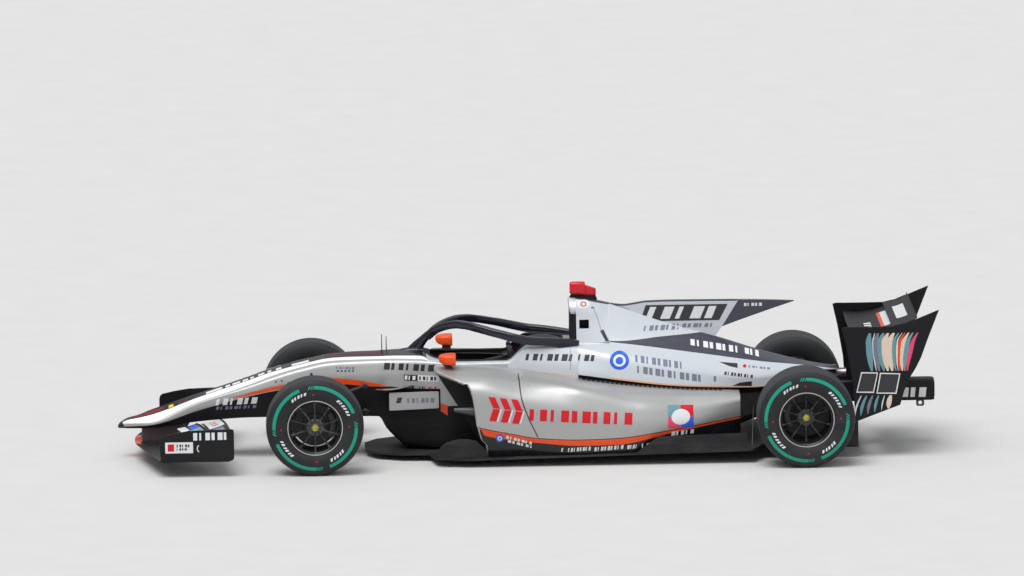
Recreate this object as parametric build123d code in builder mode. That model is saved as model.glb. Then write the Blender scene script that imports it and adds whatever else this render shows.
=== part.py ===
from build123d import *
from math import cos, radians, sin, tan
import os

os.makedirs("parts", exist_ok=True)

# An open wheel single-seater, in millimetres: +X to the rear, +Y to the driver's right, +Z up.
# The origin is on the ground under the middle of its length.
LENGTH = 5233.0
WIDTH = 1910.0
WHEELBASE = 3115.0
NOSE_OVERHANG = 1250.0
SEAT_GAP = 0.3
NOSE_X = -LENGTH / 2
TAIL_X = LENGTH / 2
FRONT_AXLE_X = NOSE_X + NOSE_OVERHANG
REAR_AXLE_X = FRONT_AXLE_X + WHEELBASE

# Wheels and tyres.
TYRE_RADIUS = 310.0
FRONT_TYRE_WIDTH = 270.0
REAR_TYRE_WIDTH = 360.0
BEAD_RADIUS = 166.0
BEAD_INSET = 24.0
FLANGE_RADIUS = 178.0
FLANGE_WIDTH = 12.0
BARREL_WALL = 12.0
SPOKE_COUNT = 10
SPOKE_DEPTH = 20.0
SPOKE_ROOT_WIDTH = 28.0
HUB_RADIUS = 55.0
NUT_RADIUS = 25.0
NUT_LENGTH = 22.0
FRONT_HUB_RECESS = 45.0
REAR_HUB_RECESS = 125.0
DISC_RADIUS = 135.0
DISC_WIDTH = 28.0
DISC_INSET = 14.0

# Floor: a flat plate raked up to the rear, on a plank.
FLOOR_FRONT_X = FRONT_AXLE_X + 329.5
FLOOR_REAR_X = REAR_AXLE_X - 278.5
FLOOR_FRONT_Z = 44.0
FLOOR_THICKNESS = 12.0
FLOOR_RAKE_DEG = 1.12
FLOOR_HALF_WIDTH = 700.0
PLANK_THICKNESS = 10.0
PLANK_HALF_WIDTH = 150.0
DIFFUSER_REAR_X = REAR_AXLE_X + 349.0
DIFFUSER_HALF_WIDTH = WIDTH / 2 - REAR_TYRE_WIDTH - 75.0
DIFFUSER_ANGLE_DEG = 12.0
DIFFUSER_WALL = 8.0
DIFFUSER_SKIRT_Z = 66.0
STRAKE_YS = (90.0, 260.0)

# Tub and its cockpit.
TUB_FRONT_X = FRONT_AXLE_X - 273.5
TUB_REAR_X = FRONT_AXLE_X + 1690.0
TUB_WALL = 22.0
FOOTWELL_X = FRONT_AXLE_X - 60.0
COCKPIT_FRONT_X = FRONT_AXLE_X + 727.0
COCKPIT_REAR_X = FRONT_AXLE_X + 1600.0

# Steering.
KINGPIN_Y = WIDTH / 2 - FRONT_TYRE_WIDTH + 40.0
UPRIGHT_TOP_Z = 425.0
UPRIGHT_BOTTOM_Z = 195.0
UPRIGHT_WIDTH = 70.0
UPRIGHT_DEPTH = 36.0
BALL_GAP = 0.5
PIVOT_RADIUS = 18.0
PIVOT_HEIGHT = 14.0
ARM_CHORD = 44.0
ARM_THICKNESS = 12.0
PICKUP_HALF_LENGTH = 30.0
PICKUP_HALF_HEIGHT = 13.0
PICKUP_DEPTH = 60.0
PUSHROD_RADIUS = 9.0
PUSHROD_OFFSET = -10.0
PUSHROD_PICKUP_Y = 196.0
PUSHROD_PICKUP_Z = 545.0
STEER_ARM_REACH = 100.0
STEER_ARM_Z = 330.0
STEER_ARM_THICKNESS = 12.0
TRACK_ROD_RADIUS = 8.0
TRACK_ROD_EYE_HALF_HEIGHT = 10.0
TRACK_ROD_EYE_RADIUS = 12.0
TRACK_ROD_X = FRONT_AXLE_X - STEER_ARM_REACH
TRACK_ROD_Z = STEER_ARM_Z + STEER_ARM_THICKNESS + BALL_GAP + TRACK_ROD_EYE_HALF_HEIGHT
SPINDLE_RADIUS = 22.0
SPINDLE_END_Y = WIDTH / 2 - 93.0
SPINDLE_END_GAP = 3.0
BEARING_GAP = 0.3
RUNNING_GAP = 5.5

# Front suspension arms: x offset from the axle, y and z where they meet the tub, z at the upright.
UPPER_PIVOT_Z = UPRIGHT_TOP_Z + BALL_GAP + PIVOT_HEIGHT / 2
LOWER_PIVOT_Z = UPRIGHT_BOTTOM_Z - BALL_GAP - PIVOT_HEIGHT / 2
WISHBONE_LEGS = [
    (-150.0, 200.0, 480.0, UPPER_PIVOT_Z),
    (330.0, 236.0, 470.0, UPPER_PIVOT_Z),
    (-150.0, 176.0, 300.0, LOWER_PIVOT_Z),
    (330.0, 196.0, 300.0, LOWER_PIVOT_Z),
]

# Rear wing and tail.
WING_HALF_SPAN = 550.0
ENDPLATE_THICKNESS = 8.0
CRASH_HALF_WIDTH = 70.0
CRASH_BOTTOM_Z = 288.0
CRASH_TOP_Z = 429.0
GEARBOX_REAR_X = REAR_AXLE_X + 212.0
ENGINE_REAR_X = REAR_AXLE_X - 848.5
EXHAUST_RADIUS = 36.0
PYLON_FRONT_X = TAIL_X - 560.0
PYLON_REAR_X = TAIL_X - 330.0
PYLON_Y = 48.0
EXHAUST_REAR_X = PYLON_FRONT_X - 6.0
EXHAUST_LENGTH = 510.0
EXHAUST_WALL = 4.0
TOW_EYE_AHEAD = 92.0
TOW_EYE_DROP = 44.0
TOW_EYE_RADIUS = 12.0
TOW_EYE_THICKNESS = 12.0


def floor_top(x):
    """Height of the floor's upper face at station x."""
    return FLOOR_FRONT_Z + (x - FLOOR_FRONT_X) * tan(radians(FLOOR_RAKE_DEG))


def ring(x, half):
    """A closed cross-section at station x: half outline (y, z), from the middle down one side, and its mirror."""
    back = [(-y, z) for y, z in reversed(half) if y > 0]
    with BuildSketch(Plane.YZ.offset(x)) as outline:
        with BuildLine():
            Polyline(*half, *back, close=True)
        make_face()
    return outline.sketch


def side_ring(x, points):
    """A closed cross-section at station x on the driver's right."""
    with BuildSketch(Plane.YZ.offset(x)) as outline:
        with BuildLine():
            Polyline(*points, close=True)
        make_face()
    return outline.sketch


def chord_ring(y, points):
    """A closed wing profile at span station y: points are (x, z)."""
    with BuildSketch(Plane.XZ.offset(-y)) as outline:
        with BuildLine():
            Polyline(*points, close=True)
        make_face()
    return outline.sketch


def wing_profile(lead_x, lead_z, trail_x, trail_z, thickness, camber):
    """A wing's profile, hollow side up: nose, upper face, trailing edge, lower face."""
    run, rise = trail_x - lead_x, trail_z - lead_z
    upper = [(lead_x + run * s, lead_z + rise * s - camber * sag) for s, sag in ((0.3, 0.8), (0.65, 0.9))]
    lower = [(x, z - thickness * share) for (x, z), share in zip(upper, (1.0, 0.65))]
    return [
        (lead_x, lead_z),
        *upper,
        (trail_x, trail_z),
        (trail_x, trail_z - 3),
        *reversed(lower),
        (lead_x, lead_z - thickness * 0.4),
    ]


def bar(start, end, radius):
    """A round bar from start to end, added to the open part."""
    along = Vector(*end) - Vector(*start)
    with BuildSketch(Plane(origin=start, z_dir=along)) as section:
        Circle(radius)
    extrude(section.sketch, amount=along.length)


def blade(start, end, chord, thickness):
    """A streamlined bar, level chord along X, from start to end."""
    along = Vector(*end) - Vector(*start)
    across = Vector(1, 0, 0) - along * (along.X / along.dot(along))
    with BuildSketch(Plane(origin=start, x_dir=across, z_dir=along)) as section:
        with BuildLine():
            Polyline(
                (-chord / 2, 0),
                (-chord / 4, thickness / 2),
                (chord / 6, thickness / 2),
                (chord / 2, 0),
                (chord / 6, -thickness / 2),
                (-chord / 4, -thickness / 2),
                close=True,
            )
        make_face()
    extrude(section.sketch, amount=along.length)


# Nose cone: share of its length, crown z, top y, top z, shoulder y, shoulder z, flank y, flank z, belly y, belly z.
NOSE_STATIONS = [
    (0.000, 210, 14, 209, 20, 204, 20, 198, 12, 190),
    (0.065, 255, 26, 247, 42, 222, 44, 206, 34, 190),
    (0.210, 301, 40, 290, 75, 238, 80, 215, 66, 194),
    (0.540, 406, 60, 393, 110, 358, 118, 310, 98, 232),
    (0.866, 508, 85, 499, 150, 464, 166, 410, 140, 257),
    (1.000, 553, 90, 545, 157, 510, 177, 445, 146, 259),
]
# Tub: x behind the front axle, crown z, top y, top z, shoulder y, shoulder z, flank y, flank z, belly y, belly lift.
TUB_STATIONS = [
    (-273.5, 553, 90, 545, 157, 510, 177, 445, 146, 228),
    (121.5, 647, 100, 634, 170, 606, 203, 500, 150, 216),
    (366.5, 660, 125, 643, 186, 616, 226, 490, 158, 208),
    (466.5, 664, 142, 646, 202, 618, 240, 486, 176, 128),
    (571.5, 667, 165, 649, 225, 620, 258, 486, 200, 0),
    (684.5, 668, 200, 652, 262, 621, 286, 486, 226, 0),
    (750.0, 645, 236, 636, 282, 619, 298, 486, 250, 0),
    (905.5, 622, 260, 620, 302, 610, 310, 486, 292, 0),
    (1230.5, 624, 258, 622, 300, 612, 316, 500, 300, 0),
    (1330.5, 702, 248, 700, 288, 684, 324, 560, 300, 0),
    (1370.5, 724, 243, 722, 284, 702, 326, 570, 300, 0),
    (1690.0, 714, 205, 712, 252, 690, 330, 562, 300, 0),
]


def nose_outline(row):
    share, crown, top_y, top_z, shoulder_y, shoulder_z, flank_y, flank_z, belly_y, belly_z = row
    half = [(0, crown), (top_y, top_z), (shoulder_y, shoulder_z), (flank_y, flank_z), (belly_y, belly_z)]
    return ring(NOSE_X + share * (TUB_FRONT_X - NOSE_X), half)


def tub_outline(row, inset):
    """The tub's section, drawn in by inset: zero for its skin, the wall for its cavity."""
    behind, crown, top_y, top_z, shoulder_y, shoulder_z, flank_y, flank_z, belly_y, lift = row
    x = FRONT_AXLE_X + behind
    half = [
        (0, crown - inset),
        (top_y - inset, top_z - inset),
        (shoulder_y - inset, shoulder_z - inset * 0.7),
        (flank_y - inset, flank_z),
        (belly_y - inset, floor_top(x) + lift + SEAT_GAP + inset),
    ]
    return ring(x, half)


with BuildPart() as nose_cone:
    loft([nose_outline(row) for row in NOSE_STATIONS], ruled=True)
nose_cone.part.label = "nose_cone"
export_step(nose_cone.part, "parts/nose_cone.step")

with BuildPart() as tub_hull:
    loft([tub_outline(row, 0) for row in TUB_STATIONS], ruled=True)

# Cockpit opening in plan: x as a share from its front to its rear, half-width.
OPENING_PLAN = [(0.0, 150), (0.10, 205), (0.28, 238), (0.72, 232), (0.90, 190), (1.0, 150)]


def opening_outline(inset):
    """The cockpit opening in plan, drawn in by inset all round."""
    span = COCKPIT_REAR_X - COCKPIT_FRONT_X - 2 * inset
    half = [(COCKPIT_FRONT_X + inset + share * span, y - inset) for share, y in OPENING_PLAN]
    return half + [(x, -y) for x, y in reversed(half)]


with BuildPart() as monocoque:
    add(tub_hull.part)
    with BuildPart(mode=Mode.PRIVATE) as cavity:
        loft([tub_outline(row, TUB_WALL) for row in TUB_STATIONS], ruled=True)
        split(bisect_by=Plane.YZ.offset(FOOTWELL_X), keep=Keep.TOP)
        split(bisect_by=Plane.YZ.offset(TUB_REAR_X - TUB_WALL), keep=Keep.BOTTOM)
    add(cavity.part, mode=Mode.SUBTRACT)
    with BuildSketch(Plane.XY.offset(560)):
        with BuildLine():
            Polyline(*opening_outline(0), close=True)
        make_face()
    extrude(amount=300, mode=Mode.SUBTRACT)
    with BuildSketch(Plane.XZ):
        with Locations((TRACK_ROD_X, TRACK_ROD_Z)):
            Circle(TRACK_ROD_RADIUS + BEARING_GAP)
    extrude(amount=400, both=True, mode=Mode.SUBTRACT)
    pickups = [(offset, y, z, PICKUP_HALF_LENGTH) for offset, y, z, pivot in WISHBONE_LEGS]
    pickups.append((PUSHROD_OFFSET, PUSHROD_PICKUP_Y, PUSHROD_PICKUP_Z, 2 * PUSHROD_RADIUS))
    for offset, pickup_y, pickup_z, half_length in pickups:
        for side in (-1, 1):
            with BuildSketch(Plane.XZ.offset(-side * pickup_y)):
                with Locations((FRONT_AXLE_X + offset, pickup_z)):
                    Rectangle(2 * half_length, 2 * PICKUP_HALF_HEIGHT)
            extrude(amount=side * PICKUP_DEPTH)
monocoque.part.label = "monocoque"
export_step(monocoque.part, "parts/monocoque.step")

# Floor plate: x as a share from its front to its rear, how far its edge is drawn in from the full half-width.
FLOOR_PLAN = [
    (0.0, 550),
    (0.03, 410),
    (0.09, 320),
    (0.16, 300),
    (0.175, 80),
    (0.24, 10),
    (0.27, 0),
    (0.98, 0),
    (1.0, 140),
]
FLOOR_PLANE = Plane(
    origin=(FLOOR_FRONT_X, 0, FLOOR_FRONT_Z),
    x_dir=(cos(radians(FLOOR_RAKE_DEG)), 0, sin(radians(FLOOR_RAKE_DEG))),
    z_dir=(-sin(radians(FLOOR_RAKE_DEG)), 0, cos(radians(FLOOR_RAKE_DEG))),
)
FLOOR_LENGTH = FLOOR_REAR_X - FLOOR_FRONT_X
FENCE_HEIGHT = 105.0
FENCE_THICKNESS = 6.0
FOOT_VANE_HEIGHT = 130.0

with BuildPart() as floor:
    with BuildSketch(FLOOR_PLANE):
        with BuildLine():
            half = [(share * FLOOR_LENGTH, FLOOR_HALF_WIDTH - drawn_in) for share, drawn_in in FLOOR_PLAN]
            Polyline(*half, *[(x, -y) for x, y in reversed(half)], close=True)
        make_face()
    extrude(amount=-FLOOR_THICKNESS)
    for side in (-1, 1):
        fence_y = side * (FLOOR_HALF_WIDTH - FENCE_THICKNESS / 2)
        with BuildSketch(Plane.XZ.offset(-fence_y)):
            with BuildLine():
                fence_front = FLOOR_FRONT_X + 0.68 * FLOOR_LENGTH
                fence_rear = FLOOR_FRONT_X + 0.965 * FLOOR_LENGTH
                Polyline(
                    (fence_front, floor_top(fence_front) - 2),
                    (fence_front + 150, floor_top(fence_front) + FENCE_HEIGHT),
                    (fence_rear, floor_top(fence_rear) + FENCE_HEIGHT),
                    (fence_rear, floor_top(fence_rear) - 2),
                    close=True,
                )
            make_face()
        extrude(amount=FENCE_THICKNESS / 2, both=True)
        vane_y = side * (FLOOR_HALF_WIDTH - 30)
        with BuildSketch(Plane.XZ.offset(-vane_y)):
            with BuildLine():
                vane_front = FLOOR_FRONT_X + 0.178 * FLOOR_LENGTH
                Polyline(
                    (vane_front, floor_top(vane_front) - 4),
                    (vane_front + 40, floor_top(vane_front) + 0.75 * FOOT_VANE_HEIGHT),
                    (vane_front + 150, floor_top(vane_front) + FOOT_VANE_HEIGHT),
                    (vane_front + 250, floor_top(vane_front) + 0.9 * FOOT_VANE_HEIGHT),
                    (vane_front + 330, floor_top(vane_front) - 2),
                    close=True,
                )
            make_face()
        extrude(amount=FENCE_THICKNESS / 2, both=True)
floor.part.label = "floor"
export_step(floor.part, "parts/floor.step")

with BuildPart() as skid_plank:
    with BuildSketch(FLOOR_PLANE.offset(-FLOOR_THICKNESS)):
        with Locations((FLOOR_LENGTH / 2, 0)):
            Rectangle(FLOOR_LENGTH - 60, 2 * PLANK_HALF_WIDTH)
    extrude(amount=-PLANK_THICKNESS)
skid_plank.part.label = "skid_plank"
export_step(skid_plank.part, "parts/skid_plank.step")

# Diffuser: a roof rising from the floor's rear edge, its side walls and its strakes.
DIFFUSER_FRONT_X = FLOOR_REAR_X + SEAT_GAP
DIFFUSER_LENGTH = DIFFUSER_REAR_X - DIFFUSER_FRONT_X
DIFFUSER_TOP_FRONT_Z = floor_top(FLOOR_REAR_X)
DIFFUSER_TOP_REAR_Z = DIFFUSER_TOP_FRONT_Z + DIFFUSER_LENGTH * tan(radians(DIFFUSER_ANGLE_DEG))
DIFFUSER_SIDE_Y = DIFFUSER_HALF_WIDTH - DIFFUSER_WALL / 2
STRAKE_RUN = 60.0

with BuildPart() as diffuser:
    with BuildSketch(Plane.XZ):
        with BuildLine():
            Polyline(
                (DIFFUSER_FRONT_X, DIFFUSER_TOP_FRONT_Z),
                (DIFFUSER_REAR_X, DIFFUSER_TOP_REAR_Z),
                (DIFFUSER_REAR_X, DIFFUSER_TOP_REAR_Z - DIFFUSER_WALL),
                (DIFFUSER_FRONT_X, DIFFUSER_TOP_FRONT_Z - DIFFUSER_WALL),
                close=True,
            )
        make_face()
    extrude(amount=DIFFUSER_HALF_WIDTH, both=True)
    strake_rise = STRAKE_RUN * tan(radians(DIFFUSER_ANGLE_DEG))
    for wall_y in [side * y for side in (-1, 1) for y in (*STRAKE_YS, DIFFUSER_SIDE_Y)]:
        with BuildSketch(Plane.XZ.offset(-wall_y)):
            with BuildLine():
                Polyline(
                    (DIFFUSER_FRONT_X + STRAKE_RUN, DIFFUSER_TOP_FRONT_Z + strake_rise - 2),
                    (DIFFUSER_REAR_X, DIFFUSER_TOP_REAR_Z - 2),
                    (DIFFUSER_REAR_X, DIFFUSER_SKIRT_Z),
                    (DIFFUSER_FRONT_X + STRAKE_RUN, DIFFUSER_SKIRT_Z),
                    close=True,
                )
            make_face()
        extrude(amount=DIFFUSER_WALL / 2, both=True)
diffuser.part.label = "diffuser"
export_step(diffuser.part, "parts/diffuser.step")

# Engine cover: x behind the roll hoop's rear face as a share of the way to its tail, then the half outline's
# ridge y, ridge z, brow y, brow z, hip y, hip z, side y, side z, sill y, sill z.
HOOP_FRONT_X = TUB_REAR_X + SEAT_GAP
HOOP_REAR_X = FRONT_AXLE_X + 1896.5
COVER_REAR_X = PYLON_FRONT_X - 68.0
DECK_Z = 712.0
DECK_HALF_WIDTH = 150.0
COVER_WALL = 14.0
COVER_FRONT = [(0, DECK_Z), (DECK_HALF_WIDTH, DECK_Z), (205, DECK_Z), (252, 690), (330, 562)]
COVER_STATIONS = [
    (0.000, 26, 925, 92, 830, DECK_HALF_WIDTH, DECK_Z, 286, 650, 330, 532),
    (0.255, 14, 812, 68, 742, 150, 664, 285, 590, 322, 486),
    (0.495, 9, 708, 58, 672, 140, 615, 255, 522, 266, 426),
    (0.650, 9, 634, 52, 617, 125, 586, 214, 500, 224, 418),
    (0.905, 9, 538, 40, 532, 90, 522, 112, 512, 108, 502),
    (1.000, 9, 516, 38, 514, 72, 511, 84, 508, 82, 502),
]


def cover_outline(row, inset):
    share, ridge_y, ridge_z, brow_y, brow_z, hip_y, hip_z, side_y, side_z, sill_y, sill_z = row
    half = [
        (0, ridge_z - inset),
        (max(ridge_y - inset, 2), ridge_z - inset),
        (max(brow_y - inset, 4), brow_z - inset),
        (hip_y - inset, hip_z - inset),
        (side_y - inset, side_z - inset * 0.5),
        (sill_y - inset, sill_z - inset),
        (0, sill_z - inset),
    ]
    return side_ring(HOOP_REAR_X + share * (COVER_REAR_X - HOOP_REAR_X), half)


def deck_outline(x, inset):
    side_z, sill_z = (690, 562) if x < HOOP_REAR_X else (650, 532)
    side_y = 252 if x < HOOP_REAR_X else 286
    half = [
        (0, DECK_Z - inset),
        (DECK_HALF_WIDTH - inset, DECK_Z - inset),
        (side_y - inset, side_z - inset * 0.5),
        (330 - inset, sill_z - inset),
        (0, sill_z - inset),
    ]
    return side_ring(x, half)


with BuildPart() as cover_hull:
    loft([deck_outline(HOOP_FRONT_X, 0), deck_outline(HOOP_REAR_X, 0)], ruled=True)
    loft([cover_outline(row, 0) for row in COVER_STATIONS], ruled=True)
    mirror(about=Plane.XZ)

with BuildPart() as cover_cavity:
    loft([deck_outline(HOOP_FRONT_X, COVER_WALL), deck_outline(HOOP_REAR_X, COVER_WALL)], ruled=True)
    loft([cover_outline(row, COVER_WALL) for row in COVER_STATIONS[:5]], ruled=True)
    mirror(about=Plane.XZ)

FIN_THICKNESS = 10.0
FIN_TOP_FRONT_Z = 925.0
FIN_TIP_X = REAR_AXLE_X - 27.0
FIN_TIP_Z = 941.0
FIN_ROOT_X = REAR_AXLE_X - 498.5
FIN_ROOT_Z = 756.0

with BuildPart() as engine_cover:
    add(cover_hull.part)
    add(cover_cavity.part, mode=Mode.SUBTRACT)
    with BuildSketch(Plane.XZ):
        with BuildLine():
            Polyline(
                (HOOP_REAR_X + 2, FIN_TOP_FRONT_Z),
                (HOOP_REAR_X + 180, FIN_TOP_FRONT_Z + 9),
                (FIN_TIP_X, FIN_TIP_Z),
                (FIN_ROOT_X, FIN_ROOT_Z),
                (FIN_ROOT_X + 90, 682),
                (FIN_ROOT_X, 700),
                (HOOP_REAR_X + 394, 808),
                (HOOP_REAR_X + 2, 915),
                close=True,
            )
        make_face()
    extrude(amount=FIN_THICKNESS / 2, both=True)
engine_cover.part.label = "engine_cover"
export_step(engine_cover.part, "parts/engine_cover.step")

# Roll hoop with the engine's air intake: base, waist and roof half outline at its front and rear.
INTAKE_FRONT_X = HOOP_FRONT_X - 56.0
HOOP_TOP_Z = 986.0

with BuildPart() as roll_hoop:
    base_z = DECK_Z + SEAT_GAP
    base = [(DECK_HALF_WIDTH, base_z), (0, base_z)]
    front = [(0, HOOP_TOP_Z), (52, HOOP_TOP_Z), (92, HOOP_TOP_Z - 60), (105, 850), *base]
    rear = [(0, 925), (26, 925), (60, 878), (92, 830), *base]
    loft([side_ring(HOOP_FRONT_X, front), side_ring(HOOP_REAR_X - SEAT_GAP, rear)], ruled=True)
    lip = [(0, HOOP_TOP_Z), (50, HOOP_TOP_Z), (84, HOOP_TOP_Z - 55), (84, 880), (60, 862), (0, 862)]
    throat = [(0, HOOP_TOP_Z), (52, HOOP_TOP_Z), (92, HOOP_TOP_Z - 60), (95, 880), (66, 850), (0, 850)]
    loft([side_ring(INTAKE_FRONT_X, lip), side_ring(HOOP_FRONT_X, throat)], ruled=True)
    bore = [(0, HOOP_TOP_Z - 12), (44, HOOP_TOP_Z - 12), (72, HOOP_TOP_Z - 58), (72, 884), (54, 874), (0, 874)]
    bore_end = [(0, 930), (30, 930), (46, 905), (46, 884), (34, 874), (0, 874)]
    loft(
        [side_ring(INTAKE_FRONT_X - 1, bore), side_ring(HOOP_FRONT_X + 150, bore_end)],
        ruled=True,
        mode=Mode.SUBTRACT,
    )
    mirror(about=Plane.XZ)
    with BuildSketch(Plane.XZ):
        with Locations((HOOP_FRONT_X + 48, 825)):
            Rectangle(62, 54)
    extrude(amount=DECK_HALF_WIDTH, both=True, mode=Mode.SUBTRACT)
roll_hoop.part.label = "roll_hoop"
export_step(roll_hoop.part, "parts/roll_hoop.step")

with BuildPart() as camera_pod:
    pod_base = HOOP_TOP_Z + SEAT_GAP
    with BuildSketch(Plane.XZ):
        with BuildLine():
            Polyline(
                (INTAKE_FRONT_X + 17, pod_base + 34),
                (INTAKE_FRONT_X + 17, 1078),
                (INTAKE_FRONT_X + 30, 1085),
                (INTAKE_FRONT_X + 112, 1083),
                (INTAKE_FRONT_X + 118, 1062),
                (INTAKE_FRONT_X + 186, 1040),
                (INTAKE_FRONT_X + 186, pod_base + 20),
                (INTAKE_FRONT_X + 80, pod_base + 20),
                (INTAKE_FRONT_X + 76, pod_base),
                (INTAKE_FRONT_X + 58, pod_base),
                (INTAKE_FRONT_X + 50, pod_base + 26),
                close=True,
            )
        make_face()
    extrude(amount=36, both=True)
camera_pod.part.label = "camera_pod"
export_step(camera_pod.part, "parts/camera_pod.step")

# Sidepods: x as a share from front to rear, inner z, crease y, z, shoulder y, z, flank y, z, skirt y, z, foot y.
POD_FRONT_X = FRONT_AXLE_X + 766.5
POD_REAR_X = REAR_AXLE_X - 398.5
POD_INNER_Y = 222.0
POD_STATIONS = [
    (0.000, 606, 480, 606, 640, 562, 700, 495, 700, 243, 640),
    (0.154, 600, 470, 598, 632, 556, 700, 482, 702, 250, 640),
    (0.282, 590, 450, 562, 600, 520, 700, 430, 702, 190, 650),
    (0.385, 582, 520, 535, 612, 506, 700, 380, 702, 160, 670),
    (0.482, 553, 560, 505, 645, 474, 700, 330, 700, 142, 680),
    (0.667, 508, 540, 440, 640, 375, 680, 260, 672, 172, 660),
    (0.820, 460, 480, 420, 572, 345, 602, 265, 596, 203, 588),
    (1.000, 408, 400, 402, 448, 380, 458, 312, 452, 250, 440),
]
# The air inlet's leading edge seen from the side: x behind the pod's front station, z.
INLET_EDGE = [(8, 610), (8, 604), (139, 558), (234, 495), (272, 396), (300, 277), (328, 243), (362, 40)]
# The inlet duct: x behind the front station, inner y, outer y, bottom z, top z.
DUCT_STATIONS = [(-20, 345, 684, 262, 588), (330, 345, 684, 262, 580), (640, 370, 620, 262, 500)]


def pod_outline(row):
    share, inner_z, crease_y, crease_z, shoulder_y, shoulder_z, flank_y, flank_z, skirt_y, skirt_z, foot_y = row
    x = POD_FRONT_X + share * (POD_REAR_X - POD_FRONT_X)
    foot_z = floor_top(x) + SEAT_GAP
    points = [
        (POD_INNER_Y, inner_z),
        (crease_y, crease_z),
        (shoulder_y, shoulder_z),
        (flank_y, flank_z),
        (skirt_y, skirt_z),
        (foot_y, foot_z),
        (POD_INNER_Y, foot_z),
    ]
    return side_ring(x, points)


def duct_outline(row):
    behind, inner_y, outer_y, bottom_z, top_z = row
    corner = 0.3 * (top_z - bottom_z)
    points = [
        (inner_y, bottom_z),
        (inner_y, top_z),
        (outer_y - corner, top_z - 0.1 * corner),
        (outer_y, top_z - corner),
        (outer_y, bottom_z),
    ]
    return side_ring(POD_FRONT_X + behind, points)


with BuildPart() as sidepod_right:
    loft([pod_outline(row) for row in POD_STATIONS], ruled=True)
    with BuildSketch(Plane.XZ):
        with BuildLine():
            edge = [(POD_FRONT_X + behind, z) for behind, z in INLET_EDGE]
            Polyline(*edge, (POD_FRONT_X - 50, 40), (POD_FRONT_X - 50, 610), close=True)
        make_face()
    extrude(amount=-1000, mode=Mode.SUBTRACT)
    loft([duct_outline(row) for row in DUCT_STATIONS], ruled=True, mode=Mode.SUBTRACT)
    add(tub_hull.part, mode=Mode.SUBTRACT)
    add(cover_hull.part, mode=Mode.SUBTRACT)
sidepod_right.part.label = "sidepod_right"
export_step(sidepod_right.part, "parts/sidepod_right.step")

with BuildPart() as sidepod_left:
    add(sidepod_right.part)
    mirror(about=Plane.XZ, mode=Mode.REPLACE)
sidepod_left.part.label = "sidepod_left"
export_step(sidepod_left.part, "parts/sidepod_left.step")

# Engine, gearbox and crash structure.
ENGINE_HALF_WIDTH = 205.0
ENGINE_TOP_Z = 500.0
# Gearbox: x share from engine to its rear face, half-width, bottom z, top z.
GEARBOX_STATIONS = [
    (0.0, 190, 100, 420),
    (0.35, 125, 130, 405),
    (0.55, 115, 205, 405),
    (0.8, 95, 236, CRASH_TOP_Z),
    (1.0, 78, 262, CRASH_TOP_Z),
]

with BuildPart() as engine_block:
    engine_front = TUB_REAR_X + SEAT_GAP
    engine_bottom = floor_top(ENGINE_REAR_X) + SEAT_GAP
    with BuildSketch(Plane.YZ.offset(engine_front)):
        with Locations((0, (engine_bottom + ENGINE_TOP_Z) / 2)):
            Rectangle(2 * ENGINE_HALF_WIDTH, ENGINE_TOP_Z - engine_bottom)
    extrude(amount=ENGINE_REAR_X - engine_front)
engine_block.part.label = "engine_block"
export_step(engine_block.part, "parts/engine_block.step")

GEARBOX_FRONT_X = ENGINE_REAR_X + SEAT_GAP


def gearbox_outline(row):
    share, half_width, bottom_z, top_z = row
    half = [
        (0, top_z),
        (half_width - 30, top_z),
        (half_width, top_z - 40),
        (half_width, bottom_z + 40),
        (half_width - 30, bottom_z),
    ]
    return ring(GEARBOX_FRONT_X + share * (GEARBOX_REAR_X - GEARBOX_FRONT_X), half)


with BuildPart() as gearbox:
    loft([gearbox_outline(row) for row in GEARBOX_STATIONS], ruled=True)
gearbox.part.label = "gearbox"
export_step(gearbox.part, "parts/gearbox.step")

with BuildPart() as rear_crash_structure:
    crash_front = GEARBOX_REAR_X + SEAT_GAP
    with BuildSketch(Plane.YZ.offset(crash_front)):
        with Locations((0, (CRASH_BOTTOM_Z + CRASH_TOP_Z) / 2)):
            RectangleRounded(2 * CRASH_HALF_WIDTH, CRASH_TOP_Z - CRASH_BOTTOM_Z, 14)
    extrude(amount=TAIL_X - 5 - crash_front)
    with BuildSketch(Plane.YZ.offset(TAIL_X - 5)):
        with Locations((0, (CRASH_BOTTOM_Z + CRASH_TOP_Z) / 2)):
            RectangleRounded(80, 100, 8)
    extrude(amount=4)
    with BuildSketch(Plane.XZ):
        with Locations((TAIL_X - TOW_EYE_AHEAD, CRASH_BOTTOM_Z - TOW_EYE_DROP / 2 + 4)):
            RectangleRounded(52, TOW_EYE_DROP + 8, 10)
        with Locations((TAIL_X - TOW_EYE_AHEAD, CRASH_BOTTOM_Z - TOW_EYE_DROP / 2)):
            Circle(TOW_EYE_RADIUS, mode=Mode.SUBTRACT)
    extrude(amount=TOW_EYE_THICKNESS / 2, both=True)
rear_crash_structure.part.label = "rear_crash_structure"
export_step(rear_crash_structure.part, "parts/rear_crash_structure.step")

with BuildPart() as exhaust:
    exhaust_z = CRASH_TOP_Z + SEAT_GAP + EXHAUST_RADIUS
    exhaust_front = EXHAUST_REAR_X - EXHAUST_LENGTH
    with BuildSketch(Plane.YZ.offset(exhaust_front)):
        with Locations((0, exhaust_z)):
            Circle(EXHAUST_RADIUS)
    extrude(amount=EXHAUST_REAR_X - exhaust_front)
    with BuildSketch(Plane.YZ.offset(EXHAUST_REAR_X)):
        with Locations((0, exhaust_z)):
            Circle(EXHAUST_RADIUS - EXHAUST_WALL)
    extrude(amount=-EXHAUST_LENGTH / 2, mode=Mode.SUBTRACT)
exhaust.part.label = "exhaust"
export_step(exhaust.part, "parts/exhaust.step")

# Rear wing.
ENDPLATE_INNER_Y = WING_HALF_SPAN - ENDPLATE_THICKNESS
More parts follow.
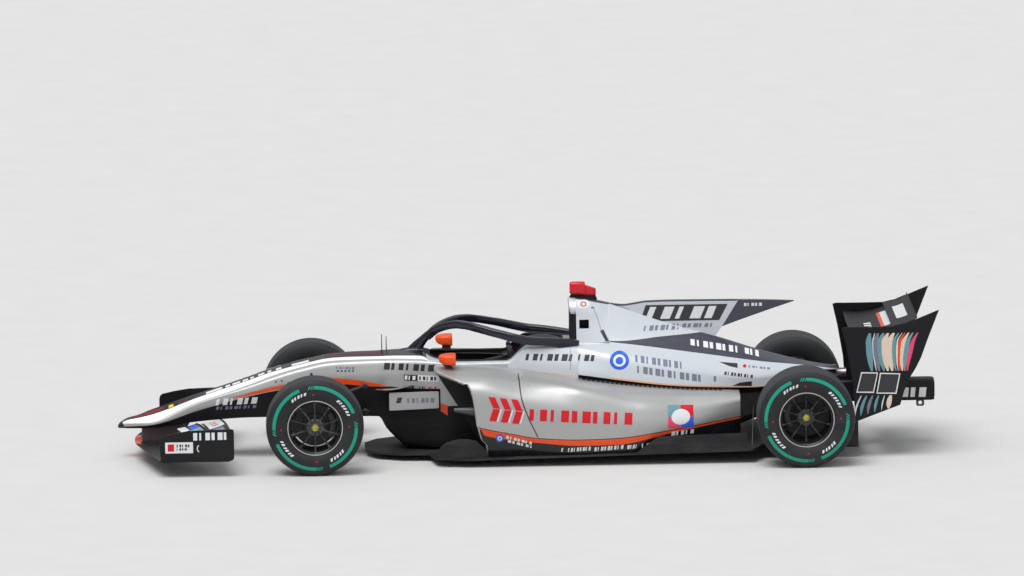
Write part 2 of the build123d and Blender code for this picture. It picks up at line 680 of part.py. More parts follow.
# Endplate outline: x ahead of the tail, z.
ENDPLATE_OUTLINE = [
    (620, 836),
    (258, 838),
    (0, 945),
    (70, 767),
    (116, 642),
    (197, 499),
    (252, 337),
    (531, 234),
    (556, 500),
    (590, 700),
]

with BuildPart() as rear_endplates:
    for side in (-1, 1):
        with BuildSketch(Plane.XZ.offset(-side * (WING_HALF_SPAN - ENDPLATE_THICKNESS / 2))):
            with BuildLine():
                Polyline(*[(TAIL_X - ahead, z) for ahead, z in ENDPLATE_OUTLINE], close=True)
            make_face()
        extrude(amount=ENDPLATE_THICKNESS / 2, both=True)
rear_endplates.part.label = "rear_endplates"
export_step(rear_endplates.part, "parts/rear_endplates.step")

# Wing planes between the endplates: name, leading x ahead of the tail, z, trailing x, z, thickness, camber.
MAIN_PLANE = (560, 790, 285, 826, 32, 38)
FLAP_PLANE = (300, 843, 142, 893, 14, 16)

with BuildPart() as rear_wing_main:
    lead, lead_z, trail, trail_z, thick, camber = MAIN_PLANE
    profile = wing_profile(TAIL_X - lead, lead_z, TAIL_X - trail, trail_z, thick, camber)
    span = ENDPLATE_INNER_Y - SEAT_GAP
    loft([chord_ring(-span, profile), chord_ring(span, profile)], ruled=True)
rear_wing_main.part.label = "rear_wing_main"
export_step(rear_wing_main.part, "parts/rear_wing_main.step")

with BuildPart() as rear_wing_flap:
    lead, lead_z, trail, trail_z, thick, camber = FLAP_PLANE
    profile = wing_profile(TAIL_X - lead, lead_z, TAIL_X - trail, trail_z, thick, camber)
    loft([chord_ring(-span, profile), chord_ring(span, profile)], ruled=True)
rear_wing_flap.part.label = "rear_wing_flap"
export_step(rear_wing_flap.part, "parts/rear_wing_flap.step")

with BuildPart() as beam_wing:
    profile = wing_profile(TAIL_X - 500, 350, TAIL_X - 290, 402, 20, 16)
    for side in (-1, 1):
        near = side * (CRASH_HALF_WIDTH + SEAT_GAP)
        loft([chord_ring(near, profile), chord_ring(side * span, profile)], ruled=True)
beam_wing.part.label = "beam_wing"
export_step(beam_wing.part, "parts/beam_wing.step")

PYLON_THICKNESS = 10.0

with BuildPart() as rear_wing_pylons:
    for side in (-1, 1):
        with BuildSketch(Plane.XZ.offset(-side * PYLON_Y)):
            with BuildLine():
                Polyline(
                    (PYLON_FRONT_X, CRASH_TOP_Z + SEAT_GAP),
                    (TAIL_X - 520, 764),
                    (TAIL_X - 430, 764),
                    (TAIL_X - 340, 792),
                    (PYLON_REAR_X, CRASH_TOP_Z + SEAT_GAP),
                    close=True,
                )
            make_face()
        extrude(amount=PYLON_THICKNESS / 2, both=True)
    add(rear_wing_main.part, mode=Mode.SUBTRACT)
rear_wing_pylons.part.label = "rear_wing_pylons"
export_step(rear_wing_pylons.part, "parts/rear_wing_pylons.step")

# Halo: a hoop over the cockpit on a central pillar.
HALO_TUBE_RADIUS = 27.0
HALO_FOOT_X = FRONT_AXLE_X + 600.0
# Pillar: outer edge then inner edge, x behind its foot, z.
PILLAR_OUTLINE = [
    (0, 640),
    (45, 701),
    (92, 756),
    (156, 805),
    (222, 848),
    (290, 874),
    (340, 880),
    (340, 826),
    (287, 806),
    (235, 793),
    (183, 767),
    (137, 721),
    (112, 661),
    (108, 640),
]
# Hoop, from its crown to its rear foot: x behind the pillar's foot, y, z.
HOOP_ROUTE = [(345, 0, 852), (385, 175, 846), (520, 268, 812), (690, 303, 776), (860, 272, 742), (990, 232, 706)]

with BuildPart() as halo:
    with BuildSketch(Plane.XZ):
        with BuildLine():
            Polyline(*[(HALO_FOOT_X + behind, z) for behind, z in PILLAR_OUTLINE], close=True)
        make_face()
    extrude(amount=19, both=True)
    right = [(HALO_FOOT_X + behind, y, z) for behind, y, z in HOOP_ROUTE]
    left = [(x, -y, z) for x, y, z in reversed(right) if y > 0]
    with BuildLine() as hoop_line:
        FilletPolyline(*left, *right, radius=70)
    with BuildSketch(Plane(origin=left[0], z_dir=Vector(*left[1]) - Vector(*left[0]))):
        Circle(HALO_TUBE_RADIUS)
    sweep(path=hoop_line.wires()[0])
    add(tub_hull.part, mode=Mode.SUBTRACT)
halo.part.label = "halo"
export_step(halo.part, "parts/halo.step")

# Cockpit fittings.
SEAT_LENGTH = 760.0
SEAT_HALF_WIDTH = 205.0
SEAT_SIDE = 40.0
SEAT_BACK_Z = 560.0

with BuildPart() as headrest:
    headrest_front = COCKPIT_REAR_X - 270
    with BuildSketch(Plane.XY.offset(610)):
        with BuildLine():
            Polyline(*opening_outline(SEAT_GAP), close=True)
        make_face()
    extrude(amount=128)
    with BuildSketch(Plane.XY.offset(600)):
        with Locations((headrest_front - 500, 0)):
            Rectangle(1000, 800)
        with Locations((headrest_front + 60, 0)):
            Rectangle(200, 300)
        with Locations((headrest_front + 100, 0)):
            Circle(135)
    extrude(amount=200, mode=Mode.SUBTRACT)
headrest.part.label = "headrest"
export_step(headrest.part, "parts/headrest.step")

with BuildPart() as seat:
    seat_rear = COCKPIT_REAR_X + 40
    seat_front = seat_rear - SEAT_LENGTH
    seat_z = floor_top(seat_front) + 2 * SEAT_GAP + TUB_WALL
    seat_rear_z = floor_top(seat_rear) + 2 * SEAT_GAP + TUB_WALL
    with BuildSketch(Plane.XZ):
        with BuildLine():
            Polyline(
                (seat_front, seat_z),
                (seat_front, seat_z + 70),
                (seat_front + 120, seat_z + 130),
                (seat_rear - 60, SEAT_BACK_Z),
                (seat_rear, SEAT_BACK_Z),
                (seat_rear, seat_rear_z),
                close=True,
            )
        make_face()
    extrude(amount=SEAT_HALF_WIDTH, both=True)
    with BuildSketch(Plane.XZ):
        with BuildLine():
            Polyline(
                (seat_front - 40, seat_z + 40),
                (seat_front + 300, seat_z + 26),
                (seat_front + 400, seat_z + 40),
                (seat_rear - 70, 600),
                (seat_front - 40, 600),
                close=True,
            )
        make_face()
    extrude(amount=SEAT_HALF_WIDTH - SEAT_SIDE, both=True, mode=Mode.SUBTRACT)
seat.part.label = "seat"
export_step(seat.part, "parts/seat.step")

# Steering wheel on its column, from the dash bulkhead.
WHEEL_CENTRE_X = FRONT_AXLE_X + 1256.5
WHEEL_CENTRE_Z = 612.0
COLUMN_TILT_DEG = 12.0
COLUMN_RADIUS = 16.0
COLUMN_LENGTH = WHEEL_CENTRE_X - COCKPIT_FRONT_X - 31.5
COLUMN_AXIS = Vector(-cos(radians(COLUMN_TILT_DEG)), 0, -sin(radians(COLUMN_TILT_DEG)))
WHEEL_PLANE = Plane(origin=(WHEEL_CENTRE_X, 0, WHEEL_CENTRE_Z), x_dir=(0, 1, 0), z_dir=COLUMN_AXIS)

with BuildPart() as steering_wheel:
    with BuildSketch(WHEEL_PLANE):
        RectangleRounded(270, 150, 45)
    extrude(amount=-28)
    with BuildSketch(WHEEL_PLANE):
        Circle(34)
    extrude(amount=40)
steering_wheel.part.label = "steering_wheel"
export_step(steering_wheel.part, "parts/steering_wheel.step")

with BuildPart() as steering_column:
    with BuildSketch(WHEEL_PLANE.offset(40 + SEAT_GAP)):
        Circle(COLUMN_RADIUS)
    extrude(amount=COLUMN_LENGTH)
    with BuildPart(mode=Mode.PRIVATE) as dash:
        loft([tub_outline(row, TUB_WALL + SEAT_GAP) for row in TUB_STATIONS], ruled=True)
        dash_x = COCKPIT_FRONT_X + 10
        split(bisect_by=Plane.YZ.offset(dash_x - 14), keep=Keep.TOP)
        split(bisect_by=Plane.YZ.offset(dash_x), keep=Keep.BOTTOM)
        split(bisect_by=Plane.XY.offset(455), keep=Keep.TOP)
    add(dash.part)
steering_column.part.label = "steering_column"
export_step(steering_column.part, "parts/steering_column.step")

# Mirrors: pod and stay on each side of the cockpit.
MIRROR_Y = 435.0
MIRROR_X = FRONT_AXLE_X + 850.0

with BuildPart() as mirrors:
    for side in (-1, 1):
        face_plane = Plane(origin=(MIRROR_X + 56, side * MIRROR_Y, 660), x_dir=(0, 1, 0), z_dir=(-1, 0, 0))
        with BuildSketch(face_plane) as mirror_face:
            RectangleRounded(150, 72, 20)
        with BuildSketch(face_plane.offset(108)) as mirror_nose:
            RectangleRounded(80, 40, 16)
        loft([mirror_face.sketch, mirror_nose.sketch], ruled=True)
        blade((MIRROR_X + 10, side * 255, 600), (MIRROR_X + 10, side * (MIRROR_Y - 30), 640), 60, 10)
    add(tub_hull.part, mode=Mode.SUBTRACT)
mirrors.part.label = "mirrors"
export_step(mirrors.part, "parts/mirrors.step")

# Side plates and winglets beside the tub, ahead of the sidepods.
with BuildPart() as bargeboards:
    for side in (-1, 1):
        plate_y = side * 312
        with BuildSketch(Plane.XZ.offset(-plate_y)):
            with BuildLine():
                Polyline(
                    (FRONT_AXLE_X + 482, 430),
                    (FRONT_AXLE_X + 800, 436),
                    (FRONT_AXLE_X + 800, 330),
                    (FRONT_AXLE_X + 482, 318),
                    close=True,
                )
            make_face()
        extrude(amount=3, both=True)
        for stay_x in (FRONT_AXLE_X + 560, FRONT_AXLE_X + 730):
            bar((stay_x, side * 200, 380), (stay_x, side * 310, 380), 7)
    add(tub_hull.part, mode=Mode.SUBTRACT)
bargeboards.part.label = "bargeboards"
export_step(bargeboards.part, "parts/bargeboards.step")

# Front wing: y, leading x behind the nose tip, leading z, main trailing x, z, second flap trailing x, z.
FRONT_WING_TIP_Y = WIDTH / 2 - 60.0
WING_MAIN_STATIONS = [
    (0, 108, 112, 400, 118, 26),
    (250, 130, 112, 425, 122, 26),
    (FRONT_WING_TIP_Y, 262, 108, 510, 150, 20),
]
FLAP_ROOT_Y = 250.0
# Flaps: leading x behind the nose tip, z, trailing x, z at the root, then at the tip.
FLAP_STATIONS = [
    ((395, 142, 505, 176), (480, 176, 610, 236)),
    ((485, 192, 575, 224), (590, 250, 715, 296)),
]


def main_chord(row, side):
    y, lead, lead_z, trail, trail_z, thickness = row
    return chord_ring(side * y, wing_profile(NOSE_X + lead, lead_z, NOSE_X + trail, trail_z, thickness, 16))


with BuildPart() as front_wing_main:
    for side in (-1, 1):
        loft([main_chord(row, side) for row in WING_MAIN_STATIONS], ruled=True)
front_wing_main.part.label = "front_wing_main"
export_step(front_wing_main.part, "parts/front_wing_main.step")

with BuildPart() as front_wing_flaps:
    for side in (-1, 1):
        for root, tip in FLAP_STATIONS:
            chords = []
            for y, (lead, lead_z, trail, trail_z) in ((FLAP_ROOT_Y, root), (FRONT_WING_TIP_Y, tip)):
                outline = wing_profile(NOSE_X + lead, lead_z, NOSE_X + trail, trail_z, 12, 10)
                chords.append(chord_ring(side * y, outline))
            loft(chords, ruled=True)
        for hanger_y in (FLAP_ROOT_Y + 6, 560):
            reach = (hanger_y - FLAP_ROOT_Y) / (FRONT_WING_TIP_Y - FLAP_ROOT_Y)
            shift = 90 * reach
            with BuildSketch(Plane.XZ.offset(-side * hanger_y)):
                with BuildLine():
                    Polyline(
                        (NOSE_X + 380 + shift, 118 + 20 * reach),
                        (NOSE_X + 400 + shift, 150 + 38 * reach),
                        (NOSE_X + 560 + 1.2 * shift, 214 + 60 * reach),
                        (NOSE_X + 500 + 1.2 * shift, 150 + 50 * reach),
                        (NOSE_X + 424 + shift, 118 + 26 * reach),
                        close=True,
                    )
                make_face()
            extrude(amount=2.5, both=True)
    add(front_wing_main.part, mode=Mode.SUBTRACT)
front_wing_flaps.part.label = "front_wing_flaps"
export_step(front_wing_flaps.part, "parts/front_wing_flaps.step")

# Front endplate: x behind the nose tip, z.
FRONT_ENDPLATE_OUTLINE = [
    (272, 100),
    (266, 240),
    (285, 268),
    (455, 300),
    (732, 306),
    (736, 122),
    (700, 98),
]

with BuildPart() as front_endplates:
    for side in (-1, 1):
        plate_y = side * (FRONT_WING_TIP_Y + SEAT_GAP + ENDPLATE_THICKNESS / 2)
        with BuildSketch(Plane.XZ.offset(-plate_y)):
            with BuildLine():
                Polyline(*[(NOSE_X + behind, z) for behind, z in FRONT_ENDPLATE_OUTLINE], close=True)
            make_face()
        extrude(amount=ENDPLATE_THICKNESS / 2, both=True)
        foot_y = plate_y + side * 22
        with BuildSketch(Plane.XY.offset(98)):
            with Locations((NOSE_X + 490, foot_y)):
                Rectangle(430, 44)
        extrude(amount=6)
front_endplates.part.label = "front_endplates"
export_step(front_endplates.part, "parts/front_endplates.step")

with BuildPart() as front_wing_pylons:
    for side in (-1, 1):
        with BuildSketch(Plane.XZ.offset(-side * 36)):
            with BuildLine():
                Polyline(
                    (NOSE_X + 150, 215),
                    (NOSE_X + 158, 96),
                    (NOSE_X + 330, 97),
                    (NOSE_X + 450, 250),
                    close=True,
                )
            make_face()
        extrude(amount=6, both=True)
    add(nose_cone.part, mode=Mode.SUBTRACT)
    add(front_wing_main.part, mode=Mode.SUBTRACT)
front_wing_pylons.part.label = "front_wing_pylons"
export_step(front_wing_pylons.part, "parts/front_wing_pylons.step")

with BuildPart() as front_wishbones:
    for side in (-1, 1):
        for offset, pickup_y, pickup_z, pivot_z in WISHBONE_LEGS:
            past = 1 + ARM_CHORD / (KINGPIN_Y - pickup_y)
            end_y = KINGPIN_Y + (pickup_y - KINGPIN_Y) * past
            end_z = pivot_z + (pickup_z - pivot_z) * past
            start = (FRONT_AXLE_X, side * KINGPIN_Y, pivot_z)
            blade(start, (FRONT_AXLE_X + offset * past, side * end_y, end_z), ARM_CHORD, ARM_THICKNESS)
        for offset, pickup_y, pickup_z, pivot_z in WISHBONE_LEGS:
            with BuildSketch(Plane.XZ.offset(-side * (pickup_y + SEAT_GAP))):
                with Locations((FRONT_AXLE_X + offset, pickup_z)):
                    Rectangle(5 * PICKUP_HALF_LENGTH, 5 * PICKUP_HALF_HEIGHT)
            extrude(amount=side * (ARM_CHORD + PICKUP_DEPTH), mode=Mode.SUBTRACT)
        for pivot_z in (UPPER_PIVOT_Z, LOWER_PIVOT_Z):
            with BuildSketch(Plane.XY.offset(pivot_z - PIVOT_HEIGHT / 2)):
                with Locations((FRONT_AXLE_X, side * KINGPIN_Y)):
                    Circle(PIVOT_RADIUS)
            extrude(amount=PIVOT_HEIGHT)
        bar(
            (FRONT_AXLE_X + 8, side * (KINGPIN_Y - 63), LOWER_PIVOT_Z + 14),
            (FRONT_AXLE_X + PUSHROD_OFFSET, side * (PUSHROD_PICKUP_Y - PUSHROD_RADIUS), PUSHROD_PICKUP_Z),
            PUSHROD_RADIUS,
        )
        with BuildSketch(Plane.XZ.offset(-side * (PUSHROD_PICKUP_Y + SEAT_GAP))):
            with Locations((FRONT_AXLE_X + PUSHROD_OFFSET, PUSHROD_PICKUP_Z)):
                Rectangle(5 * PUSHROD_RADIUS, 5 * PUSHROD_RADIUS)
        extrude(amount=side * PICKUP_DEPTH, mode=Mode.SUBTRACT)
        for height, depth in ((UPRIGHT_TOP_Z + BALL_GAP, -40), (UPRIGHT_BOTTOM_Z - BALL_GAP, 40)):
            with BuildSketch(Plane.XY.offset(height)):
                with Locations((FRONT_AXLE_X, side * KINGPIN_Y)):
                    Circle(PIVOT_RADIUS + 34)
            extrude(amount=depth, mode=Mode.SUBTRACT)
front_wishbones.part.label = "front_wishbones"
export_step(front_wishbones.part, "parts/front_wishbones.step")

for side, hand in ((-1, "left"), (1, "right")):
    with BuildPart() as upright:
        with BuildSketch(Plane.XY.offset(UPRIGHT_BOTTOM_Z)):
            with Locations((FRONT_AXLE_X, side * KINGPIN_Y)):
                Rectangle(UPRIGHT_WIDTH, UPRIGHT_DEPTH)
        extrude(amount=UPRIGHT_TOP_Z - UPRIGHT_BOTTOM_Z)
        face_y = side * (KINGPIN_Y + UPRIGHT_DEPTH / 2)
        spindle_end = (FRONT_AXLE_X, side * SPINDLE_END_Y, TYRE_RADIUS)
        bar((FRONT_AXLE_X, face_y - side * 5, TYRE_RADIUS), spindle_end, SPINDLE_RADIUS)
        with BuildSketch(Plane.XY.offset(STEER_ARM_Z)):
            with Locations((FRONT_AXLE_X - STEER_ARM_REACH / 2, side * KINGPIN_Y)):
                SlotCenterToCenter(STEER_ARM_REACH, 28)
        extrude(amount=STEER_ARM_THICKNESS)
    upright.part.label = f"front_{hand}_upright"
    export_step(upright.part, f"parts/front_{hand}_upright.step")

with BuildPart() as track_rods:
    bar((TRACK_ROD_X, -KINGPIN_Y, TRACK_ROD_Z), (TRACK_ROD_X, KINGPIN_Y, TRACK_ROD_Z), TRACK_ROD_RADIUS)
    for side in (-1, 1):
        with BuildSketch(Plane.XY.offset(TRACK_ROD_Z - TRACK_ROD_EYE_HALF_HEIGHT)):
            with Locations((TRACK_ROD_X, side * KINGPIN_Y)):
                Circle(TRACK_ROD_EYE_RADIUS)
        extrude(amount=2 * TRACK_ROD_EYE_HALF_HEIGHT)
track_rods.part.label = "track_rods"
export_step(track_rods.part, "parts/track_rods.step")

# Rear suspension: x offset from the axle and z at the gearbox, z at the upright.
REAR_UPRIGHT_Y = WIDTH / 2 - REAR_TYRE_WIDTH + 60.0
REAR_LEGS = [(-240, 372, 415), (170, 395, 415), (-240, 262, 200), (170, 300, 200)]
REAR_BORE_RADIUS = 40.0

with BuildPart() as rear_uprights:
    for side in (-1, 1):
        with BuildSketch(Plane.XZ.offset(-side * REAR_UPRIGHT_Y)):
            with Locations((REAR_AXLE_X, TYRE_RADIUS)):
                RectangleRounded(110, 250, 20)
                Circle(REAR_BORE_RADIUS, mode=Mode.SUBTRACT)
        extrude(amount=20, both=True)
rear_uprights.part.label = "rear_uprights"
export_step(rear_uprights.part, "parts/rear_uprights.step")

with BuildPart() as rear_wishbones:
    for side in (-1, 1):
        for offset, pickup_z, upright_z in REAR_LEGS:
            blade(
                (REAR_AXLE_X + offset, side * 60, pickup_z),
                (REAR_AXLE_X, side * (REAR_UPRIGHT_Y - 10), upright_z),
                40,
                12,
            )
    add(gearbox.part, mode=Mode.SUBTRACT)
    add(rear_uprights.part, mode=Mode.SUBTRACT)
rear_wishbones.part.label = "rear_wishbones"
export_step(rear_wishbones.part, "parts/rear_wishbones.step")

# Wheels: name, axle x, side, tyre width, recess of the hub's face.
WHEELS = [
    ("front_left", FRONT_AXLE_X, -1, FRONT_TYRE_WIDTH, FRONT_HUB_RECESS),
    ("front_right", FRONT_AXLE_X, 1, FRONT_TYRE_WIDTH, FRONT_HUB_RECESS),
    ("rear_left", REAR_AXLE_X, -1, REAR_TYRE_WIDTH, REAR_HUB_RECESS),
    ("rear_right", REAR_AXLE_X, 1, REAR_TYRE_WIDTH, REAR_HUB_RECESS),
]
SHAFT_RADIUS = 19.0
SHAFT_INNER_Y = 122.0

for name, axle_x, side, width, recess in WHEELS:
    middle = WIDTH / 2 - width / 2
    half_width = width / 2
    bead = half_width - BEAD_INSET
    axle = Axis((axle_x, 0, TYRE_RADIUS), (0, 1, 0))
    radial = Plane(origin=(axle_x, 0, TYRE_RADIUS), x_dir=(0, side, 0), z_dir=(side, 0, 0))
    front_wheel = name.startswith("front")

    with BuildPart() as tyre:
        with BuildSketch(radial):
            with BuildLine():
                wall = [
                    (bead, BEAD_RADIUS + SEAT_GAP),
                    (bead, FLANGE_RADIUS + 2),
                    (half_width, TYRE_RADIUS - 84),
                    (half_width - 5, TYRE_RADIUS - 44),
                    (half_width - 20, TYRE_RADIUS - 14),
                    (half_width - 46, TYRE_RADIUS),
                ]
                outer = [(middle + offset, radius) for offset, radius in wall]
                inner = [(middle - offset, radius) for offset, radius in reversed(wall)]
                Polyline(*outer, *inner, close=True)
            make_face()
        revolve(axis=axle)
    tyre.part.label = f"tyre_{name}"
    export_step(tyre.part, f"parts/tyre_{name}.step")

    with BuildPart() as rim:
        seat_edge = bead + SEAT_GAP
        flange_edge = seat_edge + FLANGE_WIDTH
        with BuildSketch(radial):
            with BuildLine():
                Polyline(
                    (middle - flange_edge, BEAD_RADIUS - BARREL_WALL),
                    (middle - flange_edge, FLANGE_RADIUS),
                    (middle - seat_edge, FLANGE_RADIUS),
                    (middle - seat_edge, BEAD_RADIUS),
                    (middle + seat_edge, BEAD_RADIUS),
                    (middle + seat_edge, FLANGE_RADIUS),
                    (middle + flange_edge, FLANGE_RADIUS),
                    (middle + flange_edge, BEAD_RADIUS - BARREL_WALL),
                    close=True,
                )
            make_face()
        revolve(axis=axle)
        hub_face = WIDTH / 2 - recess
        hub_plane = Plane(
            origin=(axle_x, side * hub_face, TYRE_RADIUS), x_dir=(1, 0, 0), z_dir=(0, -side, 0)
        )
        with BuildSketch(hub_plane):
            with PolarLocations(0, SPOKE_COUNT, start_angle=90):
                with Locations(((HUB_RADIUS + BEAD_RADIUS) / 2 - 6, 0)):
                    Trapezoid(
                        SPOKE_ROOT_WIDTH,
                        BEAD_RADIUS - HUB_RADIUS + 8,
                        86.5,
                        rotation=-90,
                    )
        extrude(amount=SPOKE_DEPTH)
        with BuildSketch(hub_plane):
            Circle(HUB_RADIUS)
        if front_wheel:
            hub_end = KINGPIN_Y + UPRIGHT_DEPTH / 2 + RUNNING_GAP
        else:
            hub_end = REAR_UPRIGHT_Y + 20 + RUNNING_GAP
        extrude(amount=hub_face - hub_end)
        with BuildSketch(hub_plane):
            Circle(NUT_RADIUS)
        extrude(amount=-NUT_LENGTH)
        with BuildSketch(hub_plane.offset(hub_face - hub_end - DISC_INSET)):
            Circle(DISC_RADIUS)
        extrude(amount=-DISC_WIDTH)
        if front_wheel:
            with BuildSketch(hub_plane.offset(hub_face - hub_end + 1)):
                Circle(SPINDLE_RADIUS + BEARING_GAP)
            extrude(amount=hub_end - SPINDLE_END_Y - SPINDLE_END_GAP, mode=Mode.SUBTRACT)
        else:
            bar(
                (axle_x, side * (hub_end + 1), TYRE_RADIUS),
                (axle_x, side * (REAR_UPRIGHT_Y - 18), TYRE_RADIUS),
                REAR_BORE_RADIUS - BEARING_GAP,
            )
    rim.part.label = f"rim_{name}"
    export_step(rim.part, f"parts/rim_{name}.step")

    if not front_wheel:
        with BuildPart() as shaft:
            bar(
                (axle_x, side * SHAFT_INNER_Y, TYRE_RADIUS),
                (axle_x, side * (REAR_UPRIGHT_Y - 18 - SEAT_GAP), TYRE_RADIUS),
                SHAFT_RADIUS,
            )
            for joint_y in (SHAFT_INNER_Y, REAR_UPRIGHT_Y - 78):
                bar(
                    (axle_x, side * joint_y, TYRE_RADIUS),
                    (axle_x, side * (joint_y + 55), TYRE_RADIUS),
                    36,
                )
        shaft.part.label = f"driveshaft_{name}"
        export_step(shaft.part, f"parts/driveshaft_{name}.step")
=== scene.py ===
"""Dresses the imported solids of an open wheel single-seater: paint, carbon, rubber, trim and padding."""
from math import cos, pi, radians, sin, tan
from typing import NamedTuple

import bmesh
import bpy
import numpy as np
from bpy.props import FloatVectorProperty, PointerProperty
from mathutils import Matrix, Vector

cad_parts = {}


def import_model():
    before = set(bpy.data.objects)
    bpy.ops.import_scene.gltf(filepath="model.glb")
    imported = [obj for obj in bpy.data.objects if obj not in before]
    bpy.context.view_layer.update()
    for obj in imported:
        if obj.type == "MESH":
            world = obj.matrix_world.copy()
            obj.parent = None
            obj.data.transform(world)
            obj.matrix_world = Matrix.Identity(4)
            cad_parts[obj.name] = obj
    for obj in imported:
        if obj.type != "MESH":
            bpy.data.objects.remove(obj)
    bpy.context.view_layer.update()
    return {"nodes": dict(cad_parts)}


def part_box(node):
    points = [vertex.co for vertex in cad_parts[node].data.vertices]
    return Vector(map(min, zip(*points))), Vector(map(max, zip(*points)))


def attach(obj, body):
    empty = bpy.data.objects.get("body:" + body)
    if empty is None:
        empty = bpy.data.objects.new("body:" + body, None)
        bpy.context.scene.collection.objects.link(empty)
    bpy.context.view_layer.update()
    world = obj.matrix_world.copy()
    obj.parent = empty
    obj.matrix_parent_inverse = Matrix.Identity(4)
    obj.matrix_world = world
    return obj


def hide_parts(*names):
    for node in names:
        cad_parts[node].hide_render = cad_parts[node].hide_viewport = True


bl_info = {
    "name": "Open wheel racing car",
    "version": (1, 0, 0),
    "blender": (4, 5, 0),
    "location": "3D View > Sidebar > Racing car",
    "description": "Builds the visible surfaces of an open wheel racing car around its packed solids",
    "category": "Object",
}

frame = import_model()
MM = 0.001


def corners_of(node):
    """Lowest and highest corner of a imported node, in millimetres."""
    low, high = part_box(node)
    return np.array(low) / MM, np.array(high) / MM


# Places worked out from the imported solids, in millimetres: +X to the rear, +Y to the driver's right, +Z up.
NOSE_X = corners_of("nose_cone")[0][0]
TAIL_X = corners_of("rear_endplates")[1][0]
FRONT_AXLE_X = sum(c[0] for c in corners_of("tyre_front_left")) / 2
REAR_AXLE_X = sum(c[0] for c in corners_of("tyre_rear_left")) / 2
TYRE_RADIUS = corners_of("tyre_front_left")[1][2] / 2
HALF_WIDTH = corners_of("tyre_front_right")[1][1]
FRONT_TYRE_WIDTH = HALF_WIDTH - corners_of("tyre_front_right")[0][1]
REAR_TYRE_WIDTH = HALF_WIDTH - corners_of("tyre_rear_right")[0][1]
COCKPIT_FRONT_X = FRONT_AXLE_X + 727.0
COCKPIT_REAR_X = FRONT_AXLE_X + 1600.0
TUB_REAR_X = corners_of("monocoque")[1][0]
HOOP_REAR_X = corners_of("roll_hoop")[1][0]
COVER_REAR_X = corners_of("engine_cover")[1][0]
POD_FRONT_X = FRONT_AXLE_X + 766.5
POD_REAR_X = corners_of("sidepod_right")[1][0]
WING_SPAN_Y = corners_of("rear_endplates")[1][1]
FLOOR_FRONT_X = corners_of("floor")[0][0]
CRASH_TOP_Z = corners_of("rear_crash_structure")[1][2] + 0.3
CRASH_HALF_Y = corners_of("rear_crash_structure")[1][1]
FLOOR_SLOPE = tan(radians(1.12))
# Where the front wing's tip, the rear planes' ends, the guard's foot, the seat and the exhaust's end are.
FRONT_TIP_Y = HALF_WIDTH - 60
PLANE_END_Y = WING_SPAN_Y - 8.3
GUARD_FOOT_X = POD_FRONT_X - 166.5
SEAT_FRONT_X = COCKPIT_REAR_X + 40 - 760
PIPE_REAR_X = TAIL_X - 566
# How far out each hub's end is, by axle.
HUB_END_Y = {"front": 748.5, "rear": 680.5}


class Form(NamedTuple):
    """A mesh in arrays: points in millimetres, faces of four indices (-1 ends a triangle), paint per face."""

    points: np.ndarray
    faces: np.ndarray
    paint: np.ndarray


def lattice(rows, cols, wrap_rows=False, wrap_cols=False):
    """Faces of a grid: each joins a point with its neighbours in the next row and the next column."""
    row, col = np.meshgrid(
        np.arange(rows if wrap_rows else rows - 1),
        np.arange(cols if wrap_cols else cols - 1),
        indexing="ij",
    )
    next_row, next_col = (row + 1) % rows, (col + 1) % cols
    corners = [row * cols + col, next_row * cols + col, next_row * cols + next_col, row * cols + next_col]
    return np.stack(corners, -1).reshape(-1, 4)


def surface(points, paint=0, wrap_rows=False, wrap_cols=False, flip=False):
    """A grid of points (rows, columns, 3) as a form; paint is one index or one per face."""
    rows, cols = points.shape[:2]
    faces = lattice(rows, cols, wrap_rows, wrap_cols)
    shades = np.broadcast_to(np.asarray(paint), (rows - (not wrap_rows), cols - (not wrap_cols))).reshape(-1)
    form = Form(points.reshape(-1, 3).astype(float), faces, shades.astype(int))
    return turned(form) if flip else form


def fan(ring, paint=0, flip=False):
    """A closed ring of points filled with triangles to its middle."""
    count = len(ring)
    step = np.arange(count)
    faces = np.stack([step, (step + 1) % count, np.full(count, count), np.full(count, -1)], -1)
    form = Form(np.vstack([ring, ring.mean(0)]), faces, np.full(count, paint))
    return turned(form) if flip else form


def turned(form):
    """The same form with every face turned over."""
    faces = form.faces[:, ::-1].copy()
    triangles = form.faces[:, 3] < 0
    faces[triangles] = form.faces[triangles][:, [2, 1, 0, 3]]
    return Form(form.points, faces, form.paint)


def joined(forms):
    """Several forms as one."""
    points, faces, paint, start = [], [], [], 0
    for form in forms:
        points.append(form.points)
        faces.append(np.where(form.faces < 0, -1, form.faces + start))
        paint.append(form.paint)
        start += len(form.points)
    return Form(np.vstack(points), np.vstack(faces), np.concatenate(paint))


def mirrored(form):
    """The form on the other side of the car: y changes sign and the faces turn over."""
    return turned(Form(form.points * (1, -1, 1), form.faces, form.paint))


def both(form):
    """The form and its mirror."""
    return joined([form, mirrored(form)])


def outward(form):
    """A closed form with its faces outward: they turn over where the signed volume is negative."""
    a, b, c, d = (form.points[np.maximum(form.faces[:, k], 0)] for k in range(4))
    d = np.where((form.faces[:, 3] < 0)[:, None], c, d)
    volume = (a * np.cross(b, c)).sum() + (a * np.cross(c, d)).sum()
    return form if volume > 0 else turned(form)


def xyz(x, y, z):
    """Points from three arrays of coordinates, spread to one shape."""
    return np.stack(np.broadcast_arrays(x, y, z), -1)


def capped(rings):
    """Closed rings of points skinned and filled at both ends, the faces outward."""
    return outward(joined([surface(rings, wrap_cols=True), fan(rings[0]), fan(rings[-1], flip=True)]))


def on_side(form, side):
    """A form drawn on the right, on the given side: 1 right, -1 left."""
    return form if side > 0 else mirrored(form)


def unit(vectors):
    """Vectors of length one."""
    return vectors / np.maximum(np.linalg.norm(vectors, axis=-1, keepdims=True), 1e-9)


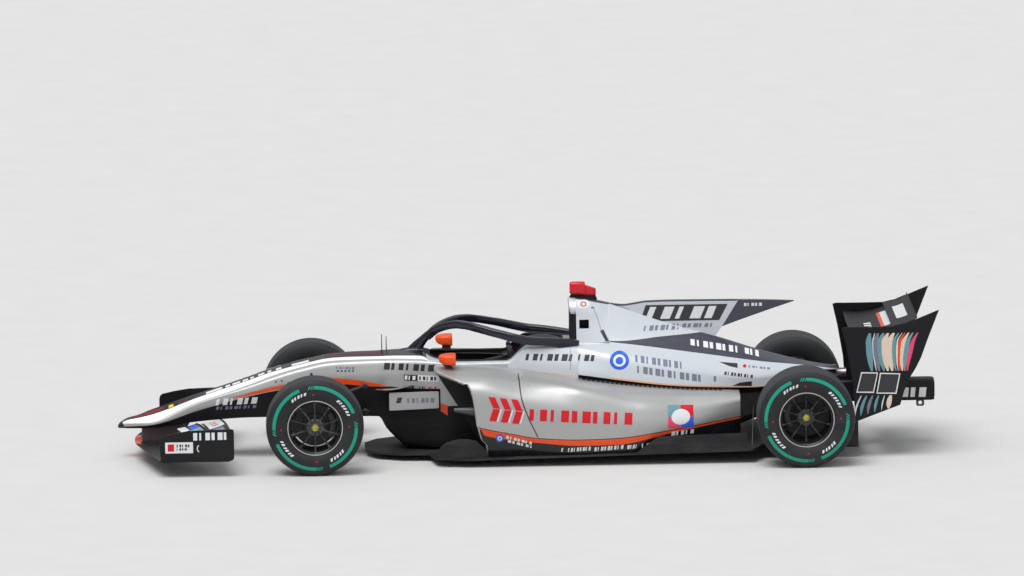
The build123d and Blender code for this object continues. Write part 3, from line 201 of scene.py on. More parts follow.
def glide(x, stations):
    """A table's columns at x: on each span a cubic whose end slopes are the harmonic means of the chords."""
    table = np.asarray(stations, float)
    xs, ys = table[:, 0], table[:, 1:]
    span = np.diff(xs)[:, None]
    chord = np.diff(ys, axis=0) / span
    before, after = chord[:-1], chord[1:]
    level = before * after <= 0
    inner = np.where(level, 0, 2 * before * after / np.where(level, 1, before + after))
    slope = np.vstack([chord[:1], inner, chord[-1:]])
    x = np.clip(np.asarray(x, float).reshape(-1), xs[0], xs[-1])
    k = np.clip(np.searchsorted(xs, x, side="right") - 1, 0, len(xs) - 2)
    t = ((x - xs[k]) / span[k, 0])[:, None]
    start = (1 + 2 * t) * (1 - t) ** 2 * ys[k] + t * (1 - t) ** 2 * span[k] * slope[k]
    end = t**2 * (3 - 2 * t) * ys[k + 1] + t**2 * (t - 1) * span[k] * slope[k + 1]
    return start + end


def rounded(corners, s, rounds):
    """Points at s on polylines (n, k, 2): straight between corners, a parabola over each corner's round."""
    count = corners.shape[1]
    row = np.arange(len(s))
    low = np.clip(np.floor(s).astype(int), 0, count - 2)
    share = (s - low)[:, None]
    straight = corners[row, low] * (1 - share) + corners[row, low + 1] * share
    near = np.clip(np.rint(s).astype(int), 1, count - 2)
    half = np.maximum(np.asarray(rounds, float)[near] / 2, 1e-6)
    at = corners[row, near]
    enter = at + (corners[row, near - 1] - at) * half[:, None]
    leave = at + (corners[row, near + 1] - at) * half[:, None]
    t = np.clip((s - near + half) / (2 * half), 0, 1)[:, None]
    bend = (1 - t) ** 2 * enter + 2 * t * (1 - t) * at + t**2 * leave
    return np.where((np.abs(s - near) < half)[:, None], bend, straight)


def sheet_of(shape, x, s):
    """A surface function at every pair of x and s, as a grid of points (rows of x, columns of s)."""
    rows, cols = np.meshgrid(x, s, indexing="ij")
    return shape(rows.ravel(), cols.ravel()).reshape(len(x), len(s), 3)


def tube(path, profile, up=(0, 0, 1), closed=False):
    """A profile (m, 2) or (n, m, 2) carried along a path, its first axis level, its second towards up."""
    path = np.asarray(path, float)
    if closed:
        tangent = unit(np.roll(path, -1, 0) - np.roll(path, 1, 0))
    else:
        tangent = unit(np.gradient(path, axis=0))
    side = unit(np.cross(tangent, up))
    top = np.cross(side, tangent)
    profile = np.broadcast_to(profile, (len(path), *np.shape(profile)[-2:]))
    rings = path[:, None] + profile[..., :1] * side[:, None] + profile[..., 1:] * top[:, None]
    if closed:
        return surface(rings, wrap_rows=True, wrap_cols=True)
    return joined([surface(rings, wrap_cols=True), fan(rings[0]), fan(rings[-1], flip=True)])


def circle(radius, count=16):
    """A round profile."""
    turn = np.linspace(0, 2 * pi, count, endpoint=False)
    return np.stack([np.cos(turn), np.sin(turn)], -1) * radius


def lens(chord, thickness, count=20):
    """A streamlined profile: thickness follows the sine of the turn, fuller ahead of its middle."""
    turn = np.linspace(0, 2 * pi, count, endpoint=False)
    along = np.cos(turn) + 0.18 * np.sin(turn) ** 2
    return np.stack([along * chord / 2, np.sin(turn) * thickness / 2], -1)


def smooth_line(points, count):
    """Points spread along a smooth line through the given ones, which are spaced by their chords."""
    points = np.asarray(points, float)
    reach = np.concatenate([[0], np.cumsum(np.linalg.norm(np.diff(points, axis=0), axis=1))])
    return glide(np.linspace(0, reach[-1], count), np.column_stack([reach, points]))


def build(name, form, body, materials, weld=True, sharp=38.0):
    """A form as a piece that rides on a body; points closer than 0.02 mm are merged."""
    mesh = bpy.data.meshes.new(name)
    faces = [face[:3] if face[3] < 0 else face for face in form.faces.tolist()]
    mesh.from_pydata((form.points * MM).tolist(), [], faces)
    mesh.polygons.foreach_set("material_index", form.paint.astype(np.int32))
    if weld:
        work = bmesh.new()
        work.from_mesh(mesh)
        bmesh.ops.remove_doubles(work, verts=work.verts, dist=0.02 * MM)
        work.to_mesh(mesh)
        work.free()
    for material in materials if isinstance(materials, (list, tuple)) else [materials]:
        mesh.materials.append(material)
    return placed(name, mesh, body, sharp)


def placed(name, mesh, body, sharp):
    """A mesh as a smooth-shaded piece of the car, riding on a body."""
    mesh.shade_smooth()
    mesh.set_sharp_from_angle(angle=radians(sharp))
    piece = bpy.data.objects.new(name, mesh)
    bpy.context.scene.collection.objects.link(piece)
    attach(piece, body)
    return piece


def slabs(name, outlines, body, material, bevel):
    """Flat pieces cut from (outline (x, z), y from, y to), joined in one mesh, their edges bevelled."""
    points, faces = [], []
    for outline, y_from, y_to in outlines:
        start, count = len(points), len(outline)
        for y in (y_from, y_to):
            points += [(x * MM, y * MM, z * MM) for x, z in outline]
        ring = list(range(start, start + count))
        faces += [ring, [k + count for k in reversed(ring)]]
        for k in range(count):
            after = (k + 1) % count
            faces.append([start + after, start + k, start + count + k, start + count + after])
    mesh = bpy.data.meshes.new(name)
    mesh.from_pydata(points, [], faces)
    work = bmesh.new()
    work.from_mesh(mesh)
    bmesh.ops.recalc_face_normals(work, faces=work.faces)
    work.to_mesh(mesh)
    work.free()
    mesh.materials.append(material)
    piece = placed(name, mesh, body, 30.0)
    soften(piece, bevel)
    return piece


def pair(outline, near, far):
    """A slab between two y on the right, and its mirror."""
    return [(outline, near, far), (outline, -far, -near)]


def soften(piece, width):
    """Rounds a piece's sharp edges."""
    bevel = piece.modifiers.new("Rounded edges", "BEVEL")
    bevel.width = width * MM
    bevel.segments = 2
    bevel.limit_method = "ANGLE"
    bevel.angle_limit = radians(30.0)
    bevel.harden_normals = True


def thicken(piece, wall):
    """Gives a thin surface its wall, on the inside."""
    solid = piece.modifiers.new("Wall", "SOLIDIFY")
    solid.thickness = wall * MM
    solid.offset = -1


def add(tree, kind, inputs=None, **settings):
    """A node with its settings and inputs; an input is a value or a socket to link from."""
    node = tree.nodes.new(kind)
    for key, value in settings.items():
        setattr(node, key, value)
    for key, value in (inputs or {}).items():
        if isinstance(value, bpy.types.NodeSocket):
            tree.links.new(value, node.inputs[key])
        else:
            node.inputs[key].default_value = value
    return node


def sums(tree, operation, first, second=0.0, third=None):
    """The output of a Math node."""
    inputs = {0: first, 1: second}
    if third is not None:
        inputs[2] = third
    return add(tree, "ShaderNodeMath", inputs, operation=operation).outputs[0]


def band(tree, value, low, high):
    """A value spread from 0 at low to 1 at high."""
    inputs = {"Value": value, "From Min": low, "From Max": high}
    return add(tree, "ShaderNodeMapRange", inputs, clamp=True).outputs[0]


def blend_colours(tree, share, first, second):
    """Two colours mixed by a share."""
    node = add(tree, "ShaderNodeMix", {0: share}, data_type="RGBA")
    for key, value in ((6, first), (7, second)):
        if isinstance(value, bpy.types.NodeSocket):
            tree.links.new(value, node.inputs[key])
        else:
            node.inputs[key].default_value = value
    return node.outputs[2]


def effect(name, inputs, outputs):
    """An empty node group with its sockets: inputs are (name, default), outputs are names."""
    group = bpy.data.node_groups.new(name, "ShaderNodeTree")
    for label, default in inputs:
        socket = group.interface.new_socket(label, in_out="INPUT", socket_type="NodeSocketFloat")
        socket.default_value = default
    for label in outputs:
        group.interface.new_socket(label, in_out="OUTPUT", socket_type="NodeSocketFloat")
    return group, group.nodes.new("NodeGroupInput"), group.nodes.new("NodeGroupOutput")


def make_flake():
    """Metal flake: small cells of random shade."""
    group, given, out = effect("Metal flake", [("Scale", 700.0)], ["Shade", "Height"])
    place = add(group, "ShaderNodeTexCoord").outputs["Object"]
    cells = add(group, "ShaderNodeTexVoronoi", {"Vector": place, "Scale": given.outputs["Scale"]})
    shade = add(group, "ShaderNodeSeparateColor", {"Color": cells.outputs["Color"]}).outputs[0]
    group.links.new(shade, out.inputs["Shade"])
    group.links.new(cells.outputs["Distance"], out.inputs["Height"])
    return group


def make_weave():
    """Twill cloth: tows cross two over, two under, and each row steps one tow along."""
    group, given, out = effect("Twill weave", [("Tows", 260.0)], ["Mask", "Height"])
    place = add(group, "ShaderNodeTexCoord").outputs["Object"]
    axes = add(group, "ShaderNodeSeparateXYZ", {"Vector": place})
    along = sums(group, "MULTIPLY_ADD", axes.outputs["Z"], 0.37, axes.outputs["X"])
    across = sums(group, "MULTIPLY_ADD", axes.outputs["Z"], 0.93, axes.outputs["Y"])
    u = sums(group, "MULTIPLY", along, given.outputs["Tows"])
    v = sums(group, "MULTIPLY", across, given.outputs["Tows"])
    step = sums(group, "ADD", sums(group, "FLOOR", u), sums(group, "FLOOR", v))
    over = sums(group, "LESS_THAN", sums(group, "FLOORED_MODULO", step, 4.0), 2.0)
    crown_u = sums(group, "SINE", sums(group, "MULTIPLY", sums(group, "FRACT", u), pi))
    crown_v = sums(group, "SINE", sums(group, "MULTIPLY", sums(group, "FRACT", v), pi))
    flipped = sums(group, "SUBTRACT", 1.0, over)
    height = sums(
        group, "ADD", sums(group, "MULTIPLY", over, crown_u), sums(group, "MULTIPLY", flipped, crown_v),
    )
    group.links.new(over, out.inputs["Mask"])
    group.links.new(height, out.inputs["Height"])
    return group


def make_grain():
    """Fine grain: two sizes of noise for colour, and pits for height."""
    group, given, out = effect("Fine grain", [("Scale", 60.0)], ["Mask", "Height"])
    place = add(group, "ShaderNodeTexCoord").outputs["Object"]
    broad = {"Vector": place, "Scale": given.outputs["Scale"], "Detail": 6.0, "Roughness": 0.6}
    mask = band(group, add(group, "ShaderNodeTexNoise", broad).outputs[0], 0.32, 0.68)
    fine = {"Vector": place, "Scale": sums(group, "MULTIPLY", given.outputs["Scale"], 9.0), "Detail": 2.0}
    height = add(group, "ShaderNodeTexNoise", fine).outputs[0]
    group.links.new(mask, out.inputs["Mask"])
    group.links.new(height, out.inputs["Height"])
    return group


def make_dust():
    """Road dust: streaky noise, thicker towards the ground."""
    group, given, out = effect("Road dust", [("Amount", 0.3), ("Scale", 5.0)], ["Mask"])
    place = add(group, "ShaderNodeTexCoord").outputs["Object"]
    stretched = add(group, "ShaderNodeMapping", {"Vector": place, "Scale": (0.5, 1.0, 2.2)}).outputs[0]
    streaks = {"Vector": stretched, "Scale": given.outputs["Scale"], "Detail": 8.0, "Roughness": 0.68}
    noise = band(group, add(group, "ShaderNodeTexNoise", streaks).outputs[0], 0.42, 0.78)
    height = add(group, "ShaderNodeSeparateXYZ", {"Vector": place}).outputs["Z"]
    low = sums(group, "MULTIPLY_ADD", band(group, height, 0.55, 0.02), 0.8, 0.2)
    mask = sums(group, "MULTIPLY", sums(group, "MULTIPLY", noise, low), given.outputs["Amount"])
    group.links.new(mask, out.inputs["Mask"])
    return group


def make_wear():
    """Edge wear: sharp edges, broken up by noise."""
    group, given, out = effect("Edge wear", [("Amount", 0.5), ("Scale", 40.0)], ["Mask"])
    place = add(group, "ShaderNodeTexCoord").outputs["Object"]
    edge = band(group, add(group, "ShaderNodeNewGeometry").outputs["Pointiness"], 0.515, 0.56)
    chips = {"Vector": place, "Scale": given.outputs["Scale"], "Detail": 5.0}
    noise = band(group, add(group, "ShaderNodeTexNoise", chips).outputs[0], 0.45, 0.62)
    mask = sums(group, "MULTIPLY", sums(group, "MULTIPLY", edge, noise), given.outputs["Amount"])
    group.links.new(mask, out.inputs["Mask"])
    return group


EFFECTS = {
    "flake": ("Metal flake", make_flake),
    "weave": ("Twill weave", make_weave),
    "grain": ("Fine grain", make_grain),
    "dust": ("Road dust", make_dust),
    "wear": ("Edge wear", make_wear),
}


def effect_node(tree, name, **values):
    """One of the shared effects, placed in a material with its own values."""
    label, make = EFFECTS[name]
    group = bpy.data.node_groups.get(label) or make()
    node = add(tree, "ShaderNodeGroup", node_tree=group)
    for key, value in values.items():
        node.inputs[key].default_value = value
    return node


def rgb(colour, gain=1.0):
    """A linear colour with its alpha, brightened by a gain."""
    return (*(min(1.0, c * gain) for c in colour[:3]), 1.0)


DUST_COLOUR = (0.22, 0.2, 0.175)


def finish(
    name,
    colour,
    roughness=0.4,
    metallic=0.0,
    coat=0.0,
    coat_roughness=0.04,
    vary=0.05,
    second=None,
    texture="grain",
    scale=60.0,
    bump=0.08,
    depth=0.2,
    dust=0.25,
    wear=0.0,
    worn=(0.5, 0.5, 0.5),
    rough_vary=0.08,
    specular=0.5,
):
    """A material: two shades mixed by a shared texture, then dust and worn edges, with the texture's bump."""
    ready = bpy.data.materials.get(name)
    if ready:
        return ready
    material = bpy.data.materials.new(name)
    material.use_nodes = True
    tree = material.node_tree
    shader = tree.nodes["Principled BSDF"]
    shader.inputs["Metallic"].default_value = metallic
    shader.inputs["Specular IOR Level"].default_value = specular
    shader.inputs["Coat Weight"].default_value = coat
    shader.inputs["Coat Roughness"].default_value = coat_roughness
    key = {"flake": "Scale", "weave": "Tows", "grain": "Scale"}[texture]
    pattern = effect_node(tree, texture, **{key: scale})
    mask = pattern.outputs[0]
    light = rgb(second) if second else rgb(colour, 1 + vary)
    shade = blend_colours(tree, mask, rgb(colour, 1 - vary if not second else 1), light)
    rough = sums(tree, "MULTIPLY_ADD", mask, rough_vary, roughness - rough_vary / 2)
    if dust:
        mask = effect_node(tree, "dust", Amount=dust).outputs["Mask"]
        shade = blend_colours(tree, mask, shade, rgb(DUST_COLOUR))
        rough = sums(tree, "ADD", rough, sums(tree, "MULTIPLY", mask, 0.4))
    if wear:
        mask = effect_node(tree, "wear", Amount=wear).outputs["Mask"]
        shade = blend_colours(tree, mask, shade, rgb(worn))
    tree.links.new(shade, shader.inputs["Base Color"])
    tree.links.new(rough, shader.inputs["Roughness"])
    if bump:
        inputs = {"Strength": bump, "Distance": depth * MM, "Height": pattern.outputs["Height"]}
        tree.links.new(add(tree, "ShaderNodeBump", inputs).outputs[0], shader.inputs["Normal"])
    return material


def paints():
    """The colours that the car's owner may change."""
    return bpy.context.scene.racing_paint


LOOKS = {
    "silver": dict(
        name="Silver body paint", colour="body", roughness=0.43, metallic=0.55, coat=0.2,
        coat_roughness=0.12, vary=0.14, texture="flake", scale=900.0, bump=0.05, depth=0.05, dust=0.12,
    ),
    # Pearl white in the upper body's colour: a bluish grey with the blue of sky-lit shade painted in.
    "pearl": dict(
        name="Pearl white paint", colour="upper", roughness=0.3, metallic=0.12, coat=0.7, vary=0.03,
        texture="flake", scale=900.0, bump=0.03, depth=0.05, dust=0.1,
    ),
    # The nose's bevel: the same white paint made brighter, a painted highlight where the shoulder faces up to
    # the light.
    "bevel_white": dict(
        name="Bevel white", colour=(0.86, 0.87, 0.88), roughness=0.32, coat=0.5, coat_roughness=0.05,
        vary=0.02, texture="flake", scale=900.0, bump=0.02, depth=0.05, dust=0.05,
    ),
    "guard_lacquer": dict(
        name="Guard lacquer", colour=(0.008, 0.009, 0.018), roughness=0.22, coat=0.45, coat_roughness=0.03,
        vary=0.15, scale=40.0, bump=0.02, dust=0.02, specular=0.3,
    ),
    "stripe": dict(
        name="Stripe paint", colour="stripe", coat=0.25, coat_roughness=0.05, scale=30.0, bump=0.02,
        dust=0.06, specular=0.3,
    ),
    "spine": dict(
        name="Spine paint", colour="spine", roughness=0.34, coat=0.4, coat_roughness=0.05, vary=0.08,
        scale=30.0, bump=0.02, dust=0.08,
    ),
    "gloss_black": dict(
        name="Gloss black", colour=(0.006, 0.007, 0.01), roughness=0.26, coat=0.4, vary=0.2, scale=25.0,
        bump=0.02, dust=0.03, specular=0.3,
    ),
    "satin_black": dict(
        name="Satin black", colour=(0.007, 0.007, 0.009), roughness=0.5, coat_roughness=0.2, vary=0.2,
        scale=50.0, bump=0.05, dust=0.08, specular=0.22,
    ),
    "carbon": dict(
        name="Carbon laminate", colour=(0.004, 0.004, 0.005), roughness=0.42, coat=0.08, coat_roughness=0.1,
        vary=0.1, second=(0.011, 0.0115, 0.0135), texture="weave", scale=330.0, bump=0.2, depth=0.12,
        dust=0.05, specular=0.18,
    ),
    "dry_carbon": dict(
        name="Dry carbon", colour=(0.008, 0.008, 0.0095), roughness=0.55, coat_roughness=0.3, vary=0.1,
        second=(0.022, 0.022, 0.025), texture="weave", scale=330.0, bump=0.3, depth=0.15, dust=0.28,
        specular=0.25,
    ),
    "white_mark": dict(
        name="White marking", colour=(0.74, 0.75, 0.76), roughness=0.38, coat=0.3, coat_roughness=0.1,
        vary=0.03, bump=0.02, dust=0.08,
    ),
    "dark_mark": dict(
        name="Dark marking", colour=(0.014, 0.014, 0.018), roughness=0.35, coat=0.3, coat_roughness=0.1,
        vary=0.08, bump=0.02, dust=0.04,
    ),
    "red_mark": dict(
        name="Red marking", colour=(0.6, 0.004, 0.012), roughness=0.45, coat=0.1, coat_roughness=0.08,
        bump=0.02, dust=0.03, specular=0.3,
    ),
    "blue_mark": dict(
        name="Blue marking", colour=(0.02, 0.12, 0.66), roughness=0.42, coat=0.15, coat_roughness=0.08,
        vary=0.06, bump=0.02, dust=0.04, specular=0.3,
    ),
    "red_gloss": dict(
        name="Red pod plastic", colour=(0.6, 0.006, 0.016), roughness=0.36, coat=0.25, coat_roughness=0.1,
        vary=0.06, bump=0.05, dust=0.06, specular=0.35,
    ),
    "alloy": dict(
        name="Machined alloy", colour=(0.55, 0.55, 0.56), roughness=0.3, metallic=0.95, coat_roughness=0.1,
        vary=0.08, scale=80.0, bump=0.1, dust=0.2,
    ),
    "dark_alloy": dict(
        name="Dark cast alloy", colour=(0.1, 0.1, 0.105), roughness=0.5, metallic=0.8, coat_roughness=0.1,
        vary=0.15, scale=90.0, bump=0.25, dust=0.4,
    ),
    "rim_paint": dict(
        name="Matt black wheel paint", colour=(0.016, 0.0165, 0.018), roughness=0.36, metallic=0.5, coat=0.1,
        coat_roughness=0.25, vary=0.2, scale=120.0, bump=0.06, dust=0.2, wear=0.5, worn=(0.2, 0.2, 0.2),
    ),
    "brass": dict(
        name="Brass anodising", colour=(0.52, 0.46, 0.1), roughness=0.28, metallic=0.9, coat_roughness=0.1,
        vary=0.12, scale=90.0, dust=0.15,
    ),
    "disc_carbon": dict(
        name="Brake disc", colour=(0.05, 0.05, 0.052), roughness=0.55, metallic=0.2, coat_roughness=0.1,
        vary=0.25, scale=150.0, bump=0.2, dust=0.2,
    ),
    "exhaust_metal": dict(
        name="Heat tinted steel", colour=(0.30, 0.22, 0.16), roughness=0.32, metallic=1.0,
        coat_roughness=0.1, vary=0.1, second=(0.2, 0.2, 0.3), scale=14.0, bump=0.06, dust=0.1,
    ),
    "padding": dict(
        name="Padding cloth", colour=(0.02, 0.021, 0.026), roughness=0.85, coat_roughness=0.1, vary=0.2,
        second=(0.05, 0.05, 0.06), texture="weave", scale=700.0, bump=0.5, depth=0.3, dust=0.2,
    ),
    "leather": dict(
        name="Seat leather", colour=(0.03, 0.028, 0.027), roughness=0.55, coat_roughness=0.1, vary=0.25,
        scale=160.0, bump=0.35, depth=0.5, dust=0.12,
    ),
    "webbing": dict(
        name="Harness webbing", colour=(0.45, 0.02, 0.03), roughness=0.75, coat_roughness=0.1, vary=0.15,
        texture="weave", scale=900.0, bump=0.6, depth=0.3, dust=0.05,
    ),
    "plank_board": dict(
        name="Skid board", colour=(0.19, 0.12, 0.06), roughness=0.7, coat_roughness=0.1, vary=0.3,
        second=(0.07, 0.055, 0.04), scale=20.0, bump=0.3, dust=0.7,
    ),
    "soft_grip": dict(
        name="Grip rubber", colour=(0.02, 0.02, 0.022), roughness=0.7, coat_roughness=0.1, vary=0.2,
        scale=200.0, bump=0.4, dust=0.1,
    ),
    "glass_mirror": dict(
        name="Mirror glass", colour=(0.75, 0.77, 0.8), roughness=0.05, metallic=1.0, coat_roughness=0.1,
        vary=0.02, bump=0.0, dust=0.06, rough_vary=0.02,
    ),
    "lamp_red": dict(
        name="Lamp lens", colour=(0.45, 0.01, 0.012), roughness=0.12, coat=1.0, coat_roughness=0.03,
        vary=0.1, scale=90.0, bump=0.1, dust=0.1,
    ),
}


def look(key):
    """The material of one of the looks, made at its first use."""
    values = dict(LOOKS[key])
    colour = values.pop("colour")
    if isinstance(colour, str):
        colour = getattr(paints(), colour)
    return finish(colour=colour, **values)


def colour_mark(name, colour):
    """A plain printed colour."""
    return finish(name, colour, 0.42, 0.0, 0.15, 0.1, 0.05, bump=0.02, dust=0.05, specular=0.35)


def rubber(name, colour, grooves, roughness=0.62):
    """Tyre rubber: the piece's UV map holds its width and radius, and fine rings follow the radius."""
    ready = bpy.data.materials.get(name)
    if ready:
        return ready
    material = bpy.data.materials.new(name)
    material.use_nodes = True
    tree = material.node_tree
    shader = tree.nodes["Principled BSDF"]
    shader.inputs["Specular IOR Level"].default_value = 0.35
    place = add(tree, "ShaderNodeUVMap", uv_map="Section").outputs[0]
    axes = add(tree, "ShaderNodeSeparateXYZ", {"Vector": place})
    rings = sums(tree, "SINE", sums(tree, "MULTIPLY", axes.outputs["Y"], grooves))
    pattern = effect_node(tree, "grain", Scale=26.0)
    fine = effect_node(tree, "grain", Scale=240.0)
    mask = sums(tree, "MULTIPLY", pattern.outputs["Mask"], 0.7)
    mask = sums(tree, "MULTIPLY_ADD", fine.outputs["Mask"], 0.3, mask)
    shade = blend_colours(tree, mask, rgb(colour, 0.75), rgb(colour, 1.35))
    dust = effect_node(tree, "dust", Amount=0.2, Scale=7.0).outputs["Mask"]
    shade = blend_colours(tree, dust, shade, rgb((0.13, 0.13, 0.128)))
    tree.links.new(shade, shader.inputs["Base Color"])
    tree.links.new(sums(tree, "MULTIPLY_ADD", mask, 0.16, roughness), shader.inputs["Roughness"])
    height = sums(tree, "MULTIPLY_ADD", rings, 0.25, fine.outputs["Height"])
    bump = {"Strength": 0.35, "Distance": 0.4 * MM, "Height": height}
    tree.links.new(add(tree, "ShaderNodeBump", bump).outputs[0], shader.inputs["Normal"])
    return material


def map_section(piece, axle):
    """The UV map of a turned piece: width y and radius from its axle, both in millimetres."""
    mesh = piece.data
    at = np.zeros(len(mesh.vertices) * 3)
    mesh.vertices.foreach_get("co", at)
    at = at.reshape(-1, 3) / MM
    section = np.stack([at[:, 1], np.hypot(at[:, 0] - axle[0], at[:, 2] - axle[1])], -1)
    corner = np.zeros(len(mesh.loops), np.int32)
    mesh.loops.foreach_get("vertex_index", corner)
    layer = mesh.uv_layers.new(name="Section")
    layer.data.foreach_set("uv", section[corner].astype(np.float32).ravel())


# Nose and tub, behind the nose tip: crown z, then y and z of the top, shoulder, flank and belly lines.
HULL_STATIONS = [
    (0.0, 206, 9, 204, 13, 201, 13, 196, 9, 192),
    (10.0, 221, 18, 216, 25, 208, 26, 199, 20, 190),
    (24.0, 232, 24, 226, 34, 212, 36, 201, 26, 190),
    (63.0, 254, 30, 244, 48, 222, 50, 204, 38, 190),
    (131.0, 272, 36, 258, 62, 226, 66, 208, 52, 191),
    (205.5, 301, 41, 275, 76, 231, 82, 214, 66, 194),
    (527.5, 408, 60, 391, 110, 361, 118, 318, 100, 234),
    (848.5, 509, 85, 500, 151, 464, 167, 416, 140, 258),
    (976.5, 553, 90, 545, 157, 508, 177, 445, 146, 259),
    (1161.0, 603, 96, 592, 164, 564, 190, 470, 149, 259),
    (1371.5, 647, 101, 634, 171, 606, 203, 486, 150, 258),
    (1509.0, 659, 112, 640, 178, 612, 213, 487, 152, 256),
    (1668.0, 662, 130, 643, 190, 618, 230, 486, 158, 254),
    (1716.5, 664, 142, 646, 202, 619, 240, 486, 176, 180),
    (1790.0, 667, 158, 649, 216, 620, 252, 486, 194, 105),
    (1850.0, 668, 172, 650, 232, 620, 262, 486, 206, 60),
    (1934.5, 668, 200, 652, 262, 621, 286, 486, 226, 52),
    (2000.0, 645, 236, 636, 282, 619, 298, 486, 250, 53),
    (2155.5, 622, 260, 620, 302, 610, 310, 486, 292, 56),
    (2480.5, 624, 258, 622, 300, 612, 316, 500, 300, 62),
    (2580.5, 702, 248, 700, 288, 684, 324, 560, 300, 64),
    (2620.5, 724, 243, 722, 284, 702, 326, 570, 300, 65),
    (2940.0, 714, 205, 712, 252, 690, 330, 562, 300, 71),
]
HULL_ROUNDS = (0, 0.7, 0.35, 0.9, 0.3, 0)
# The lower edge of the bevel's painted highlight, a bright white band beside the nose's dark top, s by
# distance behind the nose tip.
BEVEL_HIGHLIGHT_EDGE = [(0, 1.7), (300, 1.75), (620, 1.8), (860, 1.65), (1100, 1.5), (2000, 1.5)]
OPENING_PLAN = [
    (0.0, 20), (0.02, 96), (0.06, 160), (0.14, 212), (0.3, 240), (0.72, 234), (0.9, 192), (0.97, 150),
    (1.0, 110),
]

# Sidepod, x as a share from its front to its rear: inner z, then y and z of the crease, shoulder, flank
# and skirt, then the foot's y.
POD_STATIONS = [
    (0.0, 606, 480, 606, 640, 562, 700, 495, 700, 243, 640),
    (0.154, 600, 470, 598, 632, 556, 700, 482, 702, 250, 640),
    (0.282, 582, 450, 562, 600, 520, 700, 430, 702, 190, 650),
    (0.385, 546, 520, 530, 612, 506, 700, 380, 702, 160, 670),
    (0.482, 506, 560, 498, 645, 474, 700, 330, 700, 142, 680),
    (0.667, 466, 540, 440, 640, 375, 680, 260, 672, 172, 660),
    (0.82, 434, 480, 420, 572, 345, 602, 265, 596, 203, 588),
    (1.0, 404, 400, 402, 448, 380, 458, 312, 452, 250, 440),
]
POD_ROUNDS = (0, 0.5, 0.75, 0.75, 0.25, 0)
POD_INNER_Y = 222.0
# The inlet's edge seen from the side: z falling, x behind the pod's front.
INLET_EDGE = [
    (46, 336), (150, 333), (243, 328), (277, 300), (330, 286), (396, 272), (450, 258), (495, 234), (530, 196),
    (558, 139), (580, 74), (604, 14), (612, 8),
]

# Engine cover behind the hoop, x as a share of its length: y and z of the ridge, brow, hip, side and
# sill lines.
COVER_STATIONS = [
    (0.0, 24, 946, 92, 830, 150, 712, 286, 650, 330, 500),
    (0.255, 14, 812, 68, 742, 150, 664, 285, 590, 322, 452),
    (0.495, 9, 708, 58, 672, 140, 615, 255, 522, 266, 426),
    (0.65, 9, 634, 52, 617, 125, 586, 214, 500, 224, 418),
    (0.905, 9, 538, 40, 532, 90, 522, 112, 512, 108, 502),
    (1.0, 9, 516, 38, 514, 72, 511, 84, 508, 82, 502),
]
COVER_ROUNDS = (0, 0.4, 0.9, 0.8, 0.75, 0.2)
# The dark spine on the cover: its lower edge, then its upper edge, each x and z.
SPINE_EDGE = [
    (300, 745), (490, 720), (700, 693), (1109, 632), (1368, 591), (1512, 569), (1664, 550), (1925, 514),
    (2000, 505),
]
SPINE_TOP = [(500, 723), (611, 718), (856, 734), (1050, 743), (1245, 762), (1300, 900), (2000, 1000)]


def floor_top(x):
    """Height of the floor's upper face."""
    return 44.0 + (x - FLOOR_FRONT_X) * FLOOR_SLOPE


def hull_point(x, s):
    """The right half of nose and tub: s runs 0 crown, 1 top, 2 shoulder, 3 flank, 4 belly, 5 its middle."""
    row = glide(x - NOSE_X, HULL_STATIONS)
    zero = np.zeros(len(x))
    corners = np.stack(
        [
            np.stack([zero, row[:, 0]], -1),
            row[:, 1:3],
            row[:, 3:5],
            row[:, 5:7],
            row[:, 7:9],
            np.stack([zero, row[:, 8]], -1),
        ],
        1,
    )
    return np.column_stack([x, rounded(corners, s, HULL_ROUNDS)])


def opening_half(x):
    """Half-width of the cockpit opening, nothing outside it."""
    share = (x - COCKPIT_FRONT_X) / (COCKPIT_REAR_X - COCKPIT_FRONT_X)
    inside = (share >= 0) & (share <= 1)
    return np.where(inside, glide(share, OPENING_PLAN)[:, 0], 0.0)


def opening_s(x):
    """The hull's s at the edge of the cockpit opening, found by halving."""
    low, high = np.zeros(len(x)), np.full(len(x), 1.9)
    goal = opening_half(x)
    for _ in range(26):
        middle = (low + high) / 2
        short = hull_point(x, middle)[:, 1] < goal
        low, high = np.where(short, middle, low), np.where(short, high, middle)
    return np.where(goal > 0, (low + high) / 2, 0.0)


def spread(*runs):
    """One rising list of stations: each run is (from, to, steps), its last value left to the next run."""
    parts = [np.linspace(a, b, n, endpoint=False) for a, b, n in runs]
    return np.concatenate([*parts, [runs[-1][1]]])


def nudged(edges, x):
    """Stations with the closest ones moved onto the given edges."""
    x = np.array(x)
    for edge in edges:
        x[np.argmin(np.abs(x - edge))] = edge
    return x


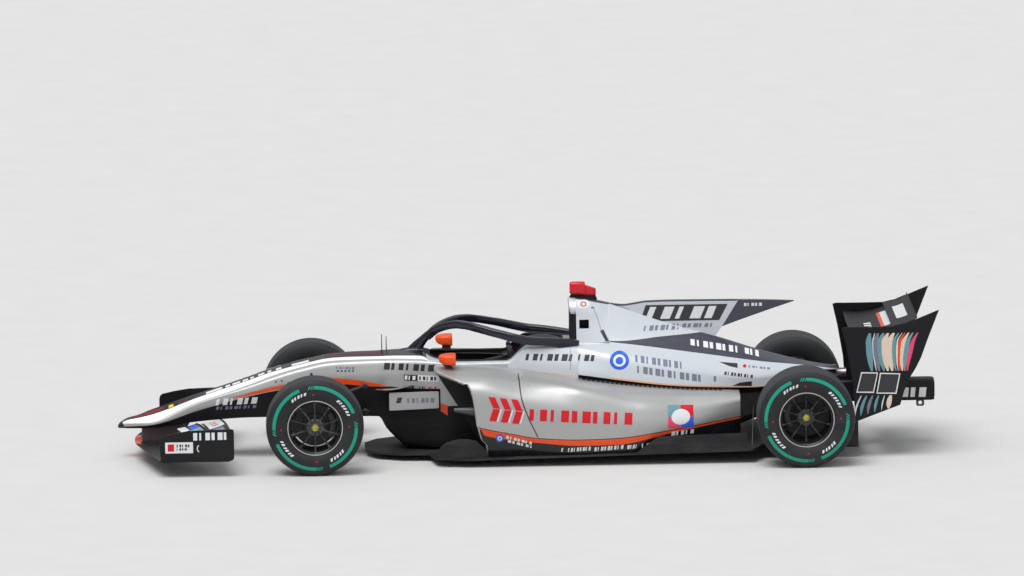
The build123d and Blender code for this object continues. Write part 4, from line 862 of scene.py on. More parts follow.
def hull():
    """Nose and tub as one skin around the cockpit's opening, with a cap on the nose."""
    x = spread(
        (NOSE_X, NOSE_X + 40, 10),
        (NOSE_X + 40, NOSE_X + 260, 22),
        (NOSE_X + 260, COCKPIT_FRONT_X, 118),
        (COCKPIT_FRONT_X, COCKPIT_FRONT_X + 90, 26),
        (COCKPIT_FRONT_X + 90, COCKPIT_REAR_X - 60, 56),
        (COCKPIT_REAR_X - 60, COCKPIT_REAR_X, 16),
        (COCKPIT_REAR_X, TUB_REAR_X, 8),
    )
    s = spread((0, 1, 10), (1, 2, 10), (2, 3, 10), (3, 4, 12), (4, 5, 4))
    start = opening_s(x)
    share = s[:20] / 2
    rows = np.repeat(x, len(s)).reshape(len(x), -1)
    cols = np.tile(s, (len(x), 1))
    cols[:, :20] = start[:, None] + (2 - start[:, None]) * share[None]
    # Where the bevel's painted highlight band ends, ahead of the cockpit.
    bevel = glide(x - NOSE_X, BEVEL_HIGHLIGHT_EDGE)
    ahead = x < COCKPIT_FRONT_X
    for k in range(1, 10):
        part = np.where(k < 5, 1 + (bevel[:, 0] - 1) * k / 5, bevel[:, 0] + (2 - bevel[:, 0]) * (k - 5) / 5)
        cols[:, 10 + k] = np.where(ahead, part, cols[:, 10 + k])
    points = hull_point(rows.ravel(), cols.ravel()).reshape(len(x), len(s), 3)
    middle_x = (x[:-1] + x[1:]) / 2 - NOSE_X
    middle_s = (cols[:-1, :-1] + cols[1:, 1:]) / 2
    zone = np.broadcast_to(np.arange(len(s) - 1), middle_s.shape)
    # Paint by zone: 1 the dark top, 4 the bevel's painted highlight, 0 the silver side, 3 the dark lower side
    # and belly.
    paint = np.select([zone < 10, zone < 15, zone < 30], [1, 4, 0], 3)
    tip = np.broadcast_to(middle_x[:, None] < 24 + 6 * middle_s, paint.shape)
    paint = np.where(tip | ((middle_x[:, None] < 60) & (middle_s < 1)), 1, paint)
    tail = (middle_x[:, None] > COCKPIT_FRONT_X - NOSE_X) & (middle_s < 2)
    paint = np.where(tail, 2, paint)
    beside = np.abs(middle_x[:, None] - 2118) < 57
    paint = np.where(beside & (middle_s < 3.36) & (middle_s > 2), 0, paint)
    paint = np.where((middle_x[:, None] > 2488) & (middle_s < 3.3), 2, paint)
    skin = surface(points, paint)
    half_ring = points[0]
    cap = fan(np.vstack([half_ring, half_ring[-1:] * (1, 0, 1)]), 1)
    return both(joined([skin, cap]))


def cockpit_edge():
    """The cockpit opening's edge on the right side, front to rear."""
    turn = np.linspace(0, 1, 60)
    share = 0.5 - 0.5 * np.cos(pi * turn)
    x = COCKPIT_FRONT_X + share * (COCKPIT_REAR_X - COCKPIT_FRONT_X)
    return hull_point(x, opening_s(x))


def cockpit_rim():
    """The opening's whole edge as a closed ring of points."""
    side = cockpit_edge()
    return np.vstack([side, side[::-1] * (1, -1, 1)])


def cockpit_lining(ring):
    """The cockpit's inner wall: from the opening's edge out under the skin and down to the floor pan."""
    levels = np.array([0.0, 0.04, 0.12, 0.3, 0.6, 1.0])
    out = np.array([0.0, 0.1, 0.4, 0.9, 1.0, 0.9])
    x, y, z = ring.T
    middle = (COCKPIT_FRONT_X + COCKPIT_REAR_X) / 2
    reach = np.minimum(30.0, 276 - np.abs(y)) * np.clip(np.abs(y) / 120, 0, 1)
    rows = []
    for level, share in zip(levels, out):
        wide = x + 14 * share * np.sign(x - middle) * (np.abs(y) < 190)
        rows.append(xyz(wide, y + np.sign(y) * reach * share, z + level * (132 - z)))
    grid = np.stack(rows)
    return joined([surface(grid, 0, wrap_cols=True), fan(grid[-1], 0)])


def pod_point(x, s):
    """The right sidepod: s runs 0 inner top, 1 crease, 2 shoulder, 3 flank, 4 skirt, 5 foot."""
    row = glide((x - POD_FRONT_X) / (POD_REAR_X - POD_FRONT_X), POD_STATIONS)
    inner = np.stack([np.full(len(x), POD_INNER_Y), row[:, 0]], -1)
    foot = np.stack([row[:, 9], floor_top(x) + 0.3], -1)
    corners = np.stack([inner, row[:, 1:3], row[:, 3:5], row[:, 5:7], row[:, 7:9], foot], 1)
    return np.column_stack([x, rounded(corners, s, POD_ROUNDS)])


def inlet_x(z):
    """The inlet edge's x at a height."""
    return POD_FRONT_X + glide(z, INLET_EDGE)[:, 0]


def pod_front(s):
    """Where the pod's skin starts at each s: on the inlet's edge, found by going back and forth."""
    x = np.full(len(s), POD_FRONT_X + 100.0)
    for _ in range(30):
        x = 0.5 * x + 0.5 * inlet_x(pod_point(x, s)[:, 2])
    return x


# The pod's orange band: x and z of its upper edge, then x and its height.
BAND_EDGE = [
    (-436, 313), (-301, 250), (-126, 213), (48, 181), (311, 166), (572, 171), (800, 196), (961, 216),
    (1374, 266),
]
BAND_WIDTH = [
    (-436, 7), (-310, 8), (-290, 43), (-126, 40), (48, 28), (311, 36), (572, 39), (961, 14), (1374, 9),
]


def s_at(shape, x, z, low, high):
    """The s where a surface reaches height z between two s, its height falling."""
    low, high = np.full(len(x), float(low)), np.full(len(x), float(high))
    for _ in range(30):
        middle = (low + high) / 2
        above = shape(x, middle)[:, 2] > z
        low, high = np.where(above, middle, low), np.where(above, high, middle)
    return (low + high) / 2


def pod():
    """The right sidepod's skin behind its inlet, silver above its band, black below; and its front edge."""
    s = spread((0, 1, 8), (1, 2, 14), (2, 3, 14), (3, 4, 14), (4, 5, 6))
    front = pod_front(s)
    share = spread((0, 0.08, 10), (0.08, 1, 84))
    x = front[None] + share[:, None] * (POD_REAR_X - front[None])
    cols = np.tile(s, (len(share), 1))
    flat = x.ravel()
    top = glide(flat, BAND_EDGE)[:, 0]
    wide = glide(flat, BAND_WIDTH)[:, 0]
    upper = s_at(pod_point, flat, top, 0.5, 4.6).reshape(x.shape)
    lower = s_at(pod_point, flat, top - wide, 0.5, 4.8).reshape(x.shape)
    line = s_at(pod_point, flat, top + 5, 0.5, 4.6).reshape(x.shape)
    for edge, col in ((line, 41), (upper, 42), (lower, 43)):
        cols[:, col] = edge[:, col]
    lead, trail = cols[:, 41:42], cols[:, 43:44]
    cols[:, 28:41] = 2 + (lead - 2) * (np.arange(13) / 13)
    cols[:, 44:] = trail + (5 - trail) * (np.arange(1, len(s) - 43) / (len(s) - 44))
    points = pod_point(flat, cols.ravel()).reshape(*x.shape, 3)
    zones = np.arange(len(s) - 1)
    paint = np.select([zones < 41, zones < 42, zones < 43], [0, 1, 2], 1)
    skin = surface(points, np.tile(paint, (len(share) - 1, 1)))
    tail = fan(points[-1], 1, flip=True)
    return joined([skin, tail]), points[0]


def pod_mouth(edge):
    """The inlet's rounded lip and the duct behind it, which narrows to the radiator and ends in dark mesh."""
    ring = edge[4:]
    inner = np.array([[POD_FRONT_X + 8, 318, ring[0, 2]], [POD_FRONT_X + 336, 318, 46.0]])
    low = np.linspace(ring[-1], inner[1], 10)[1:]
    side = np.linspace(inner[1], inner[0], 24)[1:]
    top = np.linspace(inner[0], ring[0], 8)[1:-1]
    loop = np.vstack([ring, low, side, top])
    centre = np.array([loop[:, 0].mean(), 500.0, 400.0])
    inward = unit((centre - loop) * (0, 1, 1))
    steps = []
    for turn in np.linspace(0, pi, 7):
        steps.append(loop + inward * 11 * (1 - np.cos(turn)) - np.array([1, 0, 0]) * 11 * np.sin(turn))
    deep = loop + inward * 26
    deep[:, 0] += 120
    far = loop + inward * 60
    far[:, 0] = POD_FRONT_X + 560
    grid = np.stack([*steps, deep, far])
    paint = np.zeros((len(grid) - 1, len(loop)), int)
    paint[6:] = 1
    paint[:, len(ring) - 1 :] = 1
    return joined([surface(grid, paint, wrap_cols=True), fan(far, 2)])


def cover_point(x, s):
    """The right half of the engine cover: s runs 0 middle, 1 ridge, 2 brow, 3 hip, 4 side, 5 sill."""
    row = glide((x - HOOP_REAR_X) / (COVER_REAR_X - HOOP_REAR_X), COVER_STATIONS)
    middle = np.stack([np.zeros(len(x)), row[:, 1]], -1)
    corners = np.stack([middle, row[:, 0:2], row[:, 2:4], row[:, 4:6], row[:, 6:8], row[:, 8:10]], 1)
    return np.column_stack([x, rounded(corners, s, COVER_ROUNDS)])


def deck_point(x, s):
    """The right half of the deck beside the hoop: s runs 2.4 at the hoop's foot, 3 hip, 4 side, 5 sill."""
    share = ((x - TUB_REAR_X) / (HOOP_REAR_X - TUB_REAR_X))[:, None]
    front = np.array([(0, 714), (205, 712), (252, 690), (330, 532), (300, 360)], float)
    rear = np.array([(0, 712), (150, 712), (286, 650), (330, 500), (300, 360)], float)
    corners = front[None] * (1 - share[..., None]) + rear[None] * share[..., None]
    return np.column_stack([x, rounded(corners, s - 2.0, (0, 0.5, 0.7, 0.5, 0))])


def cover():
    """The engine cover and the deck beside the hoop: white, with a dark spine and a thin line at the sill."""
    x = spread((HOOP_REAR_X, COVER_REAR_X, 110))
    edge = s_at(cover_point, x, glide(x, SPINE_EDGE)[:, 0], 0.5, 4.0)[:, None]
    top = np.minimum(s_at(cover_point, x, glide(x, SPINE_TOP)[:, 0], 0.0, 4.0)[:, None], edge - 0.01)
    top = np.where(x[:, None] > 1290, 0.01, top)
    sill = np.full_like(edge, 4.93)
    cols = np.hstack(
        [
            top * (np.arange(10) / 10),
            top + (edge - top) * (np.arange(10) / 10),
            edge + (sill - edge) * (np.arange(24) / 24),
            sill + (5 - sill) * (np.arange(3) / 2),
        ]
    )
    count = cols.shape[1]
    points = cover_point(np.repeat(x, count), cols.ravel()).reshape(len(x), count, 3)
    zone = np.arange(count - 1)
    paint = np.select([zone < 10, zone < 20, zone < 44], [0, 1, 0], 2)
    paint = np.tile(paint, (len(x) - 1, 1))
    paint[(x[:-1] < 650)[:, None] & (zone < 3)[None]] = 1
    deck_x = spread((TUB_REAR_X, HOOP_REAR_X, 14))
    deck_s = spread((2.0, 3, 6), (3, 4, 10), (4, 5, 10))
    deck = sheet_of(deck_point, deck_x, deck_s)
    skin = joined([surface(points, paint), surface(deck, 0)])
    return both(skin)


# The top of the fin, x and z.
FIN_TOP = [
    (520, 948), (543, 946), (581, 940), (622, 937), (697, 946), (774, 957), (895, 960), (1305, 958),
    (1504, 953), (1722, 944),
]


def fin():
    """The cover's fin: white ahead of a slanted line, dark behind, 10 mm thick with rounded edges."""
    root_x, tip_x = REAR_AXLE_X - 498.5, REAR_AXLE_X - 27
    lean = 0.62
    start = spread((HOOP_REAR_X - 8, root_x, 70), (root_x, tip_x - 116, 30))
    share = np.concatenate([[0, 0.02, 0.045], np.linspace(0.09, 1, 12)])
    tall = 940.0 - np.where(start < root_x, 650.0, 762 + (start - root_x) / (tip_x - 116 - root_x) * 172)
    drop = tall[:, None] * share[None]
    slant = np.clip((start[:, None] - 700) / 300, 0, 1) * lean
    x = start[:, None] + slant * (190 - drop)
    x = np.minimum(x, tip_x)
    upper = glide(x.ravel(), FIN_TOP)[:, 0].reshape(x.shape)
    z = upper - drop
    half = 5.0 * np.minimum(1, np.sqrt(np.clip(drop / 7, 0, 1)))
    grid = xyz(x, half, z)
    paint = np.where(start[:-1, None] > root_x - 5, 1, 0)
    paint = np.where((share[None, :-1] < 0.04) & (start[:-1, None] > 0), 1, paint)
    return both(surface(grid, paint))


class Wheel(NamedTuple):
    """A wheel's place: name, axle (x, z), side (-1 driver's left), tyre width, and its hub's recess."""

    name: str
    axle: tuple
    side: int
    width: float
    recess: float

    @property
    def body(self):
        return f"wheel_{self.name}"

    @property
    def hub_end(self):
        return HUB_END_Y[self.name.split("_")[0]]


def wheels():
    """The four wheels."""
    front, rear = (FRONT_AXLE_X, TYRE_RADIUS), (REAR_AXLE_X, TYRE_RADIUS)
    return [
        Wheel("front_left", front, -1, FRONT_TYRE_WIDTH, 45.0),
        Wheel("front_right", front, 1, FRONT_TYRE_WIDTH, 45.0),
        Wheel("rear_left", rear, -1, REAR_TYRE_WIDTH, 125.0),
        Wheel("rear_right", rear, 1, REAR_TYRE_WIDTH, 125.0),
    ]


# The tyre's outer wall: y in from its widest point, radius from its tread.
TYRE_WALL = [
    (31, 145), (26, 141), (21, 137), (15, 134), (10, 128), (9, 122), (6, 116), (3, 104), (0.6, 90), (0, 76),
    (1, 60), (3.5, 46), (7, 35), (11, 26), (16, 18), (22, 11.5), (30, 6.5), (40, 3.6), (54, 2.4),
]


def on_wheel(wheel, profile, closed=False, count=128, paint=0):
    """A profile (y in from the widest point, radius) turned round the wheel's axle, its faces outward."""
    profile = np.asarray(profile, float)
    points = np.column_stack([HALF_WIDTH - profile[:, 0], profile[:, 1]])
    turn = np.linspace(0, 2 * pi, count, endpoint=False)
    y, radius = points[:, :1], points[:, 1:]
    grid = xyz(wheel.axle[0] + radius * np.cos(turn), y, wheel.axle[1] + radius * np.sin(turn))
    return on_side(surface(grid, paint, wrap_rows=closed, wrap_cols=True), wheel.side)


def tyre(wheel):
    """The tyre: rim protector, bulged walls, rounded shoulders and a slightly domed tread with no grooves."""
    wall = np.array([(inset, TYRE_RADIUS - drop) for inset, drop in TYRE_WALL])
    tread_y = np.linspace(62, wheel.width / 2, 8)
    tread = np.column_stack(
        [tread_y, TYRE_RADIUS - 2.0 * ((wheel.width / 2 - tread_y) / (wheel.width / 2)) ** 2]
    )
    half = np.vstack([wall, tread])
    rest = half[-2::-1] * (-1, 1) + (wheel.width, 0)
    whole = np.vstack([half, rest])
    paint = np.zeros(len(whole) - 1, int)
    paint[16 : len(whole) - 17] = 1
    return turned(on_wheel(wheel, whole, paint=paint[:, None]))


def wall_patch(wheel, inner, outer, start, end, slant, paint, steps=None):
    """A mark on the tyre's outer wall between two radii and two angles in degrees, leaning by a slant."""
    table = sorted((TYRE_RADIUS - drop, inset) for inset, drop in TYRE_WALL)
    radius = np.linspace(inner, outer, 5)
    steps = steps or max(2, int(abs(end - start) / 2.5) + 1)
    turn = np.radians(np.linspace(start, end, steps))
    inset = glide(radius, table)[:, 0] - 0.35
    lean = np.radians(slant) * (radius - inner) / (outer - inner)
    angle = turn[None] + lean[:, None]
    grid = xyz(
        wheel.axle[0] + radius[:, None] * np.cos(angle), (HALF_WIDTH - inset)[:, None],
        wheel.axle[1] + radius[:, None] * np.sin(angle),
    )
    form = surface(grid, paint, flip=start > end)
    return turned(on_side(form, wheel.side))


def wall_marks(wheel):
    """The coloured band in four arcs, each led by three slanted dashes, and plain bars below it."""
    forms = []
    for lead in (99.0, 8.0, 280.0, 190.0):
        forms.append(wall_patch(wheel, 250, 271, lead - 9, lead - 78, 0, paint=0))
        for k in range(3):
            start = lead - 7.5 + 3.4 * k
            forms.append(wall_patch(wheel, 250, 271, start + 1.9, start, -3.0, paint=0, steps=3))
    for first, count in ((131, 5), (52, 6), (-38, 5), (-128, 6)):
        for k in range(count):
            start = first - 5.6 * k
            forms.append(
                wall_patch(wheel, 218, 236, start, start - 3.6 + 0.9 * (k % 2), -2.2, paint=1, steps=3)
            )
    for angle in (92, 2, 182, 272):
        forms.append(wall_patch(wheel, 212, 219, angle + 1.6, angle - 1.6, 0, paint=2, steps=3))
    return joined(forms)


def barrel(wheel):
    """The rim's barrel with both flanges, a closed ring."""
    outer = 24.0 - 12.3
    inner = wheel.width - outer
    face = wheel.recess
    profile = [
        (outer + 12, 178), (outer + 3, 178), (outer, 175.5), (outer, 170), (outer + 3, 166.5),
        (outer + 9, 163.5), (outer + 13, 158), (face + 12, 155), (face + 34, 149), (inner - 34, 149),
        (inner - 14, 154), (inner, 158), (inner, 178), (inner - 12, 178), (inner - 12, 166),
        (outer + 12, 166),
    ]
    fine = []
    for k, (a, b) in enumerate(zip(profile, profile[1:] + profile[:1])):
        fine += [a, tuple(np.add(a, b) / 2)] if k < 12 else [a]
    form = outward(on_wheel(wheel, fine, closed=True))
    radius = np.hypot(*(form.points[:, [0, 2]] - wheel.axle).T)
    level = radius[form.faces[:, 0]]
    inset = HALF_WIDTH - np.abs(form.points[form.faces[:, 0], 1])
    paint = np.where((inset < outer + 6) & (level > 172) & (level < 177), 1, 0)
    return Form(form.points, form.faces, paint)


def spokes(wheel):
    """Ten slim spokes, wide at the hub, waisted, and forked a little where they meet the barrel."""
    share = np.linspace(0, 1, 12)
    radius = 38 + share * 120
    half_wide = 12.5 - 7.6 * np.sin(share * pi * 0.62) ** 0.7 + 5.5 * share**6
    half_deep = 11.5 - 4.0 * share
    inset = wheel.recess + 10 - 7 * share**2
    turn = np.linspace(0, 2 * pi, 12, endpoint=False)
    cosine, sine = np.cos(turn), np.sin(turn)
    shape = np.stack([np.sign(cosine) * np.abs(cosine) ** 0.6, np.sign(sine) * np.abs(sine) ** 0.6], -1)
    forms = []
    for k in range(10):
        lean = pi / 2 + 2 * pi * k / 10
        along = np.array([cos(lean), 0, sin(lean)])
        across = np.array([-sin(lean), 0, cos(lean)])
        rings = (
            radius[:, None, None] * along
            + shape[None, :, :1] * half_wide[:, None, None] * across
            + (HALF_WIDTH - inset[:, None, None] + shape[None, :, 1:] * half_deep[:, None, None]) * (0, 1, 0)
        )
        rings = rings + (wheel.axle[0], 0, wheel.axle[1])
        forms.append(capped(rings))
    form = joined(forms)
    return on_side(form, wheel.side)


def hub(wheel):
    """The wheel's boss with its ring of drive pins, and the nut's collar."""
    face = wheel.recess
    profile = [
        (face + 60, 52), (face + 8, 55), (face + 2, 54), (face, 51), (face, 40), (face + 3, 37),
        (face + 3, 31), (face - 3, 29), (face - 3, 0.5),
    ]
    forms = [turned(on_wheel(wheel, profile, count=64))]
    for k in range(10):
        lean = 2 * pi * (k + 0.5) / 10
        axle = (wheel.axle[0] + 46 * cos(lean), wheel.axle[1] + 46 * sin(lean))
        pin = Wheel(wheel.name, axle, wheel.side, wheel.width, face)
        forms.append(
            turned(
                on_wheel(pin, [(face + 4, 4.6), (face - 3, 4.6), (face - 5, 3), (face - 5, 0.3)], count=12)
            )
        )
    return joined(forms)


def nut(wheel):
    """The centre nut: six lugs round a cone, hollow in its middle."""
    face = wheel.recess
    turn = np.linspace(0, 2 * pi, 72, endpoint=False)
    radius = 23.0 + 1.1 * np.tanh(4 * np.cos(6 * turn))
    levels = [(2, 1.0), (-17, 1.0), (-21, 0.9), (-22, 0.72), (-14, 0.6), (-12, 0.05)]
    rings = [
        xyz(
            wheel.axle[0] + radius * k * np.cos(turn), HALF_WIDTH - face - inset,
            wheel.axle[1] + radius * k * np.sin(turn),
        )
        for inset, k in levels
    ]
    form = surface(np.stack(rings), 0, wrap_cols=True, flip=True)
    return on_side(form, wheel.side)


def brake(wheel):
    """The brake disc behind the spokes, grooved round its rim, and its bell."""
    outer = HALF_WIDTH - wheel.hub_end - 14.0 - 28.0
    profile = [
        (outer + 28, 60), (outer + 28, 134), (outer + 20, 135), (outer + 19, 131), (outer + 9, 131),
        (outer + 8, 135), (outer, 134), (outer, 78), (outer - 12, 74), (outer - 14, 52), (outer - 14, 30),
    ]
    return turned(on_wheel(wheel, profile, count=96))


# Head guard: x behind the pillar's foot, y, z, half-width and half-height of the tube's fairing.
GUARD_ROUTE = [
    (138, 4, 746, 20, 26),
    (165, 12, 771, 22, 26),
    (192, 25, 792, 24, 25),
    (240, 55, 816, 26, 26),
    (297, 92, 833, 27, 26),
    (340, 127, 839, 28, 26),
    (390, 168, 837, 28, 25),
    (456, 213, 825, 28, 25),
    (564, 262, 800, 28, 25),
    (604, 275, 791, 28, 26),
    (690, 292, 769, 28, 27),
    (800, 288, 748, 29, 27),
    (924, 257, 740, 30, 24),
    (1037, 222, 729, 30, 20),
    (1092, 203, 721, 29, 17),
]
# Height inside the deck that the wedges under its rear ends reach down to.
GUARD_SEAT_Z = 684
# Pillar: outer edge x behind its foot and z, then the inner edge.
GUARD_PILLAR = [
    (-24, 640, 108, 640),
    (11, 679, 110, 668),
    (48, 713, 124, 698),
    (90, 747, 145, 725),
    (131, 781, 171, 747),
    (168, 803, 194, 768),
    (190, 817, 212, 779),
]


def round_box(count, power=0.72):
    """A round profile squared off a little."""
    turn = np.linspace(0, 2 * pi, count, endpoint=False)
    cosine, sine = np.cos(turn), np.sin(turn)
    return np.stack([np.sign(cosine) * np.abs(cosine) ** power, np.sign(sine) * np.abs(sine) ** power], -1)


def guard():
    """The head guard: a flattened tube round the cockpit that swells to its rear feet, and its pillar."""
    route = np.array(GUARD_ROUTE, float)
    side = smooth_line(route, 72)
    path = side[:, :3] + (GUARD_FOOT_X, 0, 0)
    profile = round_box(28, 0.5)[None] * side[:, None, 3:]
    hoop = both(outward(tube(path, profile)))
    edges = smooth_line(np.array(GUARD_PILLAR, float), 36)
    outer = xyz(edges[:, 0], 0, edges[:, 1]) + (GUARD_FOOT_X, 0, 0)
    inner = xyz(edges[:, 2], 0, edges[:, 3]) + (GUARD_FOOT_X, 0, 0)
    turn = np.linspace(0, 2 * pi, 24, endpoint=False)
    middle, reach = (outer + inner) / 2, (inner - outer) / 2
    thick = 17 + 7 * np.linspace(1, 0, 36) ** 3 + 22 * np.linspace(0, 1, 36) ** 4
    section = (np.sign(np.cos(turn)) * np.abs(np.cos(turn)) ** 0.8)[:, None]
    deep = np.sin(turn)[:, None] * thick[:, None, None] * (0, 1, 0)
    rings = middle[:, None] + section * reach[:, None] + deep
    pillar = capped(rings)
    return joined([hoop, pillar])


def guard_feet():
    """Bolted brackets where the guard meets the tub: a plinth at the pillar and a wedge at each rear foot."""
    x = np.linspace(GUARD_FOOT_X - 46, GUARD_FOOT_X + 150, 24)
    share = np.linspace(0, 1, 24)
    wide = 40 - 8 * share
    high = 664 + 16 * np.sin(share * pi) ** 0.6
    turn = np.linspace(0, pi, 14)
    rings = xyz(
        x[:, None], -np.cos(turn)[None] * wide[:, None],
        640 + (high - 640)[:, None] * np.sin(turn)[None] ** 0.5,
    )
    plinth = outward(joined([surface(rings, flip=True), fan(rings[0], flip=True), fan(rings[-1])]))
    arm = smooth_line(np.array(GUARD_ROUTE[-3:], float), 24) + (GUARD_FOOT_X, 0, 0, 0, 0)
    deep = (arm[:, 2] - GUARD_SEAT_Z) * np.sin(np.clip(np.linspace(0, 2.4, 24), 0.02, 1) * pi / 2) / 2
    across, up = round_box(24, 0.4).T
    rings = xyz(
        arm[:, :1], arm[:, 1:2] + across[None] * arm[:, 3:4] * 0.7,
        arm[:, 2:3] - deep[:, None] + up[None] * deep[:, None],
    )
    wedge = capped(rings)
    return joined([plinth, both(wedge)])


# Roll hoop: x, then roof z, roof edge y, z, shoulder y, z, waist y, z, foot y, z.
HOOP_STATIONS = [
    (0.0, 986, 52, 986, 92, 926, 105, 850, 150, 712),
    (0.28, 982, 52, 979, 88, 912, 104, 846, 150, 712),
    (0.62, 967, 44, 962, 78, 902, 98, 838, 150, 712),
    (1.0, 949, 24, 946, 62, 880, 92, 830, 150, 712),
]


def hoop_point(x, s):
    """The right half of the roll hoop: s runs 0 roof, 1 roof's edge, 2 shoulder, 3 waist, 4 foot."""
    row = glide((x - TUB_REAR_X) / (HOOP_REAR_X - TUB_REAR_X), HOOP_STATIONS)
    roof = np.stack([np.zeros(len(x)), row[:, 0]], -1)
    corners = np.stack([roof, row[:, 1:3], row[:, 3:5], row[:, 5:7], row[:, 7:9]], 1)
    return np.column_stack([x, rounded(corners, s, (0, 0.5, 0.8, 0.8, 0))])


def roll_hoop():
    """The roll hoop's white shell with a window through each side, and its dark roof strip."""
    x = nudged((TUB_REAR_X + 17, TUB_REAR_X + 79), spread((TUB_REAR_X - 2, HOOP_REAR_X + 6, 42)))
    s = spread((0, 0.7, 6), (0.7, 2, 10), (2, 3, 8), (3, 3.4, 6), (3.4, 4, 8))
    cols = np.tile(s, (len(x), 1))
    top = s_at(hoop_point, x, np.full(len(x), 853.0), 2.0, 4.0)
    low = s_at(hoop_point, x, np.full(len(x), 799.0), 2.0, 4.0)
    cols[:, 16:25] = 2 + (top[:, None] - 2) * (np.arange(9) / 8)
    cols[:, 24:31] = top[:, None] + (low - top)[:, None] * (np.arange(7) / 6)
    cols[:, 30:] = low[:, None] + (4 - low[:, None]) * (np.arange(9) / 8)
    grid = hoop_point(np.repeat(x, len(s)), cols.ravel()).reshape(len(x), len(s), 3)
    zones = np.arange(len(s) - 1)
    middle = (x[:-1] + x[1:]) / 2
    hole = (np.abs(middle - TUB_REAR_X - 48) < 31)[:, None] & ((zones >= 24) & (zones < 30))[None]
    paint = np.where(zones[None] < 9, 1, 0) + np.zeros((len(x) - 1, 1), int)
    form = surface(grid, paint)
    keep = ~hole.ravel()
    form = Form(form.points, form.faces[keep], form.paint[keep])
    first = np.argmin(np.abs(x - TUB_REAR_X - 17))
    last = np.argmin(np.abs(x - TUB_REAR_X - 79))
    loop = np.vstack(
        [grid[first:last, 24], grid[last, 24:30], grid[last:first:-1, 30], grid[first, 30:24:-1]]
    )
    deep = loop * (1, 0.3, 1)
    wall = surface(np.stack([loop, deep]), 2, wrap_cols=True)
    pad_x = np.array([TUB_REAR_X - 44, TUB_REAR_X - 42, TUB_REAR_X - 36, TUB_REAR_X + 2])
    size = np.array([0.8, 0.86, 0.9, 0.93])[:, None, None]
    pad = sheet_of(hoop_point, pad_x, spread((1, 2, 6), (2, 3, 6), (3, 4, 10))) * (1, 0.93, 1)
    middle = np.array([[[0, 0, 830]]])
    pad[:, :, 1:] = (pad - middle)[:, :, 1:] * size + middle[:, :, 1:]
    face = np.stack([pad[0], pad[0] * (1, 0, 1)])
    dark = joined([surface(pad, 2), surface(face, 2)])
    return both(joined([form, wall, fan(deep, 2), dark]))


def intake():
    """The engine's air intake: a rounded triangular mouth with a bright lip, and its dark throat."""
    turn = np.linspace(0, 2 * pi, 48, endpoint=False)
    y = 84 * np.cos(turn) * (1 - 0.24 * np.sin(turn))
    z = 921 + 62 * np.sin(turn)
    mouth = np.stack([y, z], -1)
    centre = np.array([0, 921.0])
    lean = (z - 860) * 0.28
    rings = []
    front = TUB_REAR_X - 56
    for back, size in ((70, 1.05), (20, 1.03), (4, 1.0), (0, 0.965), (3, 0.93), (20, 0.9), (90, 0.72)):
        ring = centre + (mouth - centre) * size
        rings.append(np.column_stack([front + back - lean * 0.4 + 18, ring]))
    grid = np.stack(rings)
    paint = np.array([0, 0, 1, 1, 1, 2])[:, None] + np.zeros((1, 48), int)
    return joined([surface(grid, paint, wrap_cols=True), fan(grid[-1], 2)])


def camera_housing():
    """The camera pod: a rounded box with a wedge tail on a short dark stalk."""
    front = TUB_REAR_X - 39
    stations = [
        (0, 1012, 1074, 30), (5, 1009, 1080, 34), (16, 1007, 1084, 36), (90, 1000, 1084, 36),
        (98, 999, 1080, 35), (102, 998, 1062, 24), (130, 997, 1054, 20), (163, 996, 1042, 14),
        (168, 997, 1038, 10),
    ]
    shape = round_box(28, 0.45)
    rings = []
    for behind, low, high, wide in stations:
        ring = np.column_stack(
            [
                np.full(28, front + behind), shape[:, 0] * wide,
                (low + high) / 2 + shape[:, 1] * (high - low) / 2,
            ]
        )
        rings.append(ring)
    grid = np.stack(rings)
    pod_shell = outward(
        joined([surface(grid, 0, wrap_cols=True), fan(grid[0], 0), fan(grid[-1], 0, flip=True)])
    )
    stalk = []
    for z, long, wide in ((968, 92, 24), (984, 88, 22), (1010, 74, 18)):
        ring = circle(1, 24) * (long, wide)
        stalk.append(np.column_stack([ring[:, 0] + front + 84, ring[:, 1], np.full(24, float(z))]))
    return joined([pod_shell, outward(surface(np.stack(stalk), 1, wrap_cols=True))])


def mirror():
    """The right mirror: an orange teardrop housing, its glass set back in a dark bezel."""
    face_x = POD_FRONT_X + 139.5
    shape = round_box(36, 0.5)
    stations = [
        (0, 73, 34, 0), (-3, 75, 36, 0), (-30, 75, 36.5, 1), (-62, 70, 34, 2), (-88, 58, 28, 4),
        (-102, 42, 20, 6), (-108, 22, 10, 7), (-109, 4, 2, 7),
    ]
    rings = []
    for behind, wide, high, rise in stations:
        rings.append(
            np.column_stack(
                [np.full(36, face_x + behind), 435 + shape[:, 0] * wide, 660 + rise + shape[:, 1] * high]
            )
        )
    grid = np.stack(rings)
    shell = surface(grid, 0, wrap_cols=True)
    lip = np.stack([grid[0], grid[0] * (1, 1, 1) + (-1, 0, 0)])
    inner = (grid[0] - (face_x, 435, 660)) * (1, 0.93, 0.88) + (face_x, 435, 660)
    deep = inner - (7, 0, 0)
    bezel = surface(np.stack([lip[0], inner, deep]), 1, wrap_cols=True)
    glass = fan(deep, 2)
    housing = joined([shell, fan(grid[-1], 0), turned(joined([bezel, glass]))])
    return outward(housing)


def mirror_stay():
    """The mirror's streamlined stay from the tub, swept up and out."""
    foot_x = POD_FRONT_X + 93.5
    route = smooth_line(
        [(foot_x - 8, 276, 604), (foot_x + 2, 330, 612), (foot_x + 8, 385, 628), (foot_x + 6, 412, 640)], 16,
    )
    return outward(stay_blade(route, 56, 10))


